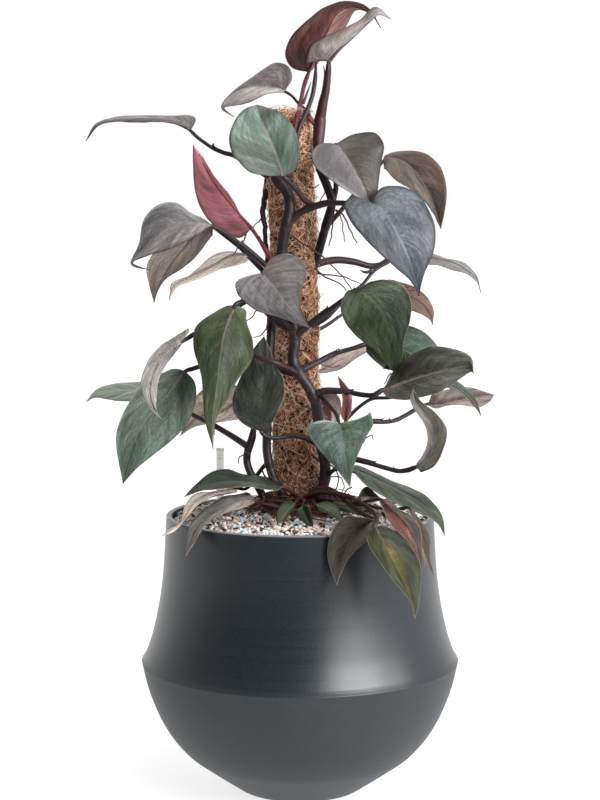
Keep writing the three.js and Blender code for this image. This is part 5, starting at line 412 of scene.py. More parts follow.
ROOTS = [
    (3.7, 1, [[-34.7, 6, 674.2], [-36.8, -0, 659], [-38.9, -5, 644.9], [-40.5, -8, 633.1], [-37.8, -10, 620.2], [-37.8, -12, 609.4], [-35.6, -14, 592.2]]),
    (1.01, 0, [[-12.7, -46, 612.7], [2.1, -48, 602.2], [19.1, -50, 591.6], [31.9, -44, 579.9], [44.9, -34, 566.9], [55.8, -28, 551.8]]),
    (1.01, 0, [[16.1, -24, 575.2], [23.6, -30, 567.9], [32.1, -34, 563.7], [44.9, -34, 557.3], [49.3, -30, 550.8]]),
    (0.88, 0.5, [[17.2, -22, 569.8], [30, -28, 567.8], [42.8, -30, 566.8], [55.7, -30, 562.6], [65.4, -28, 558.2]]),
    (0.94, 0.6, [[36.3, -30, 638.2], [35.6, -38, 628.6], [34, -42, 618], [32.9, -42, 607.4], [30.4, -40, 598.9]]),
    (0.74, 0.1, [[37.3, -30, 637.1], [41.5, -38, 632.8], [44.6, -42, 625.4], [45.6, -44, 614.8], [47.7, -44, 603.2]]),
    (0.94, 0.5, [[38.4, -30, 637.1], [43.6, -36, 633.9], [48.9, -40, 626.4], [53.1, -42, 615.9], [60.5, -44, 602.1]]),
    (0.81, 0.2, [[-38.9, -8, 629.8], [-44.1, -16, 625.5], [-49.3, -24, 620.1], [-52.3, -30, 615.9]]),
    (0.94, 0.6, [[-57.5, -36, 611.6], [-59.5, -42, 605.3], [-65.7, -46, 599], [-68.9, -48, 591.6]]),
    (0.81, 0.5, [[-45.2, -24, 531.2], [-49.4, -30, 526.1], [-53.6, -34, 521], [-57.8, -34, 518.8]]),
    (0.94, 0.3, [[-34.5, -22, 517.1], [-36.5, -30, 510], [-40.7, -36, 505], [-49.2, -40, 501]]),
    (1.01, 0, [[-2.2, -30, 488.5], [6.4, -40, 486], [15, -42, 482.9], [23.6, -38, 472.9], [33.4, -30, 469.1], [44.3, -24, 469.7]]),
    (0.81, 0.4, [[-68.9, -30, 448.6], [-73.1, -34, 446.8], [-76.3, -36, 441.6]]),
    (0.81, 0.6, [[97.2, -44, 463.8], [92.9, -46, 457.5], [89.8, -44, 452]]),
    (0.81, 0, [[30, -20, 662.8], [26.7, -26, 657.3], [23.5, -28, 649.9], [19.2, -26, 643.5]]),
    (0.81, 0.7, [[9.6, -26, 661.6], [14.9, -28, 660.5], [20.3, -26, 664.8]]),
    (0.81, 0.8, [[-60.8, -22, 372.7], [-66.1, -26, 369.9], [-67.2, -26, 363.3]]),
    (0.81, 0.6, [[68.1, -30, 386.8], [72.2, -34, 393.7], [77.6, -34, 395.9], [78.7, -34, 390.5]]),
    (1.08, 0.9, [[12.9, -34, 374.2], [21.5, -40, 367.4], [29.1, -40, 358.7], [32.4, -36, 347.3], [28.1, -34, 336.1]]),
    (0.94, 0.9, [[19.4, -36, 369], [31.2, -40, 365.2], [39.9, -38, 356.2], [41, -36, 342.9], [35.6, -36, 333.1]]),
    (0.81, 0.8, [[23.8, -30, 357.3], [32.4, -34, 351.3], [44.2, -36, 349.4], [47.5, -36, 339.6], [43.2, -38, 330.1]]),
    (0.94, 0.7, [[-30.3, -30, 363.9], [-34.5, -36, 356], [-28, -40, 347.8], [-17.2, -42, 345.9], [-10.8, -40, 350]]),
    (0.81, 0.8, [[-25.9, -34, 357.9], [-19.4, -40, 350], [-8.6, -42, 341.6], [3.2, -40, 339.1], [13, -36, 342.9]]),
    (0.81, 0.7, [[6.5, -36, 349.4], [12.9, -40, 341.3], [21.5, -42, 335.1], [30.1, -44, 331]]),
    (1.08, 0.9, [[17.3, -30, 353], [23.8, -34, 342.6], [23.7, -38, 332.3], [17.2, -44, 323.4]]),
    (0.94, 0.5, [[-41.3, -24, 356.5], [-36.8, -32, 346.7], [-41, -38, 336.7], [-38.8, -42, 326.4]]),
    (0.81, 0.3, [[56, -40, 340.2], [48.4, -42, 335.1], [44.1, -44, 326.7], [39.8, -46, 320.5]]),
    (0.94, 0.2, [[0, -38, 358.4], [-4.3, -42, 348.1], [-2.1, -46, 335.7], [6.4, -50, 324.4]]),
]
# Free ends of old sheaths: radius at the root, then points to the tip.
TIPS = [
    (1.7, [[-95, -2, 704.5], [-93.8, -3, 707.1], [-92.7, -4, 709.2]]),
    (1.8, [[44.9, -40, 486], [42.8, -41, 487.1], [40.6, -42, 490.4]]),
    (1.6, [[76.4, -34, 438.1], [74.2, -35, 439.3], [72, -36, 441.6]]),
    (1.6, [[98.8, -40, 411.7], [96.6, -41, 412.9], [95.4, -42, 415.2]]),
    (1.6, [[103.5, -56, 360.9], [101.3, -57, 362.1], [99.1, -58, 364.4]]),
    (2.2, [[78.8, 12, 572.3], [74.3, 10, 570.1], [69.9, 9, 570.2], [65.5, 8, 572.4]]),
    (1.6, [[3.2, -31, 748.9], [6.4, -31, 757.3], [9.5, -31, 765.7], [11.7, -31, 771.9]]),
    (2.2, [[23.5, -20, 753.9], [25, -21, 763.3], [26.1, -22, 772.7], [26.4, -24, 780.9], [25.1, -25, 789.2]]),
]
# An old leafless stalk and a pink bud: radius, points, material.
OUTGROWTHS = {
    'stem_main': (2.4, [[17, -22, 794.2], [16.7, -23, 785.2], [15.9, -25, 774.5], [13.3, -29, 758.5], [7.4, -32, 741.5], [0, -35, 725.6], [-5.3, -37, 705.5], [-9.5, -38, 684.5], [-12.7, -40, 666.5]], 'dark'),
    'stem_right': (2.3, [[8.5, -20, 737], [10.1, -21, 734.8], [12.3, -20, 731.7], [17.1, -14, 727.8]], 'red'),
}

# Planter outline, [radius, height].
BOWL = [[66, 0], [71.5, 2.6], [86, 12.6], [108.6, 28.7], [126.5, 42.5], [142.5, 61],
        [154.5, 81], [164, 103], [170, 122], [174.8, 143.6]]
BAND = [[174.8, 143.6], [171.4, 149], [166.6, 161.5], [161.2, 180], [154.8, 211], [150.5, 245], [147, 303.5]]
INSIDE = [[141, 303.5], [142, 280], [147.6, 224], [160.5, 166], [168.3, 143.6], [160.5, 104], [145, 74],
          [119, 44], [90, 23], [62, 8], [0, 8]]


# ------------------------------------------------------------------ numbers
def lin(c):
    """sRGB 0-255 to linear, with alpha."""
    out = []
    for v in c:
        v = max(v, 0.0) / 255.0
        out.append(v / 12.92 if v <= 0.04045 else ((v + 0.055) / 1.055) ** 2.4)
    return (*out, 1.0)


def spline(points, u):
    """Uniform Catmull-Rom through points at stations u, with the ends carried on."""
    p = np.asarray(points, float)
    n = len(p) - 1
    q = np.vstack([2 * p[0] - p[1], p, 2 * p[n] - p[n - 1]])
    u = np.asarray(u, float)
    i = np.clip(np.floor(u).astype(int), 0, n - 1)
    f = (u - i)[:, None]
    a, b, c, d = q[i], q[i + 1], q[i + 2], q[i + 3]
    return 0.5 * (2 * b + (c - a) * f + (2 * a - 5 * b + 4 * c - d) * f**2 + (3 * b - a - 3 * c + d) * f**3)


def resample(points, count):
    """A smooth path through points at even steps of length."""
    p = np.asarray(points, float)
    keep = np.r_[True, np.linalg.norm(np.diff(p, axis=0), axis=1) > 0.5]
    p = p[keep]
    d = spline(p, np.linspace(0, len(p) - 1, 24 * (len(p) - 1) + 1))
    s = np.r_[0, np.cumsum(np.linalg.norm(np.diff(d, axis=0), axis=1))]
    t = np.linspace(0, s[-1], count)
    return np.stack([np.interp(t, s, d[:, k]) for k in range(3)], 1), t


def unit(v):
    return v / np.maximum(np.linalg.norm(v, axis=-1, keepdims=True), 1e-9)


def smooth01(x, lo, hi):
    t = np.clip((np.asarray(x, float) - lo) / (hi - lo), 0, 1)
    return t * t * (3 - 2 * t)


# ------------------------------------------------------------------ mesh building
class Soup:
    """Vertices, faces and per-vertex numbers of one piece."""

    def __init__(self):
        self.v, self.f, self.m, self.n = [], [], [], 0
        self.a = {}

    def add(self, verts, faces, slot=0, **attrs):
        verts = np.asarray(verts, float)
        k = len(verts)
        for key in set(self.a) | set(attrs):
            have = self.a.setdefault(key, [np.zeros(self.n)] if self.n else [])
            have.append(np.broadcast_to(np.asarray(attrs.get(key, 0.0), float), (k,)).copy())
        self.v.append(verts)
        for g in faces:
            g = np.asarray(g, int)
            if len(g):
                self.f.append(g + self.n)
                self.m.append(np.full(len(g), slot))
        self.n += k

    def build(self, name, materials, smooth=True, sharp=None):
        mesh = bpy.data.meshes.new(name)
        verts = np.vstack(self.v) * MM
        loops = np.concatenate([g.reshape(-1) for g in self.f])
        sizes = np.concatenate([np.full(len(g), g.shape[1]) for g in self.f])
        starts = np.r_[0, np.cumsum(sizes)[:-1]]
        mesh.vertices.add(len(verts))
        mesh.vertices.foreach_set("co", verts.reshape(-1))
        mesh.loops.add(len(loops))
        mesh.loops.foreach_set("vertex_index", loops)
        mesh.polygons.add(len(sizes))
        mesh.polygons.foreach_set("loop_start", starts)
        mesh.polygons.foreach_set("material_index", np.concatenate(self.m).astype(int))
        mesh.polygons.foreach_set("use_smooth", np.full(len(sizes), bool(smooth)))
        mesh.update(calc_edges=True)
        mesh.validate()
        for key, parts in self.a.items():
            mesh.attributes.new(key, "FLOAT", "POINT").data.foreach_set("value", np.concatenate(parts))
        if sharp is not None:
            mesh.set_sharp_from_angle(angle=math.radians(sharp))
        obj = bpy.data.objects.new(name, mesh)
        bpy.context.scene.collection.objects.link(obj)
        for m in materials:
            mesh.materials.append(m)
        return obj


def frames(path):
    """Tangent and two side directions along a path, without twist."""
    t = unit(np.gradient(path, axis=0))
    ref = np.array([0, 0, 1.0]) if abs(t[0][2]) < 0.8 else np.array([1.0, 0, 0])
    n = np.zeros_like(path)
    n[0] = unit(ref - t[0] * (ref @ t[0]))
    for i in range(1, len(path)):
        x = n[i - 1] - t[i] * (n[i - 1] @ t[i])
        n[i] = unit(x)
    return t, n, np.cross(t, n)


def tube(soup, path, radii, sides=10, slot=0, flat=None, **attrs):
    """A round tube; flat = (direction, ratio) presses it along a direction."""
    path = np.asarray(path, float)
    radii = np.broadcast_to(np.asarray(radii, float), (len(path),))
    t, n, b = frames(path)
    ang = np.arange(sides) / sides * 2 * np.pi
    ring = np.cos(ang)[None, :, None] * n[:, None, :] + np.sin(ang)[None, :, None] * b[:, None, :]
    off = ring * radii[:, None, None]
    if flat is not None:
        d = unit(np.asarray(flat[0], float))
        off = off - (off @ d)[..., None] * d * (1 - flat[1])
    v = (path[:, None, :] + off).reshape(-1, 3)
    v = np.vstack([v, path[0] - t[0] * radii[0] * 0.35, path[-1] + t[-1] * radii[-1] * 0.35])
    k = len(path)
    i, j = np.meshgrid(np.arange(k - 1), np.arange(sides), indexing="ij")
    i, j = i.reshape(-1), j.reshape(-1)
    j2 = (j + 1) % sides
    quads = np.stack([i * sides + j, i * sides + j2, (i + 1) * sides + j2, (i + 1) * sides + j], 1)
    a, a2 = np.arange(sides), (np.arange(sides) + 1) % sides
    caps = np.vstack([np.stack([a2, a, np.full(sides, k * sides)], 1),
                      np.stack([(k - 1) * sides + a, (k - 1) * sides + a2, np.full(sides, k * sides + 1)], 1)])
    full = {}
    for key, val in attrs.items():
        val = np.broadcast_to(np.asarray(val, float), (k,))
        full[key] = np.r_[np.repeat(val, sides), val[0], val[-1]]
    soup.add(v, [quads, caps], slot, **full)


def lathe(soup, profile, segments, slot=0, **attrs):
    """Profile is [radius, height] from inside bottom, round, back to the axis."""
    p = np.asarray(profile, float)
    ang = np.arange(segments) / segments * 2 * np.pi
    on_axis = p[:, 0] < 1e-6
    verts, index = [], []
    for r, z in p:
        index.append(len(verts))
        if r < 1e-6:
            verts.append([0, 0, z])
        else:
            verts.extend([[r * math.cos(t), r * math.sin(t), z] for t in ang])
    quads, tris = [], []
    for i in range(len(p) - 1):
        a, b = index[i], index[i + 1]
        for j in range(segments):
            j2 = (j + 1) % segments
            if on_axis[i] and on_axis[i + 1]:
                continue
            if on_axis[i]:
                tris.append([a, b + j2, b + j])
            elif on_axis[i + 1]:
                tris.append([a + j, a + j2, b])
            else:
                quads.append([a + j, a + j2, b + j2, b + j])
    soup.add(verts, [np.array(quads), np.array(tris)], slot, **attrs)


# ------------------------------------------------------------------ materials
class Mat:
    """A node material; its methods return sockets."""

    def __init__(self, name, rough=0.5, metallic=0.0, specular=0.5, **sockets):
        self.mat = bpy.data.materials.new(name)
        self.mat.use_nodes = True
        self.t = self.mat.node_tree
        self.t.nodes.clear()
        self.out = self.t.nodes.new("ShaderNodeOutputMaterial")
        self.b = self.t.nodes.new("ShaderNodeBsdfPrincipled")
        self.t.links.new(self.b.outputs[0], self.out.inputs[0])
        self.b.inputs["Roughness"].default_value = rough
        self.b.inputs["Metallic"].default_value = metallic
        self.b.inputs["Specular IOR Level"].default_value = specular
        for k, v in sockets.items():
            self.b.inputs[k.replace("_", " ")].default_value = v

    def put(self, socket, value):
        if isinstance(value, bpy.types.NodeSocket):
            self.t.links.new(value, socket)
        elif value is not None:
            socket.default_value = value
        return socket

    def attr(self, name):
        n = self.t.nodes.new("ShaderNodeAttribute")
        n.attribute_name = name
        return n.outputs["Fac"]

    def math(self, op, a, b=None, c=None, clamp=False):
        n = self.t.nodes.new("ShaderNodeMath")
        n.operation = op
        n.use_clamp = clamp
        for i, x in enumerate((a, b, c)):
            if x is not None:
                self.put(n.inputs[i], x)
        return n.outputs[0]

    def step(self, x, lo, hi, a=0.0, b=1.0):
        n = self.t.nodes.new("ShaderNodeMapRange")
        n.interpolation_type = "SMOOTHSTEP"
        for key, v in (("Value", x), ("From Min", lo), ("From Max", hi), ("To Min", a), ("To Max", b)):
            self.put(n.inputs[key], v)
        return n.outputs[0]

    def mix(self, fac, a, b, mode="MIX"):
        n = self.t.nodes.new("ShaderNodeMix")
        n.data_type = "RGBA"
        n.blend_type = mode
        self.put(n.inputs[0], fac)
        self.put(n.inputs[6], a if isinstance(a, bpy.types.NodeSocket) else lin(a))
        self.put(n.inputs[7], b if isinstance(b, bpy.types.NodeSocket) else lin(b))
        return n.outputs[2]

    def vec(self, x, y, z):
        n = self.t.nodes.new("ShaderNodeCombineXYZ")
        for i, v in enumerate((x, y, z)):
            self.put(n.inputs[i], v)
        return n.outputs[0]

    def object(self):
        return self.t.nodes.new("ShaderNodeTexCoord").outputs["Object"]

    def xyz(self, v):
        n = self.t.nodes.new("ShaderNodeSeparateXYZ")
        self.put(n.inputs[0], v)
        return n.outputs

    def scale(self, v, s):
        n = self.t.nodes.new("ShaderNodeVectorMath")
        n.operation = "MULTIPLY"
        self.put(n.inputs[0], v)
        n.inputs[1].default_value = s
        return n.outputs[0]

    def noise(self, v, scale, detail=3.0, rough=0.5, distortion=0.0):
        n = self.t.nodes.new("ShaderNodeTexNoise")
        self.put(n.inputs["Vector"], v)
        n.inputs["Scale"].default_value = scale
        n.inputs["Detail"].default_value = detail
        n.inputs["Roughness"].default_value = rough
        n.inputs["Distortion"].default_value = distortion
        return n.outputs["Fac"]

    def ramp(self, fac, stops, mode="LINEAR"):
        n = self.t.nodes.new("ShaderNodeValToRGB")
        n.color_ramp.interpolation = mode
        e = n.color_ramp.elements
        while len(e) < len(stops):
            e.new(0.5)
        for i, (at, c) in enumerate(stops):
            e[i].position = at
            e[i].color = lin(c)
        self.put(n.inputs[0], fac)
        return n.outputs[0]

    def bump(self, height, distance, strength=1.0, normal=None):
        n = self.t.nodes.new("ShaderNodeBump")
        n.inputs["Strength"].default_value = strength
        n.inputs["Distance"].default_value = distance
        self.put(n.inputs["Height"], height)
        if normal is not None:
            self.put(n.inputs["Normal"], normal)
        return n.outputs[0]

    def finish(self, color, rough=None, normal=None):
        self.put(self.b.inputs["Base Color"], color)
        if rough is not None:
            self.put(self.b.inputs["Roughness"], rough)
        if normal is not None:
            self.put(self.b.inputs["Normal"], normal)
        return self.mat


# Tones: ua and ub are the upper face on margin a's side and on margin b's, u2 its mottling; the same with n for the
# under face. These colours and the tip, base, rim and midrib gains are painted light and shade as well as the leaf's
# own colour: a half or end that lay in shade is darker, and one that caught a sheen is paler.
DEFAULT = {
    'ua': (84, 96, 88),
    'ub': (84, 96, 88),
    'u2': (66, 74, 68),
    'umott': 0.25,
    'utip': (70, 62, 60),
    'utipat': 0.8,
    'utipk': 0.0,
    'ubase': (40, 40, 42),
    'ubaseat': 0.2,
    'ubasek': 0.0,
    'utipa': 1.0,
    'utipb': 1.0,
    'ubasea': 1.0,
    'ubaseb': 1.0,
    'umidg': 1.0,
    'ustreak': 0.34,
    'uquilt': -0.06,
    'uveing': 1.1,
    'uband': 0.42,
    'ugrain': 0.24,
    'ucloud': 0.26,
    'uspeck': 0.24,
    'uribg': 1.28,
    'urima': 0.8,
    'urimb': 0.8,
    'uribk': 0.3,
    'uribc': (128, 118, 116),
    'uzone': (120, 110, 60),
    'uzonew': 0.4,
    'uzonek': 0.0,
    'na': (120, 98, 90),
    'nb': (120, 98, 90),
    'n2': (96, 82, 74),
    'nmott': 0.25,
    'ntip': (80, 64, 60),
    'ntipat': 0.8,
    'ntipk': 0.0,
    'nbase': (60, 50, 50),
    'nbaseat': 0.2,
    'nbasek': 0.0,
    'ntipa': 1.0,
    'ntipb': 1.0,
    'nbasea': 1.0,
    'nbaseb': 1.0,
    'nmidg': 1.0,
    'nstreak': 0.32,
    'nquilt': 0.06,
    'nveing': 0.9,
    'nband': 0.36,
    'ngrain': 0.26,
    'ncloud': 0.22,
    'nspeck': 0.24,
    'nribg': 0.8,
    'nrima': 0.82,
    'nrimb': 0.82,
    'nribk': 0.35,
    'nribc': (84, 62, 62),
    'nzone': (120, 70, 60),
    'nzonew': 0.4,
    'nzonek': 0.0,
    'edge': (150, 128, 124),
    'edgek': 0.45,
    'patches': (),
    'split': 0.0,
    'glow': 0.0,
    'ribw': 1.5,
    'nv': 9.0,
    'slope': 3.0,
    'waves': 2.2,
    'sheath': 0.45,
    'swell': 0.0,
    'crease': 0.8,
    'urough': 0.4,
    'nrough': 0.48,
    'spec': 0.2,
}
TONES = {
    'leaf_01': {'ua': (92, 72, 64), 'ub': (100, 80, 72), 'na': (72, 44, 42), 'nb': (130, 96, 88), 'edge': (84, 50, 50), 'edgek': 0.5, 'stalk': 'red', 'sheath': 0.7, 'swell': 0.8, 'ntipa': 1.9, 'ntipb': 1.5, 'nbasea': 0.45, 'nbaseb': 0.55, 'nrima': 0.45, 'nrimb': 0.83, 'nmidg': 1.66, 'spec': 0.12, 'ustreak': 0.42, 'uspeck': 0.43, 'ugrain': 0.41, 'uband': 0.67, 'ucloud': 0.5, 'nstreak': 0.39, 'nspeck': 0.43, 'ngrain': 0.44, 'nband': 0.58, 'ncloud': 0.42},
    'leaf_02': {'ua': (202, 198, 192), 'ub': (172, 160, 154), 'na': (22, 14, 12), 'nb': (116, 100, 92), 'edge': (50, 42, 46), 'edgek': 0.65, 'stalk': 'wine', 'sheath': 0.86, 'swell': 0.55, 'utipa': 0.55, 'utipb': 0.65, 'ubasea': 0.55, 'ubaseb': 0.55, 'nbasea': 0.65, 'nbaseb': 0.55, 'urimb': 0.66, 'umidg': 1.55, 'ustreak': 0.42, 'uspeck': 0.12, 'ugrain': 0.3, 'uband': 0.67, 'ucloud': 0.5, 'nstreak': 0.39, 'nspeck': 0.43, 'ngrain': 0.44, 'nband': 0.58, 'ncloud': 0.42},
    'leaf_03': {'ua': (102, 92, 94), 'ub': (178, 168, 162), 'na': (110, 88, 82), 'nb': (114, 94, 86), 'edge': (50, 42, 46), 'edgek': 0.65, 'ubasea': 0.68, 'ubaseb': 0.55, 'nbasea': 1.45, 'nbaseb': 1.5, 'urima': 1.45, 'urimb': 0.65, 'umidg': 0.85, 'ustreak': 0.42, 'uspeck': 0.43, 'ugrain': 0.35, 'uband': 0.51, 'ucloud': 0.38, 'nstreak': 0.39, 'nspeck': 0.43, 'ngrain': 0.38, 'nband': 0.44, 'ncloud': 0.32},
    'leaf_04': {'ua': (106, 100, 100), 'ub': (70, 58, 62), 'na': (62, 50, 46), 'nb': (62, 50, 46), 'edge': (50, 42, 46), 'edgek': 0.65, 'ubasea': 0.65, 'ubaseb': 0.55, 'nbasea': 0.65, 'nbaseb': 0.55, 'urimb': 0.65, 'umidg': 1.68, 'sheath': 0.55, 'swell': 0.35, 'ustreak': 0.42, 'uspeck': 0.43, 'ugrain': 0.41, 'uband': 0.67, 'ucloud': 0.5, 'nstreak': 0.39, 'nspeck': 0.43, 'ngrain': 0.44, 'nband': 0.58, 'ncloud': 0.42},
    'leaf_05': {'ua': (136, 154, 142), 'ub': (100, 112, 104), 'na': (112, 90, 82), 'nb': (108, 88, 82), 'edge': (50, 42, 46), 'edgek': 0.65, 'utipa': 1.5, 'utipb': 1.9, 'ubasea': 1.07, 'ubaseb': 0.48, 'nbasea': 0.77, 'nbaseb': 1.29, 'urima': 0.45, 'urimb': 0.51, 'umidg': 1.45, 'uribk': 0.85, 'uribc': (172, 158, 156), 'uribg': 1.3, 'ribw': 3.2, 'ustreak': 0.35, 'uspeck': 0.27, 'ugrain': 0.32, 'uband': 0.67, 'ucloud': 0.5, 'nstreak': 0.33, 'nspeck': 0.27, 'ngrain': 0.35, 'nband': 0.58, 'ncloud': 0.42},
    'leaf_06': {'na': (114, 68, 74), 'nb': (142, 72, 82), 'edge': (70, 34, 40), 'edgek': 0.7, 'stalk': 'red', 'sheath': 0.5, 'swell': 0.2, 'ua': (96, 66, 60), 'ub': (96, 66, 60), 'ntipa': 1.62, 'ntipb': 1.5, 'nbasea': 0.97, 'nbaseb': 0.66, 'nrima': 0.45, 'nrimb': 1.9, 'nmidg': 1.8, 'spec': 0.12, 'ustreak': 0.42, 'uspeck': 0.43, 'ugrain': 0.41, 'uband': 0.67, 'ucloud': 0.5, 'nstreak': 0.39, 'nspeck': 0.1, 'ngrain': 0.22, 'nband': 0.58, 'ncloud': 0.3},
    'leaf_07': {'ua': (110, 108, 110), 'ub': (134, 128, 126), 'na': (120, 98, 90), 'nb': (114, 92, 86), 'edge': (50, 42, 46), 'edgek': 0.65, 'ubasea': 1.04, 'ubaseb': 1.36, 'nbasea': 0.66, 'nbaseb': 0.66, 'urima': 1.9, 'urimb': 0.45, 'umidg': 0.68, 'ustreak': 0.42, 'uspeck': 0.43, 'ugrain': 0.41, 'uband': 0.67, 'ucloud': 0.5, 'nstreak': 0.39, 'nspeck': 0.43, 'ngrain': 0.44, 'nband': 0.58, 'ncloud': 0.42},
    'leaf_08': {'ua': (84, 96, 88), 'ub': (84, 96, 88), 'na': (130, 120, 110), 'nb': (144, 134, 126), 'edge': (50, 42, 46), 'edgek': 0.65, 'ntipa': 1.07, 'ntipb': 0.92, 'nbasea': 1.45, 'nbaseb': 1.5, 'nrima': 0.65, 'nrimb': 1.31, 'nmidg': 1.54, 'ustreak': 0.42, 'uspeck': 0.43, 'ugrain': 0.41, 'uband': 0.67, 'ucloud': 0.5, 'nstreak': 0.39, 'nspeck': 0.43, 'ngrain': 0.44, 'nband': 0.58, 'ncloud': 0.42},
    'leaf_09': {'na': (206, 192, 180), 'nb': (226, 212, 202), 'edge': (50, 42, 46), 'edgek': 0.65, 'glow': 0.3, 'ntipa': 0.65, 'nrima': 1.45, 'nrimb': 0.71, 'nmidg': 0.5, 'ustreak': 0.42, 'uspeck': 0.43, 'ugrain': 0.41, 'uband': 0.67, 'ucloud': 0.5, 'nstreak': 0.39, 'nspeck': 0.43, 'ngrain': 0.44, 'nband': 0.58, 'ncloud': 0.42},
    'leaf_10': {'ua': (80, 76, 78), 'ub': (60, 54, 52), 'na': (116, 94, 86), 'nb': (118, 96, 88), 'edge': (50, 42, 46), 'edgek': 0.65, 'utipa': 1.5, 'utipb': 1.9, 'ubasea': 0.79, 'ubaseb': 1.35, 'nbasea': 0.65, 'nbaseb': 0.59, 'urima': 1.9, 'urimb': 0.45, 'umidg': 1.6, 'ustreak': 0.33, 'uspeck': 0.22, 'ugrain': 0.19, 'uband': 0.29, 'ucloud': 0.22, 'nstreak': 0.31, 'nspeck': 0.22, 'ngrain': 0.21, 'nband': 0.25, 'ncloud': 0.18},
    'leaf_11': {'ua': (80, 70, 64), 'ub': (64, 48, 42), 'na': (114, 92, 86), 'nb': (114, 92, 86), 'edge': (50, 42, 46), 'edgek': 0.65, 'utipa': 0.55, 'utipb': 0.45, 'ubasea': 1.9, 'ubaseb': 1.5, 'nbasea': 0.7, 'nbaseb': 0.92, 'urima': 0.72, 'urimb': 1.9, 'umidg': 0.61, 'spec': 0.12, 'ustreak': 0.42, 'uspeck': 0.43, 'ugrain': 0.41, 'uband': 0.67, 'ucloud': 0.5, 'nstreak': 0.39, 'nspeck': 0.43, 'ngrain': 0.44, 'nband': 0.58, 'ncloud': 0.42},
    'leaf_12': {'ua': (66, 68, 74), 'ub': (78, 82, 88), 'na': (114, 92, 84), 'nb': (116, 96, 88), 'edge': (50, 42, 46), 'edgek': 0.65, 'utipa': 0.89, 'utipb': 1.05, 'ubasea': 0.48, 'ubaseb': 0.45, 'nbasea': 0.64, 'nbaseb': 0.64, 'urima': 0.56, 'urimb': 0.45, 'umidg': 1.33, 'uribk': 0.25, 'uribg': 1.22, 'ustreak': 0.42, 'uspeck': 0.43, 'ugrain': 0.41, 'uband': 0.67, 'ucloud': 0.5, 'nstreak': 0.39, 'nspeck': 0.43, 'ngrain': 0.44, 'nband': 0.58, 'ncloud': 0.42},
    'leaf_13': {'ua': (84, 96, 88), 'ub': (84, 96, 88), 'na': (120, 120, 124), 'nb': (106, 102, 100), 'edge': (50, 42, 46), 'edgek': 0.65, 'nmidg': 1.05, 'ustreak': 0.42, 'uspeck': 0.43, 'ugrain': 0.41, 'uband': 0.67, 'ucloud': 0.5, 'nstreak': 0.39, 'nspeck': 0.43, 'ngrain': 0.44, 'nband': 0.58, 'ncloud': 0.42},
    'leaf_14': {'ua': (84, 96, 88), 'ub': (84, 96, 88), 'na': (108, 82, 72), 'nb': (86, 70, 60), 'edge': (50, 42, 46), 'edgek': 0.65, 'ntipa': 0.65, 'ntipb': 1.15, 'nrima': 1.45, 'nmidg': 1.01, 'ustreak': 0.42, 'uspeck': 0.43, 'ugrain': 0.41, 'uband': 0.67, 'ucloud': 0.5, 'nstreak': 0.39, 'nspeck': 0.43, 'ngrain': 0.44, 'nband': 0.58, 'ncloud': 0.42},
    'leaf_15': {'ua': (116, 112, 114), 'ub': (98, 94, 92), 'na': (124, 102, 94), 'nb': (116, 94, 88), 'edge': (50, 42, 46), 'edgek': 0.65, 'utipa': 0.62, 'utipb': 0.45, 'ubasea': 1.05, 'ubaseb': 1.46, 'nbasea': 0.66, 'nbaseb': 1.39, 'urima': 1.45, 'urimb': 0.77, 'umidg': 1.02, 'ustreak': 0.36, 'uspeck': 0.29, 'ugrain': 0.33, 'uband': 0.67, 'ucloud': 0.5, 'nstreak': 0.34, 'nspeck': 0.29, 'ngrain': 0.36, 'nband': 0.58, 'ncloud': 0.42},
    'leaf_16': {'ua': (44, 54, 36), 'ub': (88, 100, 82), 'na': (122, 98, 90), 'nb': (118, 96, 90), 'utipa': 1.9, 'utipb': 1.9, 'ubasea': 0.47, 'ubaseb': 0.57, 'nbasea': 1.42, 'nbaseb': 1.5, 'urima': 1.27, 'urimb': 0.45, 'umidg': 1.72, 'nrimb': 0.65, 'spec': 0.12, 'ustreak': 0.42, 'uspeck': 0.43, 'ugrain': 0.41, 'uband': 0.67, 'ucloud': 0.5, 'nstreak': 0.39, 'nspeck': 0.43, 'ngrain': 0.44, 'nband': 0.58, 'ncloud': 0.42},
    'leaf_17': {'ua': (32, 54, 18), 'ub': (60, 76, 64), 'na': (118, 96, 88), 'nb': (118, 96, 88), 'ubasea': 1.45, 'ubaseb': 1.5, 'nbasea': 0.65, 'nbaseb': 0.55, 'urima': 0.65, 'urimb': 0.7, 'umidg': 0.75, 'ustreak': 0.42, 'uspeck': 0.43, 'ugrain': 0.41, 'uband': 0.67, 'ucloud': 0.5, 'nstreak': 0.39, 'nspeck': 0.43, 'ngrain': 0.44, 'nband': 0.58, 'ncloud': 0.42},
    'leaf_18': {'ua': (82, 94, 86), 'ub': (82, 94, 86), 'na': (166, 162, 158), 'nb': (136, 134, 128), 'edge': (50, 42, 46), 'edgek': 0.65, 'ntipa': 0.55, 'ntipb': 0.65, 'nbasea': 1.5, 'nbaseb': 1.45, 'nrima': 1.45, 'nrimb': 1.17, 'nmidg': 1.14, 'spec': 0.12, 'ustreak': 0.4, 'uspeck': 0.39, 'ugrain': 0.39, 'uband': 0.67, 'ucloud': 0.5, 'nstreak': 0.38, 'nspeck': 0.39, 'ngrain': 0.42, 'nband': 0.58, 'ncloud': 0.42},
    'leaf_19': {'ua': (74, 86, 60), 'ub': (60, 66, 48), 'na': (118, 96, 88), 'nb': (122, 100, 94), 'utipa': 1.9, 'utipb': 1.82, 'ubasea': 1.9, 'ubaseb': 1.9, 'nbasea': 1.45, 'nbaseb': 1.5, 'urima': 0.45, 'urimb': 1.9, 'umidg': 0.74, 'spec': 0.12, 'ustreak': 0.42, 'uspeck': 0.43, 'ugrain': 0.41, 'uband': 0.67, 'ucloud': 0.5, 'nstreak': 0.39, 'nspeck': 0.43, 'ngrain': 0.44, 'nband': 0.58, 'ncloud': 0.42},
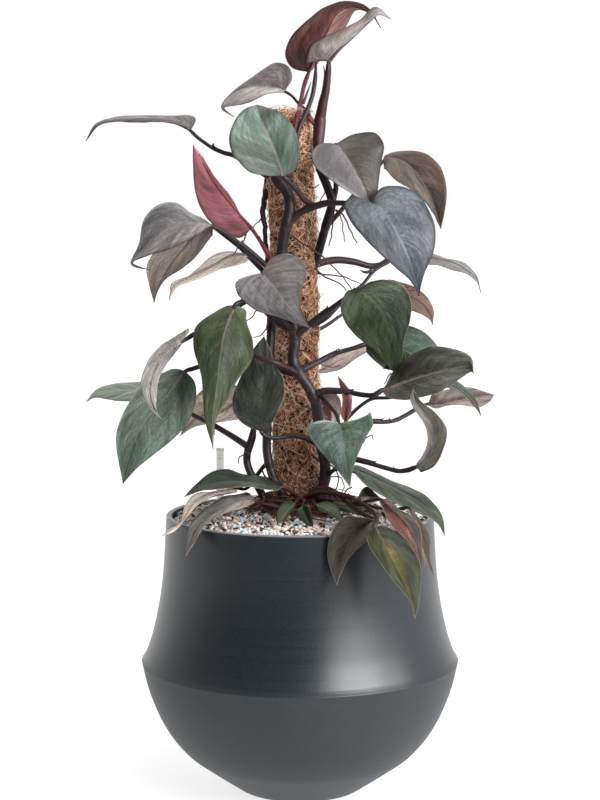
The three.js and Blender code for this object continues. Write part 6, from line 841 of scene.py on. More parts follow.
    'leaf_20': {'ua': (116, 132, 118), 'ub': (78, 94, 80), 'na': (114, 90, 84), 'nb': (114, 94, 86), 'utipa': 0.45, 'utipb': 0.72, 'ubasea': 0.45, 'ubaseb': 0.62, 'nbasea': 1.45, 'nbaseb': 1.5, 'urima': 1.9, 'urimb': 0.97, 'umidg': 0.63, 'spec': 0.12, 'ustreak': 0.42, 'uspeck': 0.42, 'ugrain': 0.4, 'uband': 0.67, 'ucloud': 0.5, 'nstreak': 0.39, 'nspeck': 0.42, 'ngrain': 0.44, 'nband': 0.58, 'ncloud': 0.42},
    'leaf_21': {'ua': (148, 162, 146), 'ub': (158, 174, 154), 'na': (116, 94, 86), 'nb': (120, 98, 90), 'utipa': 1.42, 'utipb': 1.07, 'nbasea': 0.65, 'nbaseb': 0.55, 'urimb': 0.65, 'umidg': 0.85, 'ustreak': 0.36, 'uspeck': 0.28, 'ugrain': 0.33, 'uband': 0.67, 'ucloud': 0.5, 'nstreak': 0.34, 'nspeck': 0.28, 'ngrain': 0.35, 'nband': 0.58, 'ncloud': 0.42},
    'leaf_22': {'ua': (72, 78, 68), 'ub': (52, 56, 50), 'na': (118, 96, 88), 'nb': (112, 92, 84), 'utipa': 1.81, 'utipb': 0.45, 'ubasea': 0.45, 'ubaseb': 1.9, 'nbasea': 0.65, 'nbaseb': 1.5, 'urima': 0.69, 'urimb': 1.9, 'umidg': 1.51, 'spec': 0.12, 'ustreak': 0.42, 'uspeck': 0.43, 'ugrain': 0.41, 'uband': 0.67, 'ucloud': 0.5, 'nstreak': 0.39, 'nspeck': 0.43, 'ngrain': 0.44, 'nband': 0.58, 'ncloud': 0.42},
    'leaf_23': {'ua': (84, 96, 88), 'ub': (84, 96, 88), 'na': (228, 214, 202), 'nb': (228, 204, 194), 'ntipa': 0.65, 'ntipb': 0.55, 'nmidg': 0.76, 'ustreak': 0.42, 'uspeck': 0.43, 'ugrain': 0.41, 'uband': 0.67, 'ucloud': 0.5, 'nstreak': 0.39, 'nspeck': 0.43, 'ngrain': 0.44, 'nband': 0.58, 'ncloud': 0.42},
    'leaf_24': {'ua': (74, 74, 68), 'ub': (54, 52, 48), 'na': (116, 94, 86), 'nb': (120, 100, 92), 'utipa': 1.9, 'utipb': 1.82, 'ubasea': 1.5, 'ubaseb': 1.5, 'nbasea': 0.82, 'nbaseb': 0.55, 'urima': 0.68, 'urimb': 1.9, 'umidg': 0.82, 'spec': 0.12, 'ustreak': 0.42, 'uspeck': 0.43, 'ugrain': 0.41, 'uband': 0.67, 'ucloud': 0.5, 'nstreak': 0.39, 'nspeck': 0.43, 'ngrain': 0.44, 'nband': 0.58, 'ncloud': 0.42},
    'leaf_25': {'ua': (116, 136, 126), 'ub': (70, 86, 72), 'na': (118, 96, 88), 'nb': (118, 96, 88), 'utipa': 0.71, 'utipb': 0.45, 'ubasea': 0.95, 'ubaseb': 1.9, 'nbasea': 0.65, 'nbaseb': 0.67, 'urima': 1.9, 'urimb': 1.9, 'umidg': 0.67, 'ustreak': 0.42, 'uspeck': 0.43, 'ugrain': 0.41, 'uband': 0.67, 'ucloud': 0.5, 'nstreak': 0.39, 'nspeck': 0.43, 'ngrain': 0.44, 'nband': 0.58, 'ncloud': 0.42},
    'leaf_26': {'ua': (134, 132, 120), 'ub': (228, 222, 216), 'na': (116, 94, 86), 'nb': (112, 90, 84), 'utipa': 0.65, 'utipb': 0.65, 'ubasea': 0.55, 'ubaseb': 0.55, 'nbasea': 1.45, 'nbaseb': 1.5, 'urima': 0.65, 'umidg': 0.66, 'spec': 0.12, 'ustreak': 0.42, 'uspeck': 0.43, 'ugrain': 0.41, 'uband': 0.67, 'ucloud': 0.5, 'nstreak': 0.39, 'nspeck': 0.43, 'ngrain': 0.44, 'nband': 0.58, 'ncloud': 0.42},
    'leaf_27': {'ua': (84, 96, 88), 'ub': (84, 96, 88), 'na': (114, 108, 100), 'nb': (134, 122, 114), 'ntipa': 0.59, 'ntipb': 0.65, 'nrima': 1.45, 'nmidg': 0.5, 'ustreak': 0.42, 'uspeck': 0.43, 'ugrain': 0.41, 'uband': 0.67, 'ucloud': 0.5, 'nstreak': 0.39, 'nspeck': 0.43, 'ngrain': 0.44, 'nband': 0.58, 'ncloud': 0.42},
    'leaf_28': {'ua': (170, 180, 162), 'ub': (48, 62, 54), 'na': (114, 92, 84), 'nb': (110, 92, 84), 'utipa': 0.55, 'utipb': 0.55, 'ntipa': 0.55, 'ntipb': 0.55, 'nbasea': 0.65, 'nbaseb': 0.55, 'umidg': 0.74, 'ustreak': 0.34, 'uspeck': 0.24, 'ugrain': 0.24, 'uband': 0.42, 'ucloud': 0.31, 'nstreak': 0.32, 'nspeck': 0.24, 'ngrain': 0.26, 'nband': 0.36, 'ncloud': 0.26},
    'leaf_29': {'ua': (200, 134, 136), 'ub': (78, 38, 30), 'na': (124, 102, 96), 'nb': (120, 100, 92), 'utipa': 0.64, 'utipb': 0.64, 'nbasea': 0.8, 'nbaseb': 0.55, 'urimb': 1.45, 'ustreak': 0.34, 'uspeck': 0.24, 'ugrain': 0.24, 'uband': 0.42, 'ucloud': 0.31, 'nstreak': 0.32, 'nspeck': 0.24, 'ngrain': 0.26, 'nband': 0.36, 'ncloud': 0.26},
    'leaf_30': {'ua': (82, 94, 86), 'ub': (82, 94, 86), 'na': (226, 210, 198), 'nb': (200, 190, 186), 'nmidg': 1.45, 'ustreak': 0.42, 'uspeck': 0.43, 'ugrain': 0.41, 'uband': 0.67, 'ucloud': 0.5, 'nstreak': 0.39, 'nspeck': 0.43, 'ngrain': 0.44, 'nband': 0.58, 'ncloud': 0.42},
    'leaf_31': {'na': (206, 196, 188), 'nb': (158, 110, 110), 'stalk': 'low', 'nbasea': 0.55, 'nbaseb': 0.55, 'ustreak': 0.34, 'uspeck': 0.24, 'ugrain': 0.24, 'uband': 0.42, 'ucloud': 0.31, 'nstreak': 0.32, 'nspeck': 0.24, 'ngrain': 0.26, 'nband': 0.36, 'ncloud': 0.26},
    'leaf_32': {'ua': (40, 50, 40), 'ub': (66, 72, 58), 'na': (120, 98, 90), 'nb': (120, 98, 90), 'stalk': 'low', 'utipa': 1.06, 'utipb': 1.19, 'nbasea': 1.3, 'nbaseb': 1.3, 'urimb': 1.02, 'umidg': 1.21, 'ustreak': 0.42, 'uspeck': 0.43, 'ugrain': 0.41, 'uband': 0.67, 'ucloud': 0.5, 'nstreak': 0.39, 'nspeck': 0.43, 'ngrain': 0.44, 'nband': 0.58, 'ncloud': 0.42},
    'leaf_33': {'na': (224, 208, 194), 'nb': (210, 198, 186), 'stalk': 'low', 'glow': 0.3, 'nrimb': 0.69, 'nmidg': 0.85, 'ustreak': 0.42, 'uspeck': 0.43, 'ugrain': 0.32, 'uband': 0.41, 'ucloud': 0.31, 'nstreak': 0.39, 'nspeck': 0.43, 'ngrain': 0.35, 'nband': 0.35, 'ncloud': 0.26},
    'leaf_34': {'ua': (112, 110, 108), 'ub': (146, 136, 128), 'na': (120, 98, 90), 'nb': (120, 98, 90), 'stalk': 'low', 'utipa': 0.83, 'utipb': 0.65, 'ubasea': 1.45, 'ubaseb': 0.89, 'nbasea': 0.55, 'nbaseb': 0.55, 'urimb': 0.65, 'umidg': 0.73, 'ustreak': 0.42, 'uspeck': 0.43, 'ugrain': 0.41, 'uband': 0.67, 'ucloud': 0.5, 'nstreak': 0.39, 'nspeck': 0.43, 'ngrain': 0.44, 'nband': 0.58, 'ncloud': 0.42},
    'leaf_35': {'ua': (56, 64, 50), 'ub': (60, 72, 54), 'na': (114, 92, 86), 'nb': (116, 94, 86), 'stalk': 'low', 'utipa': 0.65, 'utipb': 0.65, 'ubasea': 0.55, 'ubaseb': 0.55, 'nbasea': 0.65, 'nbaseb': 0.55, 'urima': 1.26, 'umidg': 0.52, 'ustreak': 0.42, 'uspeck': 0.43, 'ugrain': 0.41, 'uband': 0.67, 'ucloud': 0.5, 'nstreak': 0.39, 'nspeck': 0.43, 'ngrain': 0.44, 'nband': 0.58, 'ncloud': 0.42},
    'leaf_36': {'ua': (60, 54, 48), 'ub': (98, 94, 84), 'na': (122, 100, 92), 'nb': (118, 98, 92), 'stalk': 'low', 'utipa': 1.45, 'utipb': 1.5, 'ubasea': 1.5, 'ubaseb': 1.5, 'nbasea': 1.45, 'nbaseb': 1.5, 'urima': 0.65, 'urimb': 0.65, 'umidg': 1.8, 'spec': 0.12, 'ustreak': 0.42, 'uspeck': 0.43, 'ugrain': 0.27, 'uband': 0.3, 'ucloud': 0.22, 'nstreak': 0.39, 'nspeck': 0.43, 'ngrain': 0.29, 'nband': 0.26, 'ncloud': 0.19},
    'leaf_37': {'ua': (50, 52, 32), 'ub': (48, 50, 40), 'na': (116, 96, 90), 'nb': (118, 96, 90), 'stalk': 'low', 'uzone': (112, 92, 48), 'uzonek': 0.28, 'uzonew': 0.3, 'spec': 0.06, 'urough': 0.6, 'nrough': 0.6, 'ubasea': 0.45, 'urima': 0.71, 'utipb': 1.5, 'ubaseb': 0.45, 'urimb': 0.88, 'umidg': 1.08, 'nbasea': 0.65, 'uribc': (120, 92, 62), 'uribk': 0.15, 'uribg': 0.95, 'ustreak': 0.32, 'uspeck': 0.2, 'ugrain': 0.24, 'uband': 0.51, 'ucloud': 0.38, 'nstreak': 0.3, 'nspeck': 0.2, 'ngrain': 0.26, 'nband': 0.44, 'ncloud': 0.32, 'patches': (('u', 0.48, 0.1, 0.17, 0.3, (86, 82, 44), 0.5),)},
    # leaf_38's first under-face patch, nearly black near the base, is a painted shadow
    'leaf_38': {'na': (62, 58, 54), 'nb': (76, 56, 52), 'stalk': 'low', 'ua': (74, 94, 88), 'ub': (74, 94, 88), 'glow': 0.12, 'spec': 0.06, 'urough': 0.6, 'nrough': 0.6, 'nribc': (150, 70, 66), 'nribk': 0.12, 'nrima': 0.76, 'nmidg': 0.97, 'nribg': 0.95, 'ustreak': 0.42, 'uspeck': 0.43, 'ugrain': 0.41, 'uband': 0.67, 'ucloud': 0.5, 'nstreak': 0.39, 'nspeck': 0.43, 'ngrain': 0.44, 'nband': 0.58, 'ncloud': 0.42, 'patches': (('n', 0.22, 0.35, 0.18, 0.5, (20, 12, 12), 0.7), ('n', 0.5, 0.3, 0.2, 0.4, (96, 60, 54), 0.6))},
    'leaf_39': {'na': (50, 42, 32), 'nb': (98, 88, 76), 'stalk': 'low', 'ntipa': 0.55, 'ntipb': 0.65, 'nrima': 1.45, 'ustreak': 0.34, 'uspeck': 0.24, 'ugrain': 0.24, 'uband': 0.42, 'ucloud': 0.31, 'nstreak': 0.32, 'nspeck': 0.24, 'ngrain': 0.26, 'nband': 0.36, 'ncloud': 0.26},
    'leaf_40': {'ua': (112, 106, 96), 'ub': (116, 110, 100), 'na': (118, 96, 88), 'nb': (118, 96, 88), 'stalk': 'low', 'nbasea': 1.5, 'nbaseb': 1.5, 'umidg': 0.5, 'ustreak': 0.34, 'uspeck': 0.24, 'ugrain': 0.24, 'uband': 0.42, 'ucloud': 0.31, 'nstreak': 0.32, 'nspeck': 0.24, 'ngrain': 0.26, 'nband': 0.36, 'ncloud': 0.26},
    'leaf_41': {'na': (120, 98, 90), 'nb': (120, 98, 90), 'nbasea': 1.42, 'nbaseb': 1.42, 'ustreak': 0.34, 'uspeck': 0.24, 'ugrain': 0.24, 'uband': 0.42, 'ucloud': 0.31, 'nstreak': 0.32, 'nspeck': 0.24, 'ngrain': 0.26, 'nband': 0.36, 'ncloud': 0.26},
    'leaf_42': {'na': (114, 92, 86), 'nb': (114, 92, 86), 'nbasea': 1.0, 'nbaseb': 1.0, 'sheath': 0.8, 'swell': 0.45, 'ustreak': 0.34, 'uspeck': 0.24, 'ugrain': 0.24, 'uband': 0.42, 'ucloud': 0.31, 'nstreak': 0.32, 'nspeck': 0.24, 'ngrain': 0.26, 'nband': 0.36, 'ncloud': 0.26},
    'leaf_43': {'na': (120, 98, 92), 'nb': (120, 98, 92), 'nbasea': 1.45, 'nbaseb': 1.5, 'ustreak': 0.34, 'uspeck': 0.24, 'ugrain': 0.24, 'uband': 0.42, 'ucloud': 0.31, 'nstreak': 0.32, 'nspeck': 0.24, 'ngrain': 0.26, 'nband': 0.36, 'ncloud': 0.26},
    'leaf_44': {'na': (122, 100, 92), 'nb': (122, 100, 92), 'nbasea': 1.45, 'nbaseb': 1.01, 'ustreak': 0.34, 'uspeck': 0.24, 'ugrain': 0.24, 'uband': 0.42, 'ucloud': 0.31, 'nstreak': 0.32, 'nspeck': 0.24, 'ngrain': 0.26, 'nband': 0.36, 'ncloud': 0.26},
    'leaf_45': {'na': (118, 96, 88), 'nb': (118, 96, 88), 'nbasea': 0.65, 'nbaseb': 1.5, 'ustreak': 0.34, 'uspeck': 0.24, 'ugrain': 0.24, 'uband': 0.42, 'ucloud': 0.31, 'nstreak': 0.32, 'nspeck': 0.24, 'ngrain': 0.26, 'nband': 0.36, 'ncloud': 0.26},
    'leaf_46': {'na': (120, 98, 90), 'nb': (120, 98, 90), 'nbasea': 1.45, 'nbaseb': 1.39, 'ustreak': 0.34, 'uspeck': 0.24, 'ugrain': 0.24, 'uband': 0.42, 'ucloud': 0.31, 'nstreak': 0.32, 'nspeck': 0.24, 'ngrain': 0.26, 'nband': 0.36, 'ncloud': 0.26},
    'leaf_47': {'na': (116, 94, 86), 'nb': (116, 94, 86), 'nbasea': 1.0, 'nbaseb': 1.0, 'ustreak': 0.34, 'uspeck': 0.24, 'ugrain': 0.24, 'uband': 0.42, 'ucloud': 0.31, 'nstreak': 0.32, 'nspeck': 0.24, 'ngrain': 0.26, 'nband': 0.36, 'ncloud': 0.26},
    'shoot_a': {'ua': (44, 56, 34), 'ub': (56, 66, 42), 'na': (70, 56, 44), 'nb': (70, 56, 44), 'edge': (70, 52, 44), 'uribc': (96, 84, 66), 'ustreak': 0.34, 'uspeck': 0.24, 'ugrain': 0.24, 'uband': 0.42, 'ucloud': 0.31, 'nstreak': 0.32, 'nspeck': 0.24, 'ngrain': 0.26, 'nband': 0.36, 'ncloud': 0.26},
    'shoot_b': {'ua': (44, 56, 34), 'ub': (56, 66, 42), 'na': (70, 56, 44), 'nb': (70, 56, 44), 'edge': (70, 52, 44), 'uribc': (96, 84, 66), 'ustreak': 0.34, 'uspeck': 0.24, 'ugrain': 0.24, 'uband': 0.42, 'ucloud': 0.31, 'nstreak': 0.32, 'nspeck': 0.24, 'ngrain': 0.26, 'nband': 0.36, 'ncloud': 0.26},
    'shoot_c': {'ua': (44, 56, 34), 'ub': (56, 66, 42), 'na': (70, 56, 44), 'nb': (70, 56, 44), 'edge': (70, 52, 44), 'uribc': (96, 84, 66), 'ustreak': 0.34, 'uspeck': 0.24, 'ugrain': 0.24, 'uband': 0.42, 'ucloud': 0.31, 'nstreak': 0.32, 'nspeck': 0.24, 'ngrain': 0.26, 'nband': 0.36, 'ncloud': 0.26},
    'shoot_d': {'ua': (44, 56, 34), 'ub': (56, 66, 42), 'na': (70, 56, 44), 'nb': (70, 56, 44), 'edge': (70, 52, 44), 'uribc': (96, 84, 66), 'ustreak': 0.34, 'uspeck': 0.24, 'ugrain': 0.24, 'uband': 0.42, 'ucloud': 0.31, 'nstreak': 0.32, 'nspeck': 0.24, 'ngrain': 0.26, 'nband': 0.36, 'ncloud': 0.26},
}

BAND_DARK, BAND_LIGHT = (11, 18, 23), (15, 23, 28)
BOWL_DARK, BOWL_LIGHT = (19, 25, 29), (26, 32, 36)
LIP_HIGHLIGHT = (108, 114, 119)
PLANTER_SPEC = 0.5
BAND_ROUGH, BOWL_ROUGH = 0.32, 0.50
FLOOR_GLOW = 0.80
FLOOR_TONE, FLOOR_TONE_2 = (140, 140, 140), (146, 146, 146)
WORLD_COLOR = (1.0, 1.0, 1.0)
WORLD_FALL = {"From Min": -0.85, "From Max": 0.6, "To Min": 0.07, "To Max": 1.0}



def leaf_material(name):
    """Upper and under face of one leaf: midrib, side veins, streaks, pale margin, darker or redder ends."""
    p = dict(DEFAULT)
    p.update(TONES.get(name, {}))
    seed = (sum(ord(ch) * (i + 3) for i, ch in enumerate(name)) % 97) * 1.7
    m = Mat("leaf_" + name.replace("leaf_", "tone_"), rough=0.4, specular=p["spec"])
    lt, lv, ls, ld, le = (m.attr(k) for k in ("lt", "lv", "ls", "ld", "le"))
    w = m.math("ABSOLUTE", lv)
    blotch = m.noise(m.vec(m.math("MULTIPLY", lt, 2.6), m.math("MULTIPLY", lv, 1.3), seed), 1.0, 3.0, 0.55)
    # side veins leave the midrib at an angle and bend towards the tip
    bend = m.math("MULTIPLY", m.math("POWER", w, 1.25), p["slope"])
    phase = m.math("SUBTRACT", m.math("MULTIPLY", lt, p["nv"]), bend)
    phase = m.math("ADD", phase, m.math("MULTIPLY", blotch, 0.5))
    phase = m.math("ADD", phase, m.step(lv, -0.001, 0.001, 0.0, 0.43))
    tri = m.math("ABSOLUTE", m.math("SUBTRACT", m.math("MULTIPLY", m.math("FRACT", phase), 2.0), 1.0))
    fade = m.step(w, 0.55, 1.0, 1.0, 0.15)
    vein = m.math("MULTIPLY", m.step(tri, 0.72, 1.0), fade)
    # painted shade: quilt makes each stripe between side veins a little darker or lighter, as the quilted surface is
    # shaded
    quilt = m.math("MULTIPLY", m.step(tri, 0.0, 1.0), fade)
    broad = m.noise(m.vec(m.math("MULTIPLY", phase, 1.15), m.math("MULTIPLY", w, 1.1), seed + 4.0), 1.0, 2.5, 0.6, 0.4)
    grainy = m.noise(m.vec(m.math("MULTIPLY", lt, 3.2), m.math("MULTIPLY", lv, 13.0), seed + 9.0), 1.0, 3.0, 0.62, 0.5)
    fine = m.noise(m.vec(m.math("MULTIPLY", phase, 5.0), m.math("MULTIPLY", w, 1.5), seed), 2.2, 5.0, 0.62)
    speck = m.noise(m.vec(m.math("MULTIPLY", lt, 40.0), m.math("MULTIPLY", lv, 14.0), seed), 1.0, 2.0, 0.6)
    rib_w = m.math("MULTIPLY", m.math("POWER", m.math("SUBTRACT", 1.02, lt), 0.7), p["ribw"])
    rib = m.math("SUBTRACT", 1.0, m.step(m.math("DIVIDE", ld, rib_w), 0.55, 1.25))
    edge = m.math("SUBTRACT", 1.0, m.step(le, 0.15, 0.9))
    wide_edge = m.math("SUBTRACT", 1.0, m.step(m.math("ADD", le, m.math("MULTIPLY", blotch, 5.0)), 2.5, 9.0))
    half = m.step(lv, p["split"] - 0.12, p["split"] + 0.12)
    # the noises with more contrast, centred on nought
    far = {k: m.math("SUBTRACT", m.step(v, 0.30, 0.70), 0.5) for k, v in
           (("streak", fine), ("band", broad), ("grain", grainy), ("cloud", blotch), ("speck", speck))}

    def face(k):
        c = m.mix(half, p[k + "a"], p[k + "b"])
        c = m.mix(m.step(lt, p[k + "tipat"], 1.0, 0.0, p[k + "tipk"]), c, p[k + "tip"])
        c = m.mix(m.step(lt, 0.0, p[k + "baseat"], p[k + "basek"], 0.0), c, p[k + "base"])
        c = m.mix(m.math("MULTIPLY", m.step(blotch, 0.40, 0.66), p[k + "mott"]), c, p[k + "2"])
        if p[k + "zonek"]:
            zone = m.math("MULTIPLY", m.step(w, 0.0, p[k + "zonew"], 1.0, 0.0), m.step(m.math("ADD", lt, m.math("MULTIPLY", blotch, 0.3)), 0.2, 0.5))
            c = m.mix(m.math("MULTIPLY", zone, p[k + "zonek"]), c, p[k + "zone"])
        for side, at, across, rt, rv, tint, much in p["patches"]:
            if side == k:
                dt = m.math("DIVIDE", m.math("SUBTRACT", m.math("ADD", lt, m.math("MULTIPLY", m.math("SUBTRACT", broad, 0.5), 0.16)), at), rt)
                dv = m.math("DIVIDE", m.math("SUBTRACT", m.math("ADD", lv, m.math("MULTIPLY", m.math("SUBTRACT", grainy, 0.5), 0.5)), across), rv)
                away = m.math("ADD", m.math("MULTIPLY", dt, dt), m.math("MULTIPLY", dv, dv))
                c = m.mix(m.step(away, 0.15, 1.35, much, 0.0), c, tint)

        def halves(key):
            a, b = p[k + key + "a"] - 1.0, p[k + key + "b"] - 1.0
            return a if a == b else m.math("ADD", m.math("MULTIPLY", half, b - a), a)

        # painted light and shade: the tip, base, rim and midrib gains darken or pale one half or end of the blade as
        # shade or sheen fell on it
        shade = m.math("ADD", m.math("MULTIPLY", m.step(lt, 0.5, 1.0), halves("tip")), 1.0)
        for gain in (m.math("ADD", m.math("MULTIPLY", m.step(lt, 0.0, 0.42, 1.0, 0.0), halves("base")), 1.0),
                     m.math("ADD", m.math("MULTIPLY", wide_edge, halves("rim")), 1.0),
                     m.math("ADD", m.math("MULTIPLY", rib, p[k + "ribg"] - 1.0), 1.0),
                     m.step(w, 0.0, 0.5, p[k + "midg"], 1.0),
                     *(m.math("ADD", m.math("MULTIPLY", v, p[k + n]), 1.0) for n, v in far.items()),
                     m.math("ADD", m.math("MULTIPLY", quilt, p[k + "quilt"]), 1.0),
                     m.math("ADD", m.math("MULTIPLY", vein, p[k + "veing"] - 1.0), 1.0)):
            shade = m.math("MULTIPLY", shade, gain)
        n = m.t.nodes.new("ShaderNodeVectorMath")
        n.operation = "SCALE"
        m.put(n.inputs[0], c)
        m.put(n.inputs["Scale"], shade)
        c = m.mix(m.math("MULTIPLY", rib, p[k + "ribk"]), n.outputs[0], p[k + "ribc"])
        return m.mix(m.math("MULTIPLY", edge, p["edgek"]), c, p["edge"])

    up, un = face("u"), face("n")
    side = m.step(ls, 0.35, 0.65)
    color = m.mix(side, un, up)
    rough = m.math("ADD", m.math("MULTIPLY", m.math("SUBTRACT", fine, 0.5), 0.16), m.step(ls, 0.35, 0.65, p["nrough"], p["urough"]))
    height = m.math("MULTIPLY", m.math("ADD", m.math("MULTIPLY", vein, 0.6), m.math("MULTIPLY", fine, 0.35)), m.step(ls, 0.35, 0.65, 1.0, -0.8))
    height = m.math("ADD", height, m.math("MULTIPLY", m.math("ADD", broad, m.math("MULTIPLY", grainy, 0.5)), p["crease"]))
    if p["glow"]:
        # painted light: thin pale leaves glow a little, standing in for the light that shines through them
        m.put(m.b.inputs["Emission Color"], color)
        m.b.inputs["Emission Strength"].default_value = p["glow"]
    return m.finish(color, rough, m.bump(height, 0.0007, 0.6))


def stalk_material(name, dark, light, red, rough=0.42):
    m = Mat(name, specular=0.32)
    s, ring = m.attr("sl"), m.attr("sn")
    o = m.object()
    long = m.noise(m.scale(o, (900, 900, 120)), 1.0, 3.0, 0.6)
    patch = m.noise(m.scale(o, (60, 60, 60)), 1.0, 2.0, 0.5)
    c = m.mix(m.step(long, 0.35, 0.8), dark, light)
    c = m.mix(m.math("MULTIPLY", m.step(patch, 0.45, 0.75), 0.4), c, red)
    c = m.mix(m.math("MULTIPLY", s, 0.6), c, red)
    c = m.mix(m.math("MULTIPLY", ring, 0.4), c, (104, 74, 70))
    r = m.math("ADD", m.math("MULTIPLY", long, 0.18), rough - 0.06)
    return m.finish(c, r, m.bump(long, 0.0005, 0.5))




# ------------------------------------------------------------------ leaves
STALK = stalk_material("stalk_dark", (26, 19, 24), (54, 43, 49), (58, 32, 36))
STALK_RED = stalk_material("stalk_red", (78, 32, 40), (140, 78, 86), (124, 44, 54))
STALK_WINE = stalk_material("stalk_wine", (24, 14, 18), (52, 26, 30), (72, 26, 30))
STALK_LOW = stalk_material("stalk_brown", (28, 17, 18), (58, 34, 32), (84, 36, 32))


def blade_surface(leaf, rows=44, cols=14):
    """Grid of the leaf's middle surface, rows along the midrib, columns from margin a to margin b, and its unit normals."""
    mid = np.array(leaf["mid"], float)
    a = np.vstack([mid[:1], leaf["a"], mid[-1:]])
    b = np.vstack([mid[:1], leaf["b"], mid[-1:]])
    x = np.linspace(0, 1, rows + 1)
    u = 8 * (0.62 * x + 0.38 * (1 - np.cos(np.pi * x)) / 2)
    m, pa, pb = spline(mid, u), spline(a, u), spline(b, u)
    across = unit(pb[1] - pa[1])
    pa[0], pb[0] = m[0] - across * 1.4, m[0] + across * 1.4
    across = unit(pb[-2] - pa[-2])
    pa[-1], pb[-1] = m[-1] - across * 0.25, m[-1] + across * 0.25
    tangent = unit(np.gradient(m, axis=0))
    v = np.linspace(-1, 1, 2 * cols + 1)
    v = np.sign(v) * np.abs(v) ** 0.92
    length = float(leaf["length"])
    seed = leaf["seed"]
    grid = np.zeros((rows + 1, len(v), 3))
    dist = np.zeros((rows + 1, len(v)))
    left = np.zeros((rows + 1, len(v)))
    ut = u / 8
    end = smooth01(ut, 0.0, 0.12) * (1 - smooth01(ut, 0.86, 1.0))
    for j, vj in enumerate(v):
        w = abs(vj)
        span = (pa if vj < 0 else pb) - m
        size = np.linalg.norm(span, axis=1)
        n = unit(np.cross(tangent, span * (-1 if vj < 0 else 1)))
        lift = 0.055 * 4 * w * (1 - w) * size
        groove = -0.55 * np.exp(-((w * size / 2.2) ** 2)) * end
        phase = ut * leaf["nv"] - leaf["slope"] * w**1.25
        ripple = -0.32 * np.cos(2 * np.pi * phase) * smooth01(w, 0.05, 0.35) * (1 - 0.6 * w) * end
        wave = 0.010 * length * w**3 * np.sin(2 * np.pi * (ut * leaf["waves"] + seed + (0.3 if vj < 0 else 0))) * end
        grid[:, j] = m + span * w + n * (lift + groove + ripple + wave)[:, None]
        dist[:, j] = w * size
        left[:, j] = (1 - w) * size
    du = np.gradient(grid, axis=0)
    dv = np.gradient(grid, axis=1)
    normal = unit(np.cross(du, dv))
    normal[0], normal[-1] = normal[1], normal[-2]
    return grid, normal, ut, v, dist, left, m, tangent


def add_blade(soup, leaf, rows=44, cols=14, slot=0):
    grid, normal, ut, v, dist, left, m, tangent = blade_surface(leaf, rows, cols)
    nr, nc = grid.shape[:2]
    half = 0.40 * (1 - 0.55 * np.abs(v) ** 4)[None, :, None]
    up, un = grid + normal * half, grid - normal * half
    lt = np.repeat(ut[:, None], nc, 1)
    lv = np.repeat(v[None, :], nr, 0)
    verts = np.vstack([up.reshape(-1, 3), un.reshape(-1, 3)])
    k = nr * nc
    i, j = np.meshgrid(np.arange(nr - 1), np.arange(nc - 1), indexing="ij")
    i, j = i.reshape(-1), j.reshape(-1)
    q = np.stack([i * nc + j, (i + 1) * nc + j, (i + 1) * nc + j + 1, i * nc + j + 1], 1)
    r = q[:, ::-1] + k
    i = np.arange(nr - 1)
    ea = np.stack([i * nc, i * nc + k, (i + 1) * nc + k, (i + 1) * nc], 1)
    eb = np.stack([i * nc + nc - 1, (i + 1) * nc + nc - 1, (i + 1) * nc + nc - 1 + k, i * nc + nc - 1 + k], 1)
    j = np.arange(nc - 1)
    e0 = np.stack([j, j + 1, j + 1 + k, j + k], 1)
    t0 = (nr - 1) * nc
    e1 = np.stack([t0 + j, t0 + j + k, t0 + j + 1 + k, t0 + j + 1], 1)
    both = lambda x: np.r_[x.reshape(-1), x.reshape(-1)]
    soup.add(verts, [q, r, ea, eb, e0, e1], slot, lt=both(lt), lv=both(lv), ld=both(dist), le=both(left),
             ls=np.r_[np.ones(k), np.zeros(k)])
    # the midrib stands proud of the under side
    c = nc // 2
    keep = ut < 0.93
    n = normal[:, c]
    # where the halves fold down like a roof, what lies under the ridge must hang lower to stay hidden
    drop = np.max([-np.sum(unit(grid[:, c + s] - grid[:, c]) * n, axis=1) for s in (-3, 3)], axis=0)
    deep = 1 / np.sqrt(1 - np.clip(drop, 0, 0.93) ** 2)
    r = leaf["r"] * 0.56 * (1 - ut) ** 0.75 + 0.26
    path = (grid[:, c] - n * (0.30 + (0.45 + 0.75 * (deep - 1)) * r)[:, None])[keep]
    tube(soup, path, r[keep], 8, slot, lt=ut[keep], lv=0.0, ld=0.0, le=9.0, ls=0.0)
    return grid[:, c], normal[:, c] * deep[:, None]


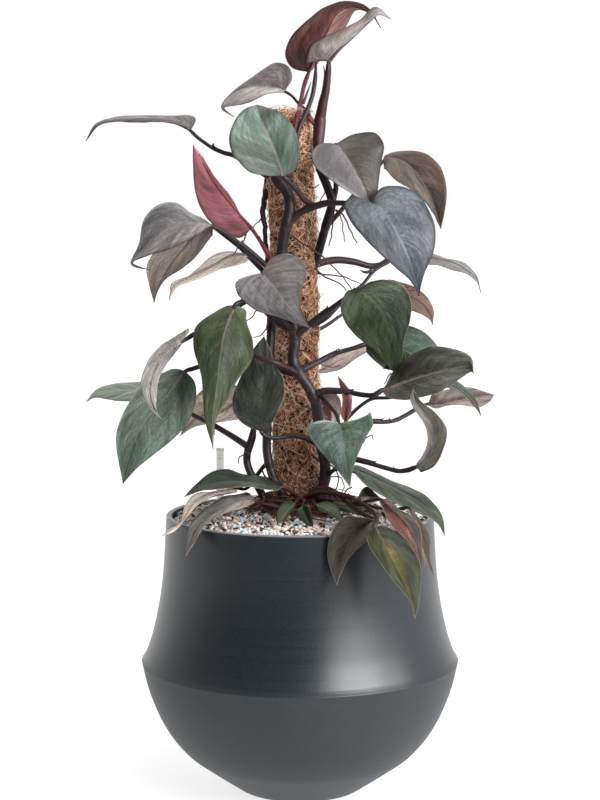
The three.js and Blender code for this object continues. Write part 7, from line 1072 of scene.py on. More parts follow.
def add_stalk(soup, leaf, rib, normal, slot=1):
    """The stalk runs from under the midrib to the stem. Its sheath, next to the stem, is thicker and ends in a small lip."""
    r = leaf["r"]
    inner = int(len(rib) * 0.16)
    start = rib[inner] - normal[inner] * (r * 0.55 + 0.2)
    second = rib[0] - unit(normal[0]) * r * 0.45
    stalk = np.array(leaf["stalk"], float)
    path, s = resample(np.vstack([start, second, stalk[1:]]), 64)
    t = s / s[-1]
    at = 1 - leaf["sheath"]
    rad = r * (0.80 + 0.14 * smooth01(t, at - 0.02, at + 0.08) + (0.22 + leaf["swell"]) * smooth01(t, at, 1.0))
    rad = rad * (0.55 + 0.45 * smooth01(t, 0.0, 0.10)) * (1 + 0.10 * np.exp(-(((t - 0.14) / 0.05) ** 2)))
    tube(soup, path, rad, 12, slot, sl=smooth01(t, at, 1.0) * 0.7, sn=0.0)
    if leaf["sheath"] > 0.12 and s[-1] > 45:
        # the sheath's wings lie along the stalk and part from it in a blunt free tip
        tt, nn, bb = frames(path)
        k0 = max(int(np.searchsorted(t, at - 7.0 / s[-1])), 3)
        idx = np.arange(k0, len(path))
        up = np.array([0, -0.25, 1.0])
        side = unit(up - tt[idx] * (tt[idx] @ up)[:, None])
        d = s[idx] - s[idx[0]]
        x = d / d[-1]
        lift = rad[idx] * (0.50 + 0.75 * np.exp(-d / 5.0)) + 1.1 * np.exp(-d / 3.0)
        wing = r * (0.62 * smooth01(d, -4.0, 9.0) * (1 - 0.35 * x) + 0.5 * leaf["swell"] * smooth01(x, 0.1, 0.9)) * (1 - smooth01(x, 0.72, 0.98)) + 0.12
        tube(soup, path[idx] + side * lift[:, None], wing, 8, slot, sl=0.35 + 0.4 * x, sn=0.5 * np.exp(-d / 1.5))
    return path


def leaf_facts(name, row):
    p = dict(DEFAULT)
    p.update(TONES.get(name, {}))
    seed = (sum(ord(ch) * (i + 3) for i, ch in enumerate(name)) % 97) / 97
    mid = np.array(row["mid"], float)
    return dict(row, seed=seed, nv=p["nv"], slope=p["slope"], waves=p["waves"], sheath=p["sheath"], swell=p["swell"],
                length=float(np.linalg.norm(np.diff(mid, axis=0), axis=1).sum()))


shoot = Soup()
shoot_mats = []
for name, row in LEAVES.items():
    leaf = leaf_facts(name, row)
    material = leaf_material(name)
    kind = TONES.get(name, {}).get("stalk", "dark")
    stalk_mat = {"dark": STALK, "red": STALK_RED, "wine": STALK_WINE, "low": STALK_LOW}[kind]
    if name.startswith("shoot"):
        slot = len(shoot_mats)
        shoot_mats += [material, STALK_LOW]
        rib, normal = add_blade(shoot, leaf, 24, 8, slot)
        add_stalk(shoot, leaf, rib, normal, slot + 1)
        continue
    soup = Soup()
    rib, normal = add_blade(soup, leaf)
    add_stalk(soup, leaf, rib, normal)
    piece = soup.build("v_" + name, [material, stalk_mat])
    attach(piece, "root")
    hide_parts(name)

knob = resample([[12, -40, 311], [9, -43, 316], [6, -44, 321], [4, -45, 326]], 12)[0]
tube(shoot, knob, 8.5 * np.sin(np.linspace(0.35, 2.6, 12)) ** 0.6, 14, 1, sl=0.7)
piece = shoot.build("v_base_shoot", shoot_mats)
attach(piece, "root")
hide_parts("base_shoot")


# ------------------------------------------------------------------ stems
def stem_material(name):
    m = Mat(name, specular=0.32)
    ring, along = m.attr("sn"), m.attr("sl")
    o = m.object()
    long = m.noise(m.scale(o, (700, 700, 90)), 1.0, 4.0, 0.6)
    patch = m.noise(m.scale(o, (45, 45, 45)), 1.0, 3.0, 0.55)
    spot = m.noise(m.scale(o, (420, 420, 300)), 1.0, 1.0, 0.4)
    c = m.mix(m.step(long, 0.3, 0.85), (27, 20, 25), (52, 41, 48))
    c = m.mix(m.math("MULTIPLY", m.step(patch, 0.5, 0.8), 0.4), c, (56, 32, 35))
    c = m.mix(m.math("MULTIPLY", m.step(spot, 0.70, 0.78), 0.3), c, (96, 80, 76))
    c = m.mix(m.math("MULTIPLY", ring, 0.45), c, (98, 62, 58))
    c = m.mix(m.math("MULTIPLY", m.step(along, 0.6, 1.0), 0.5), c, (40, 27, 24))
    c = m.mix(m.math("MULTIPLY", m.step(m.xyz(o)[2], 0.690, 0.725), 0.8), c, (66, 32, 34))
    r = m.math("ADD", m.math("MULTIPLY", long, 0.2), 0.32)
    h = m.math("ADD", m.math("MULTIPLY", long, 0.5), m.math("MULTIPLY", ring, -0.8))
    return m.finish(c, r, m.bump(h, 0.0008, 0.6))


STEM = stem_material("stem_bark")
ends = np.array([row["stalk"][-1] for row in LEAVES.values()], float)
for name, (radius, points) in STEMS.items():
    path, s = resample(points, 150)
    rad = np.full(len(path), float(radius))
    ring = np.zeros(len(path))
    near = np.linalg.norm(ends[:, None] - path[None], axis=2)
    at = sorted({int(k) for k, d in zip(near.argmin(1), near.min(1)) if d < 16})
    marks = [s[k] for k in at]
    for extra in np.arange(20, s[-1], 42):
        if all(abs(extra - x) > 18 for x in marks):
            marks.append(float(extra))
    for x in marks:
        rad += radius * 0.09 * np.exp(-(((s - x) / 5.0) ** 2))
        rad -= radius * 0.05 * np.exp(-(((s - x - 6.0) / 1.2) ** 2))
        ring += np.exp(-(((s - x - 6.0) / 0.9) ** 2))
    if name == "stem_right":
        # the tip of this stem is wrapped in the sheath of the top leaf
        rad = radius + (6.6 - radius) * (1 - smooth01(s, 22, 62)) + (rad - radius) * smooth01(s, 40, 70)
        ring *= smooth01(s, 40, 70)
    rad *= 0.62 + 0.38 * smooth01(s, 0, 14)
    soup = Soup()
    tube(soup, path, rad, 18, 0, sl=s / s[-1], sn=np.clip(ring, 0, 1))
    mats = [STEM]
    if name in OUTGROWTHS:
        radius, points, mat = OUTGROWTHS[name]
        path, s = resample(points, 40)
        x = s / s[-1]
        tube(soup, path, radius * (1 - 0.5 * (1 - smooth01(x, 0.0, 0.16))) * (1 + 0.25 * smooth01(x, 0.3, 1.0)), 12, 1, sl=x * 0.5, sn=0.0)
        mats.append({"dark": STALK, "red": STALK_RED}[mat])
    piece = soup.build("v_" + name, mats)
    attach(piece, "root")
    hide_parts(name)

# ------------------------------------------------------------------ coir pole
axis_pts, axis_s = resample(POLE, 240)


def pole_at(z):
    zz = axis_pts[:, 2][::-1]
    return np.stack([np.interp(z, zz, axis_pts[:, 0][::-1]), np.interp(z, zz, axis_pts[:, 1][::-1]), z], -1)


def lumps(theta, z):
    """How far the fibre mat stands out from the mean radius."""
    return (1.1 * np.sin(3 * theta + z / 23.0) * np.sin(z / 31.0 + 1.3) + 0.8 * np.sin(5 * theta - z / 17.0 + 0.7)
            + 0.9 * np.sin(2 * theta + z / 9.0) * np.cos(7 * theta - z / 13.0) + 0.6 * np.sin(11 * theta + z / 6.1)
            + 0.6 * np.sin(9 * theta - z / 4.3 + 2.0) * np.sin(z / 7.7) - 0.9)


def coir_material(name, mat):
    m = Mat(name, rough=0.9, specular=0.2)
    tone = m.attr("tone")
    o = m.object()
    grain = m.noise(m.scale(o, (1500, 1500, 1500)), 1.0, 3.0, 0.65)
    big = m.noise(m.scale(o, (28, 28, 28)), 1.0, 2.0, 0.5)
    if mat:
        c = m.ramp(m.math("ADD", m.math("MULTIPLY", grain, 0.75), m.math("MULTIPLY", big, 0.25)),
                   [(0.30, (62, 40, 30)), (0.45, (148, 102, 76)), (0.58, (212, 160, 124)), (0.72, (236, 192, 158))])
        # painted shade: near-black blotches on the mat stand for the shaded gaps between fibre tufts
        gap_shade = m.noise(m.scale(o, (250, 250, 170)), 1.0, 2.0, 0.6, 0.8)
        c = m.mix(m.step(gap_shade, 0.40, 0.54, 0.95, 0.0), c, (22, 15, 12))
    else:
        c = m.ramp(m.math("ADD", tone, m.math("MULTIPLY", m.math("SUBTRACT", grain, 0.5), 0.3)),
                   [(0.0, (70, 46, 34)), (0.22, (170, 122, 92)), (0.50, (244, 194, 156)), (1.0, (255, 238, 216))])
        # painted shade: dark blotches on the strands stand for shaded gaps among the fibres
        gap_shade = m.noise(m.scale(o, (250, 250, 170)), 1.0, 2.0, 0.6, 0.8)
        c = m.mix(m.step(gap_shade, 0.38, 0.52, 0.8, 0.0), c, (30, 20, 15))
    low = m.step(m.xyz(o)[2], 0.30, 0.62, 0.55, 0.0)
    c = m.mix(low, c, m.mix(1.0, c, (158, 122, 104), "MULTIPLY"))
    if not mat:
        # painted light: the loose fibres glow a little, so they stay pale where they shade one another
        m.put(m.b.inputs["Emission Color"], c)
        m.b.inputs["Emission Strength"].default_value = 0.17
    return m.finish(c, None, m.bump(grain, 0.001, 0.7))


zs = np.linspace(263, 741.0, 300)
th = np.arange(84) / 84 * 2 * np.pi
T, Z = np.meshgrid(th, zs)
R = POLE_R - 1.0 + lumps(T, Z) + RNG.normal(0, 0.28, T.shape)
R *= np.where(Z > 739.5, 0.97, 1.0)
C = pole_at(Z.reshape(-1)).reshape(*Z.shape, 3)
V = C + np.stack([R * np.cos(T), R * np.sin(T), np.zeros_like(R)], -1)
soup = Soup()
nr, nc = T.shape
i, j = np.meshgrid(np.arange(nr - 1), np.arange(nc), indexing="ij")
i, j = i.reshape(-1), j.reshape(-1)
j2 = (j + 1) % nc
quads = np.stack([i * nc + j, i * nc + j2, (i + 1) * nc + j2, (i + 1) * nc + j], 1)
verts = np.vstack([V.reshape(-1, 3), C[0, 0], C[-1, 0] + [0, 0, 2.0]])
a, a2 = np.arange(nc), (np.arange(nc) + 1) % nc
caps = np.vstack([np.stack([a2, a, np.full(nc, nr * nc)], 1), np.stack([(nr - 1) * nc + a, (nr - 1) * nc + a2, np.full(nc, nr * nc + 1)], 1)])
soup.add(verts, [quads, caps], 0, tone=0.2)
piece = soup.build("v_pole_mat", [coir_material("coir_mat", True)])
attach(piece, "root")
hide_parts("pole_coir")


def strands(soup, path, radius, tone, sides=3):
    """Many thin strands at once: path is (count, points, 3), radius and tone one number each."""
    n, k = path.shape[:2]
    t = unit(np.gradient(path, axis=1))
    ref = np.where(np.abs(t[:, :1, 2:3]) < 0.8, np.array([0, 0, 1.0]), np.array([1.0, 0, 0]))
    a = unit(np.cross(t, np.broadcast_to(ref, t.shape)))
    b = np.cross(t, a)
    ang = np.arange(sides) / sides * 2 * np.pi
    taper = np.r_[0.5, np.ones(k - 2), 0.35]
    rad = radius[:, None, None, None] * taper[None, :, None, None]
    off = (np.cos(ang)[None, None, :, None] * a[:, :, None] + np.sin(ang)[None, None, :, None] * b[:, :, None]) * rad
    v = (path[:, :, None] + off).reshape(-1, 3)
    f, i, j = np.meshgrid(np.arange(n), np.arange(k - 1), np.arange(sides), indexing="ij")
    f, i, j = f.reshape(-1), i.reshape(-1), j.reshape(-1)
    base = f * k * sides
    j2 = (j + 1) % sides
    quads = np.stack([base + i * sides + j, base + i * sides + j2, base + (i + 1) * sides + j2, base + (i + 1) * sides + j], 1)
    f = np.arange(n) * k * sides
    caps = np.vstack([np.stack([f + 2, f + 1, f], 1), np.stack([f + (k - 1) * sides, f + (k - 1) * sides + 1, f + (k - 1) * sides + 2], 1)]) if sides == 3 else []
    soup.add(v, [quads] + ([caps] if len(caps) else []), 0, tone=np.repeat(tone, k * sides))


def fibre_layer(count, lo, hi, height, loose):
    k = 7
    x = np.linspace(0, 1, k)[None, :]
    th0 = RNG.uniform(0, 2 * np.pi, count)[:, None]
    z0 = RNG.uniform(266, 740, count)[:, None]
    length = RNG.uniform(lo, hi, count)[:, None]
    slope = RNG.normal(0, 1, count)[:, None] * 0.9 + RNG.choice([-0.9, 0.9], count)[:, None]
    curl = RNG.normal(0, 1.3, count)[:, None]
    ang = np.arctan(slope) + curl * (x - 0.5)
    step = length / (k - 1)
    dth = np.cumsum(np.cos(ang) * step / POLE_R, axis=1)
    dz = np.cumsum(np.sin(ang) * step, axis=1)
    th, z = th0 + dth, np.clip(z0 + dz, 264, 744)
    h = height * RNG.uniform(0.1, 1, count)[:, None] + loose * RNG.uniform(0, 1, count)[:, None] ** 3 * np.sin(np.pi * x)
    h = h + loose * 0.8 * (RNG.uniform(0, 1, count)[:, None] ** 6) * x**2
    r = POLE_R - 1.0 + lumps(th, z) + h
    c = pole_at(z.reshape(-1)).reshape(count, k, 3)
    return c + np.stack([r * np.cos(th), r * np.sin(th), np.zeros_like(r)], -1)


coir = coir_material("coir_fibre", False)
soup = Soup()
strands(soup, fibre_layer(3400, 10, 32, 0.9, 1.6), RNG.uniform(0.20, 0.46, 3400), RNG.beta(1.5, 1.7, 3400) * 0.85)
strands(soup, fibre_layer(1500, 14, 46, 1.8, 5.5), RNG.uniform(0.18, 0.42, 1500), 0.25 + RNG.beta(2, 1.6, 1500) * 0.75)
piece = soup.build("v_pole_fibres", [coir])
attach(piece, "root")

# loose threads: a tuft on the top of the pole and long hanging ones
soup = Soup()
n, k = 230, 7
x = np.linspace(0, 1, k)[None, :]
th0 = RNG.uniform(0, 2 * np.pi, n)[:, None]
r0 = POLE_R * np.sqrt(RNG.uniform(0.02, 1.02, n))[:, None]
lean, high = RNG.uniform(-3, 7, n)[:, None], RNG.uniform(1, 9, n)[:, None] + 6 * RNG.uniform(0, 1, n)[:, None] ** 8
turn = RNG.normal(0, 0.5, n)[:, None]
r = r0 + lean * x**1.5
th = th0 + turn * x
z = 738 + high * np.sin(x * RNG.uniform(1.2, 2.6, n)[:, None])
top = pole_at(np.full(1, 741.0))[0]
path = np.stack([top[0] + r * np.cos(th), top[1] + r * np.sin(th), z], -1)
strands(soup, path, RNG.uniform(0.16, 0.32, n), 0.15 + 0.6 * RNG.beta(2, 1.6, n))
n = 90
th0 = RNG.uniform(0, 2 * np.pi, n)[:, None]
z0 = RNG.uniform(300, 738, n)[:, None]
out, drop = RNG.uniform(3, 12, n)[:, None], RNG.uniform(-10, 26, n)[:, None]
z = z0 - drop * x**1.6
r = POLE_R + out * np.sin(x * RNG.uniform(1.6, 3.1, n)[:, None])
th = th0 + RNG.normal(0, 0.5, n)[:, None] * x
c = pole_at(z.reshape(-1)).reshape(n, k, 3)
strands(soup, c + np.stack([r * np.cos(th), r * np.sin(th), 0 * r], -1), RNG.uniform(0.14, 0.28, n), 0.35 + 0.6 * RNG.beta(2, 1.6, n))
piece = soup.build("v_pole_threads", [coir])
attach(piece, "root")

stake = Mat("stake_wood", rough=0.7, specular=0.3)
o = stake.object()
g = stake.noise(stake.scale(o, (500, 500, 14)), 1.0, 4.0, 0.6)
stake.finish(stake.ramp(g, [(0.3, (110, 82, 54)), (0.55, (150, 116, 80)), (0.75, (176, 144, 104))]), None, stake.bump(g, 0.0008, 0.6))
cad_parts["pole_stake"].data.materials.clear()
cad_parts["pole_stake"].data.materials.append(stake.mat)


# ------------------------------------------------------------------ aerial roots
def root_material(name, a, b, c3):
    m = Mat(name, rough=0.55, specular=0.4)
    o = m.object()
    g = m.noise(m.scale(o, (700, 700, 700)), 1.0, 3.0, 0.6)
    t = m.attr("tone")
    c = m.mix(m.step(g, 0.3, 0.7), a, b)
    c = m.mix(t, c, c3)
    return m.finish(c, None, m.bump(g, 0.0006, 0.6))


soup = Soup()
for radius, tone, points in ROOTS:
    path, s = resample(points, 26)
    wob = 0.35 * np.sin(s[:, None] * np.array([0.55, 0.43, 0.37]) + np.array([0.3, 1.1, 2.3]) * (radius * 7))
    x = s / s[-1]
    tube(soup, path + wob * smooth01(x, 0, 0.2)[:, None], radius * (1.05 - 0.45 * x), 7, 0, tone=tone)
for radius, points in TIPS:
    path, s = resample(points, 14)
    x = s / s[-1]
    tube(soup, path, radius * (1 - 0.82 * x**1.6), 8, 0, tone=1.0)
piece = soup.build("v_aerial_roots", [root_material("aerial_root", (70, 40, 40), (118, 66, 58), (58, 44, 46))])
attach(piece, "root")


# ------------------------------------------------------------------ top layer and the foot of the plant
def ground(r):
    return np.interp(r, [0, 36, 72, 112, 141], [311, 311, 308.5, 304.5, 299])


layer = Mat("gravel_bed", rough=0.95, specular=0.2)
o = layer.object()
g = layer.noise(layer.scale(o, (420, 420, 420)), 1.0, 3.0, 0.6)
layer.finish(layer.ramp(g, [(0.35, (40, 30, 28)), (0.5, (84, 66, 56)), (0.68, (150, 132, 116))]), None, layer.bump(g, 0.002, 0.8))
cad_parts["gravel_layer"].data.materials.clear()
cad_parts["gravel_layer"].data.materials.append(layer.mat)
soil = Mat("potting_soil", rough=0.95, specular=0.2)
o = soil.object()
g = soil.noise(soil.scale(o, (300, 300, 300)), 1.0, 4.0, 0.65)
soil.finish(soil.ramp(g, [(0.35, (26, 18, 14)), (0.55, (54, 38, 28)), (0.72, (92, 68, 50))]), None, soil.bump(g, 0.003, 0.9))
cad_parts["root_ball"].data.materials.clear()
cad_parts["root_ball"].data.materials.append(soil.mat)

phi = (1 + 5**0.5) / 2
ico = unit(np.array([[-1, phi, 0], [1, phi, 0], [-1, -phi, 0], [1, -phi, 0], [0, -1, phi], [0, 1, phi], [0, -1, -phi],
                     [0, 1, -phi], [phi, 0, -1], [phi, 0, 1], [-phi, 0, -1], [-phi, 0, 1]], float))
ico_f = np.array([[0, 11, 5], [0, 5, 1], [0, 1, 7], [0, 7, 10], [0, 10, 11], [1, 5, 9], [5, 11, 4], [11, 10, 2], [10, 7, 6],
                  [7, 1, 8], [3, 9, 4], [3, 4, 2], [3, 2, 6], [3, 6, 8], [3, 8, 9], [4, 9, 5], [2, 4, 11], [6, 2, 10], [8, 6, 7], [9, 8, 1]])
pts = []
pitch = 4.3
for row in range(-40, 41):
    for col in range(-40, 41):
        pts.append([col * pitch + (row % 2) * pitch / 2, row * pitch * 0.866, 0.0])
pts = np.array(pts)
pts[:, :2] += RNG.normal(0, 0.75, (len(pts), 2))
second = pts[RNG.uniform(0, 1, len(pts)) < 0.34] + np.array([1.9, 1.2, 1.3])
pts = np.vstack([pts, second])
rad = np.hypot(pts[:, 0], pts[:, 1])
pole_foot = pole_at(np.full(1, 311.0))[0]
pts = pts[(rad < 138.2) & (np.hypot(pts[:, 0] - pole_foot[0], pts[:, 1]) > 25)]
rad = np.hypot(pts[:, 0], pts[:, 1])
n = len(pts)
size = np.clip(RNG.normal(2.45, 0.45, n), 1.5, 3.6)
size = np.where(rad > 135.5, size * 0.7, size)
pts[:, 2] += ground(rad) + 0.35 + RNG.normal(0, 0.35, n)
q = RNG.normal(0, 1, (n, 4))
q /= np.linalg.norm(q, axis=1, keepdims=True)
w_, x_, y_, z_ = q.T
rot = np.stack([1 - 2 * (y_**2 + z_**2), 2 * (x_ * y_ - z_ * w_), 2 * (x_ * z_ + y_ * w_), 2 * (x_ * y_ + z_ * w_), 1 - 2 * (x_**2 + z_**2),
                2 * (y_ * z_ - x_ * w_), 2 * (x_ * z_ - y_ * w_), 2 * (y_ * z_ + x_ * w_), 1 - 2 * (x_**2 + y_**2)], 1).reshape(n, 3, 3)
shape = ico[None] * RNG.uniform(0.72, 1.15, (n, 12, 1)) * RNG.uniform(0.72, 1.2, (n, 1, 3))
verts = np.einsum("nij,nkj->nki", rot, shape) * size[:, None, None] + pts[:, None, :]
faces = (ico_f[None] + (np.arange(n) * 12)[:, None, None]).reshape(-1, 3)
kind = RNG.uniform(0, 1, n)
foot = np.hypot(pts[:, 0] - 2, pts[:, 1] + 8)
soup = Soup()
soup.add(verts.reshape(-1, 3), [faces], 0, tone=np.repeat(kind, 12), foot=np.repeat(1 - smooth01(foot, 42, 64), 12))
grit = Mat("gravel_grains", rough=0.9, specular=0.25)
tone = grit.attr("tone")
o = grit.object()
g = grit.noise(grit.scale(o, (1300, 1300, 1300)), 1.0, 3.0, 0.7)
c = grit.ramp(tone, [(0.0, (64, 46, 46)), (0.11, (98, 76, 70)), (0.18, (160, 130, 114)), (0.26, (214, 196, 184)), (0.42, (234, 222, 212)),
                     (0.62, (244, 238, 232)), (0.80, (212, 228, 236)), (0.90, (190, 212, 222))], "CONSTANT")
c = grit.mix(grit.step(g, 0.42, 0.75, 0.0, 0.35), c, (150, 128, 112))
c = grit.mix(grit.math("MULTIPLY", grit.attr("foot"), 0.72), c, (58, 38, 32))
grit.finish(c, None, grit.bump(g, 0.0012, 0.8))
piece = soup.build("v_gravel_grains", [grit.mat], smooth=False)
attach(piece, "root")

# matted roots and fibres at the foot of the pole
soup = Soup()
n = 150
for i in range(n):
    t0 = RNG.uniform(0, 2 * np.pi)
    r0 = RNG.uniform(16, 34)
    reach = RNG.uniform(16, 52)
    turn = RNG.normal(0, 0.8)
    lift = RNG.uniform(2, 14)
    x = np.linspace(0, 1, 9)
    r = r0 + reach * x
    t = t0 + turn * x + 0.25 * np.sin(x * RNG.uniform(3, 9) + RNG.uniform(0, 6))
    px, py = 4 + r * np.cos(t), -6 + r * np.sin(t)
    z = ground(np.hypot(px, py)) + 1.2 + lift * np.sin(np.pi * np.clip(x * RNG.uniform(0.8, 1.15), 0, 1)) + RNG.uniform(6, 20) * (1 - x) ** 3
    rr = RNG.uniform(0.45, 1.5)
    tube(soup, resample(np.stack([px, py, z], 1), 16)[0], rr * np.linspace(1.1, 0.45, 16), 6, 0, tone=RNG.uniform(0, 1))
piece = soup.build("v_foot_roots", [root_material("foot_root", (44, 28, 28), (92, 56, 46), (50, 34, 36))])
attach(piece, "root")
soup = Soup()
n, k = 620, 7
x = np.linspace(0, 1, k)[None, :]
t0 = RNG.uniform(0, 2 * np.pi, n)[:, None]
r0 = RNG.uniform(12, 50, n)[:, None]
t = t0 + RNG.normal(0, 0.9, n)[:, None] * x
r = r0 + RNG.normal(4, 12, n)[:, None] * x
px, py = 3 + r * np.cos(t), -5 + r * np.sin(t)
z = ground(np.hypot(px, py)) + RNG.uniform(0.8, 7, n)[:, None] * (1 - r / 110) + RNG.uniform(0, 6, n)[:, None] * np.sin(np.pi * x)
strands(soup, np.stack([px, py, z], -1), RNG.uniform(0.16, 0.42, n), RNG.beta(1.2, 2.6, n) * 0.8)
piece = soup.build("v_foot_fibres", [coir])
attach(piece, "root")


# ------------------------------------------------------------------ planter
def fine(profile, per=10):
    p = np.asarray(profile, float)
    return spline(p, np.linspace(0, len(p) - 1, per * (len(p) - 1) + 1))


bowl = fine(BOWL[1:], 8)
bowl = np.vstack([[[0, 0], [62, 0], [66, 0.25], [69.2, 1.2]], bowl])
band = fine(BAND[1:], 8)
crease = np.array([[174.86, 143.2], [174.95, 143.9], [174.6, 144.5]])
lip = np.array([[147.0, 303.9], [146.7, 304.6], [146.1, 305.0], [141.9, 305.0], [141.3, 304.6], [141.0, 303.9]])
inner = fine(INSIDE[:8], 3)
inner = np.vstack([inner, INSIDE[8:]])
outline = np.vstack([bowl[:-1], crease, band, lip, inner])
soup = Soup()
lathe(soup, outline, 224)
m = Mat("planter_metal", metallic=0.0, specular=PLANTER_SPEC)
o = m.object()
x, y, z = m.xyz(o)
turn = m.math("ARCTAN2", y, x)
brush = m.noise(m.vec(m.math("MULTIPLY", turn, 0.9), m.math("MULTIPLY", z, 900.0), 0.0), 1.0, 4.0, 0.65)
long = m.noise(m.vec(m.math("MULTIPLY", turn, 0.35), m.math("MULTIPLY", z, 260.0), 3.0), 1.0, 3.0, 0.6)
cloud = m.noise(m.scale(o, (9, 9, 9)), 1.0, 3.0, 0.55)
spot = m.noise(m.scale(o, (1100, 1100, 1100)), 1.0, 2.0, 0.6)
upper = m.step(z, 0.1432, 0.1445)
inside = m.step(m.math("POWER", m.math("ADD", m.math("MULTIPLY", x, x), m.math("MULTIPLY", y, y)), 0.5), 0.1418, 0.1425)
c = m.mix(m.step(m.math("ADD", m.math("MULTIPLY", brush, 0.6), m.math("MULTIPLY", long, 0.4)), 0.35, 0.65), BAND_DARK, BAND_LIGHT)
c2 = m.mix(m.step(cloud, 0.35, 0.7), BOWL_DARK, BOWL_LIGHT)
c = m.mix(upper, c2, c)
c = m.mix(m.step(spot, 0.3, 0.75, 0.0, 0.12), c, (96, 102, 108))
# painted reflection: the inner wall above 200 mm is lighter grey
inner_wall_reflection = m.math("MULTIPLY", m.math("SUBTRACT", 1.0, inside), m.step(z, 0.2, 0.21))
c = m.mix(inner_wall_reflection, c, (84, 90, 94))
# painted highlight: the top of the lip is light grey
rim = m.step(z, 0.3035, 0.3042)
c = m.mix(rim, c, LIP_HIGHLIGHT)
streak = m.math("MULTIPLY", m.math("SUBTRACT", long, 0.5), upper)
rough = m.math("ADD", m.math("MULTIPLY", m.math("SUBTRACT", brush, 0.5), 0.18), m.step(z, 0.1432, 0.1445, BOWL_ROUGH, BAND_ROUGH))
rough = m.math("ADD", rough, m.math("MULTIPLY", streak, 0.08))
height = m.math("MULTIPLY", m.math("ADD", m.math("MULTIPLY", brush, 0.8), m.math("MULTIPLY", long, 0.15)), upper)
height = m.math("ADD", height, m.math("MULTIPLY", spot, 0.25))
m.finish(c, rough, m.bump(height, 0.00018, 0.5))
piece = soup.build("v_planter", [m.mat], sharp=28)
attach(piece, "root")
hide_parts("planter")


# ------------------------------------------------------------------ water gauge
def rounded(half, corner, per=5):
    out = []
    for cx, cy, a0 in ((1, 1, 0), (-1, 1, 90), (-1, -1, 180), (1, -1, 270)):
        for k in range(per):
            a = math.radians(a0 + 90 * k / (per - 1))
            out.append([cx * (half - corner) + corner * math.cos(a), cy * (half - corner) + corner * math.sin(a)])
    return np.array(out)


def prism(soup, levels, cx, cy, slot=0, **attrs):
    """levels: (height, half width, corner radius) from the bottom up."""
    rings = [np.c_[rounded(h, c) + [cx, cy], np.full(20, z)] for z, h, c in levels]
    n, k = 20, len(rings)
    v = np.vstack(rings + [[[cx, cy, levels[0][0]]], [[cx, cy, levels[-1][0]]]])
    i, j = np.meshgrid(np.arange(k - 1), np.arange(n), indexing="ij")
    i, j = i.reshape(-1), j.reshape(-1)
    j2 = (j + 1) % n
    quads = np.stack([i * n + j, i * n + j2, (i + 1) * n + j2, (i + 1) * n + j], 1)
    a, a2 = np.arange(n), (np.arange(n) + 1) % n
    caps = np.vstack([np.stack([a2, a, np.full(n, k * n)], 1), np.stack([(k - 1) * n + a, (k - 1) * n + a2, np.full(n, k * n + 1)], 1)])
    soup.add(v, [quads, caps], slot, **attrs)


GX, GY = -90.4, 60.0
soup = Soup()
prism(soup, [(150, 3.6, 1.0), (150.6, 4.2, 1.2), (362.6, 4.2, 1.2), (362.9, 3.9, 1.1), (363.3, 3.9, 1.1), (363.6, 4.2, 1.2), (366.9, 4.2, 1.2)], GX, GY)
m = Mat("gauge_clear", rough=0.22, specular=0.5)
# painted light: the gauge tube glows a little to stay white
m.b.inputs["Emission Color"].default_value = (1, 1, 1, 1)
m.b.inputs["Emission Strength"].default_value = 0.18
o = m.object()
x, y, z = m.xyz(o)
g = m.noise(m.scale(o, (120, 120, 40)), 1.0, 2.0, 0.5)
c = m.mix(m.step(g, 0.3, 0.7), (244, 245, 246), (250, 250, 250))
# painted shade: the tube's left and right sides are greyer
edge = m.step(m.math("ABSOLUTE", m.math("SUBTRACT", x, GX * MM)), 0.0030, 0.0040)
c = m.mix(m.math("MULTIPLY", edge, 0.5), c, (176, 180, 184))
mark = m.math("MULTIPLY", m.step(z, 0.3573, 0.3576), m.step(z, 0.3598, 0.3601, 1.0, 0.0))
mark = m.math("MULTIPLY", mark, m.step(m.math("ABSOLUTE", m.math("SUBTRACT", x, (GX - 0.4) * MM)), 0.0019, 0.0022, 1.0, 0.0))
c = m.mix(m.math("MULTIPLY", mark, 0.85), c, (226, 196, 40))
line = m.math("MULTIPLY", m.step(z, 0.3628, 0.3630), m.step(z, 0.3633, 0.3635, 1.0, 0.0))
c = m.mix(m.math("MULTIPLY", line, 0.6), c, (160, 164, 168))
m.finish(c, None, m.bump(g, 0.0004, 0.3))
piece = soup.build("v_gauge_tube", [m.mat], sharp=40)
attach(piece, "root")
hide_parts("gauge_tube")
soup = Soup()
prism(soup, [(367.25, 4.5, 1.2), (367.4, 4.6, 1.3), (369.6, 4.6, 1.3), (370.2, 4.2, 1.1), (370.3, 3.6, 0.9)], GX, GY)
m = Mat("gauge_cap", rough=0.35, specular=0.5)
o = m.object()
g = m.noise(m.scale(o, (260, 260, 260)), 1.0, 2.0, 0.5)
# painted light: the cap glows a little to stay pale
m.b.inputs["Emission Color"].default_value = (1, 1, 1, 1)
m.b.inputs["Emission Strength"].default_value = 0.12
m.finish(m.mix(m.step(g, 0.3, 0.7), (222, 223, 224), (232, 232, 233)), None, m.bump(g, 0.0003, 0.3))
piece = soup.build("v_gauge_cap", [m.mat], sharp=40)
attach(piece, "root")
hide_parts("gauge_cap")

# ------------------------------------------------------------------ floor, light, camera
floor = Soup()
rings = [0, 0.3, 0.6, 1.2, 2.5, 5, 12, 30]
lathe(floor, [[r * 1000, -0.4] for r in rings[::-1]], 96)
m = Mat("studio_floor", rough=0.8, specular=0.1)
o = m.object()
g = m.noise(m.scale(o, (3, 3, 3)), 1.0, 2.0, 0.5)
m.b.inputs["Emission Color"].default_value = (1, 1, 1, 1)
fx, fy, fz = m.xyz(o)
far = m.math("POWER", m.math("ADD", m.math("MULTIPLY", fx, fx), m.math("MULTIPLY", fy, fy)), 0.5)
glow = m.step(far, 0.6, 3.0, FLOOR_GLOW, FLOOR_GLOW + 0.12)
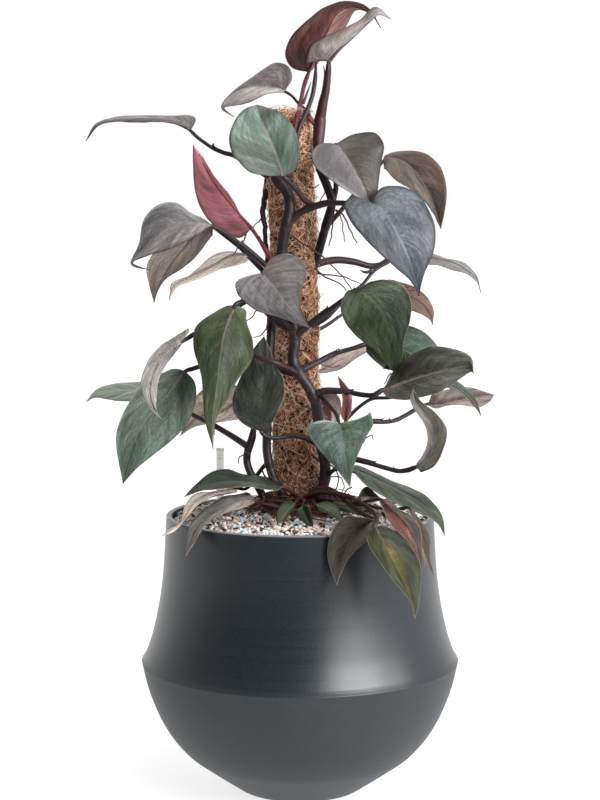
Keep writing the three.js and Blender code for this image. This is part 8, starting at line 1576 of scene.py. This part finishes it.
# the floor in front of the pot gives it no glow, but is as pale as the rest when looked at
seen = m.t.nodes.new("ShaderNodeLightPath").outputs["Is Camera Ray"]
m.put(m.b.inputs["Emission Strength"], m.math("MULTIPLY", m.math("ADD", glow, m.math("MULTIPLY", seen, m.step(fy, -1.5, -0.5, 0.15, 0.0))), m.math("MAXIMUM", seen, m.step(fy, -1.5, -0.3, 0.0, 1.0))))
m.finish(m.mix(g, FLOOR_TONE, FLOOR_TONE_2))
floor = floor.build("studio_floor", [m.mat])


def softbox(name, at, to, size, power, color=(1, 1, 1)):
    d = bpy.data.lights.new(name, "AREA")
    d.shape = "RECTANGLE"
    d.size, d.size_y = size
    d.energy = power
    d.color = color
    o = bpy.data.objects.new(name, d)
    bpy.context.scene.collection.objects.link(o)
    o.location = at
    v = np.array(to, float) - np.array(at, float)
    yaw = math.atan2(v[0], v[1])
    o.rotation_euler = (math.pi / 2 + math.atan2(v[2], math.hypot(v[0], v[1])), 0, -yaw)
    return o



softbox("key", (1.31, -1.545, 1.10), (0, 0, 0.22), (1.3, 0.95), 60)
softbox("wide", (2.15, -0.85, 1.05), (0, 0, 0.22), (1.1, 0.9), 22)
softbox("strip", (1.40, -1.46, 0.42), (0, 0, 0.24), (0.6, 0.84), 3.5)
softbox("top", (0.3, -0.5, 2.6), (0, 0, 0.4), (1.6, 1.2), 20)


world = bpy.data.worlds.new("studio")
bpy.context.scene.world = world
world.use_nodes = True
nt = world.node_tree
nt.nodes.clear()
out = nt.nodes.new("ShaderNodeOutputWorld")
bg_light, bg_seen, mixer, path = (nt.nodes.new(k) for k in ("ShaderNodeBackground", "ShaderNodeBackground", "ShaderNodeMixShader", "ShaderNodeLightPath"))
bg_light.inputs[0].default_value = (*WORLD_COLOR, 1)
# the studio is darker on the camera's side, and white at the sides, above and behind
where = nt.nodes.new("ShaderNodeTexCoord")
split = nt.nodes.new("ShaderNodeSeparateXYZ")
nt.links.new(where.outputs["Generated"], split.inputs[0])
fall = nt.nodes.new("ShaderNodeMapRange")
fall.interpolation_type = "SMOOTHSTEP"
for key, value in WORLD_FALL.items():
    fall.inputs[key].default_value = value
tilt = nt.nodes.new("ShaderNodeMath")
tilt.operation = "MULTIPLY_ADD"
tilt.inputs[1].default_value = 0.55
nt.links.new(split.outputs[2], tilt.inputs[0])
nt.links.new(split.outputs[1], tilt.inputs[2])
lean = nt.nodes.new("ShaderNodeMath")
lean.operation = "MULTIPLY_ADD"
lean.inputs[1].default_value = 0.3
nt.links.new(split.outputs[0], lean.inputs[0])
nt.links.new(tilt.outputs[0], lean.inputs[2])
nt.links.new(lean.outputs[0], fall.inputs["Value"])
nt.links.new(fall.outputs[0], bg_light.inputs[1])
bg_seen.inputs[0].default_value = (1, 1, 1, 1)
bg_seen.inputs[1].default_value = 1.02
nt.links.new(path.outputs["Is Camera Ray"], mixer.inputs[0])
nt.links.new(bg_light.outputs[0], mixer.inputs[1])
nt.links.new(bg_seen.outputs[0], mixer.inputs[2])
nt.links.new(mixer.outputs[0], out.inputs[0])

scene = bpy.context.scene
scene.view_settings.view_transform = "Standard"
scene.view_settings.look = "None"
cam = bpy.data.cameras.new("camera")
cam.sensor_fit = "AUTO"
cam.sensor_width = 36.0
cam.lens = 80.1
cam.clip_start, cam.clip_end = 0.05, 100
camera = bpy.data.objects.new("camera", cam)
scene.collection.objects.link(camera)
camera.location = (0, -1.94012, 0.61705)
camera.rotation_euler = (math.radians(90 - 5.4909), 0, 0)
scene.camera = camera
bpy.context.view_layer.update()
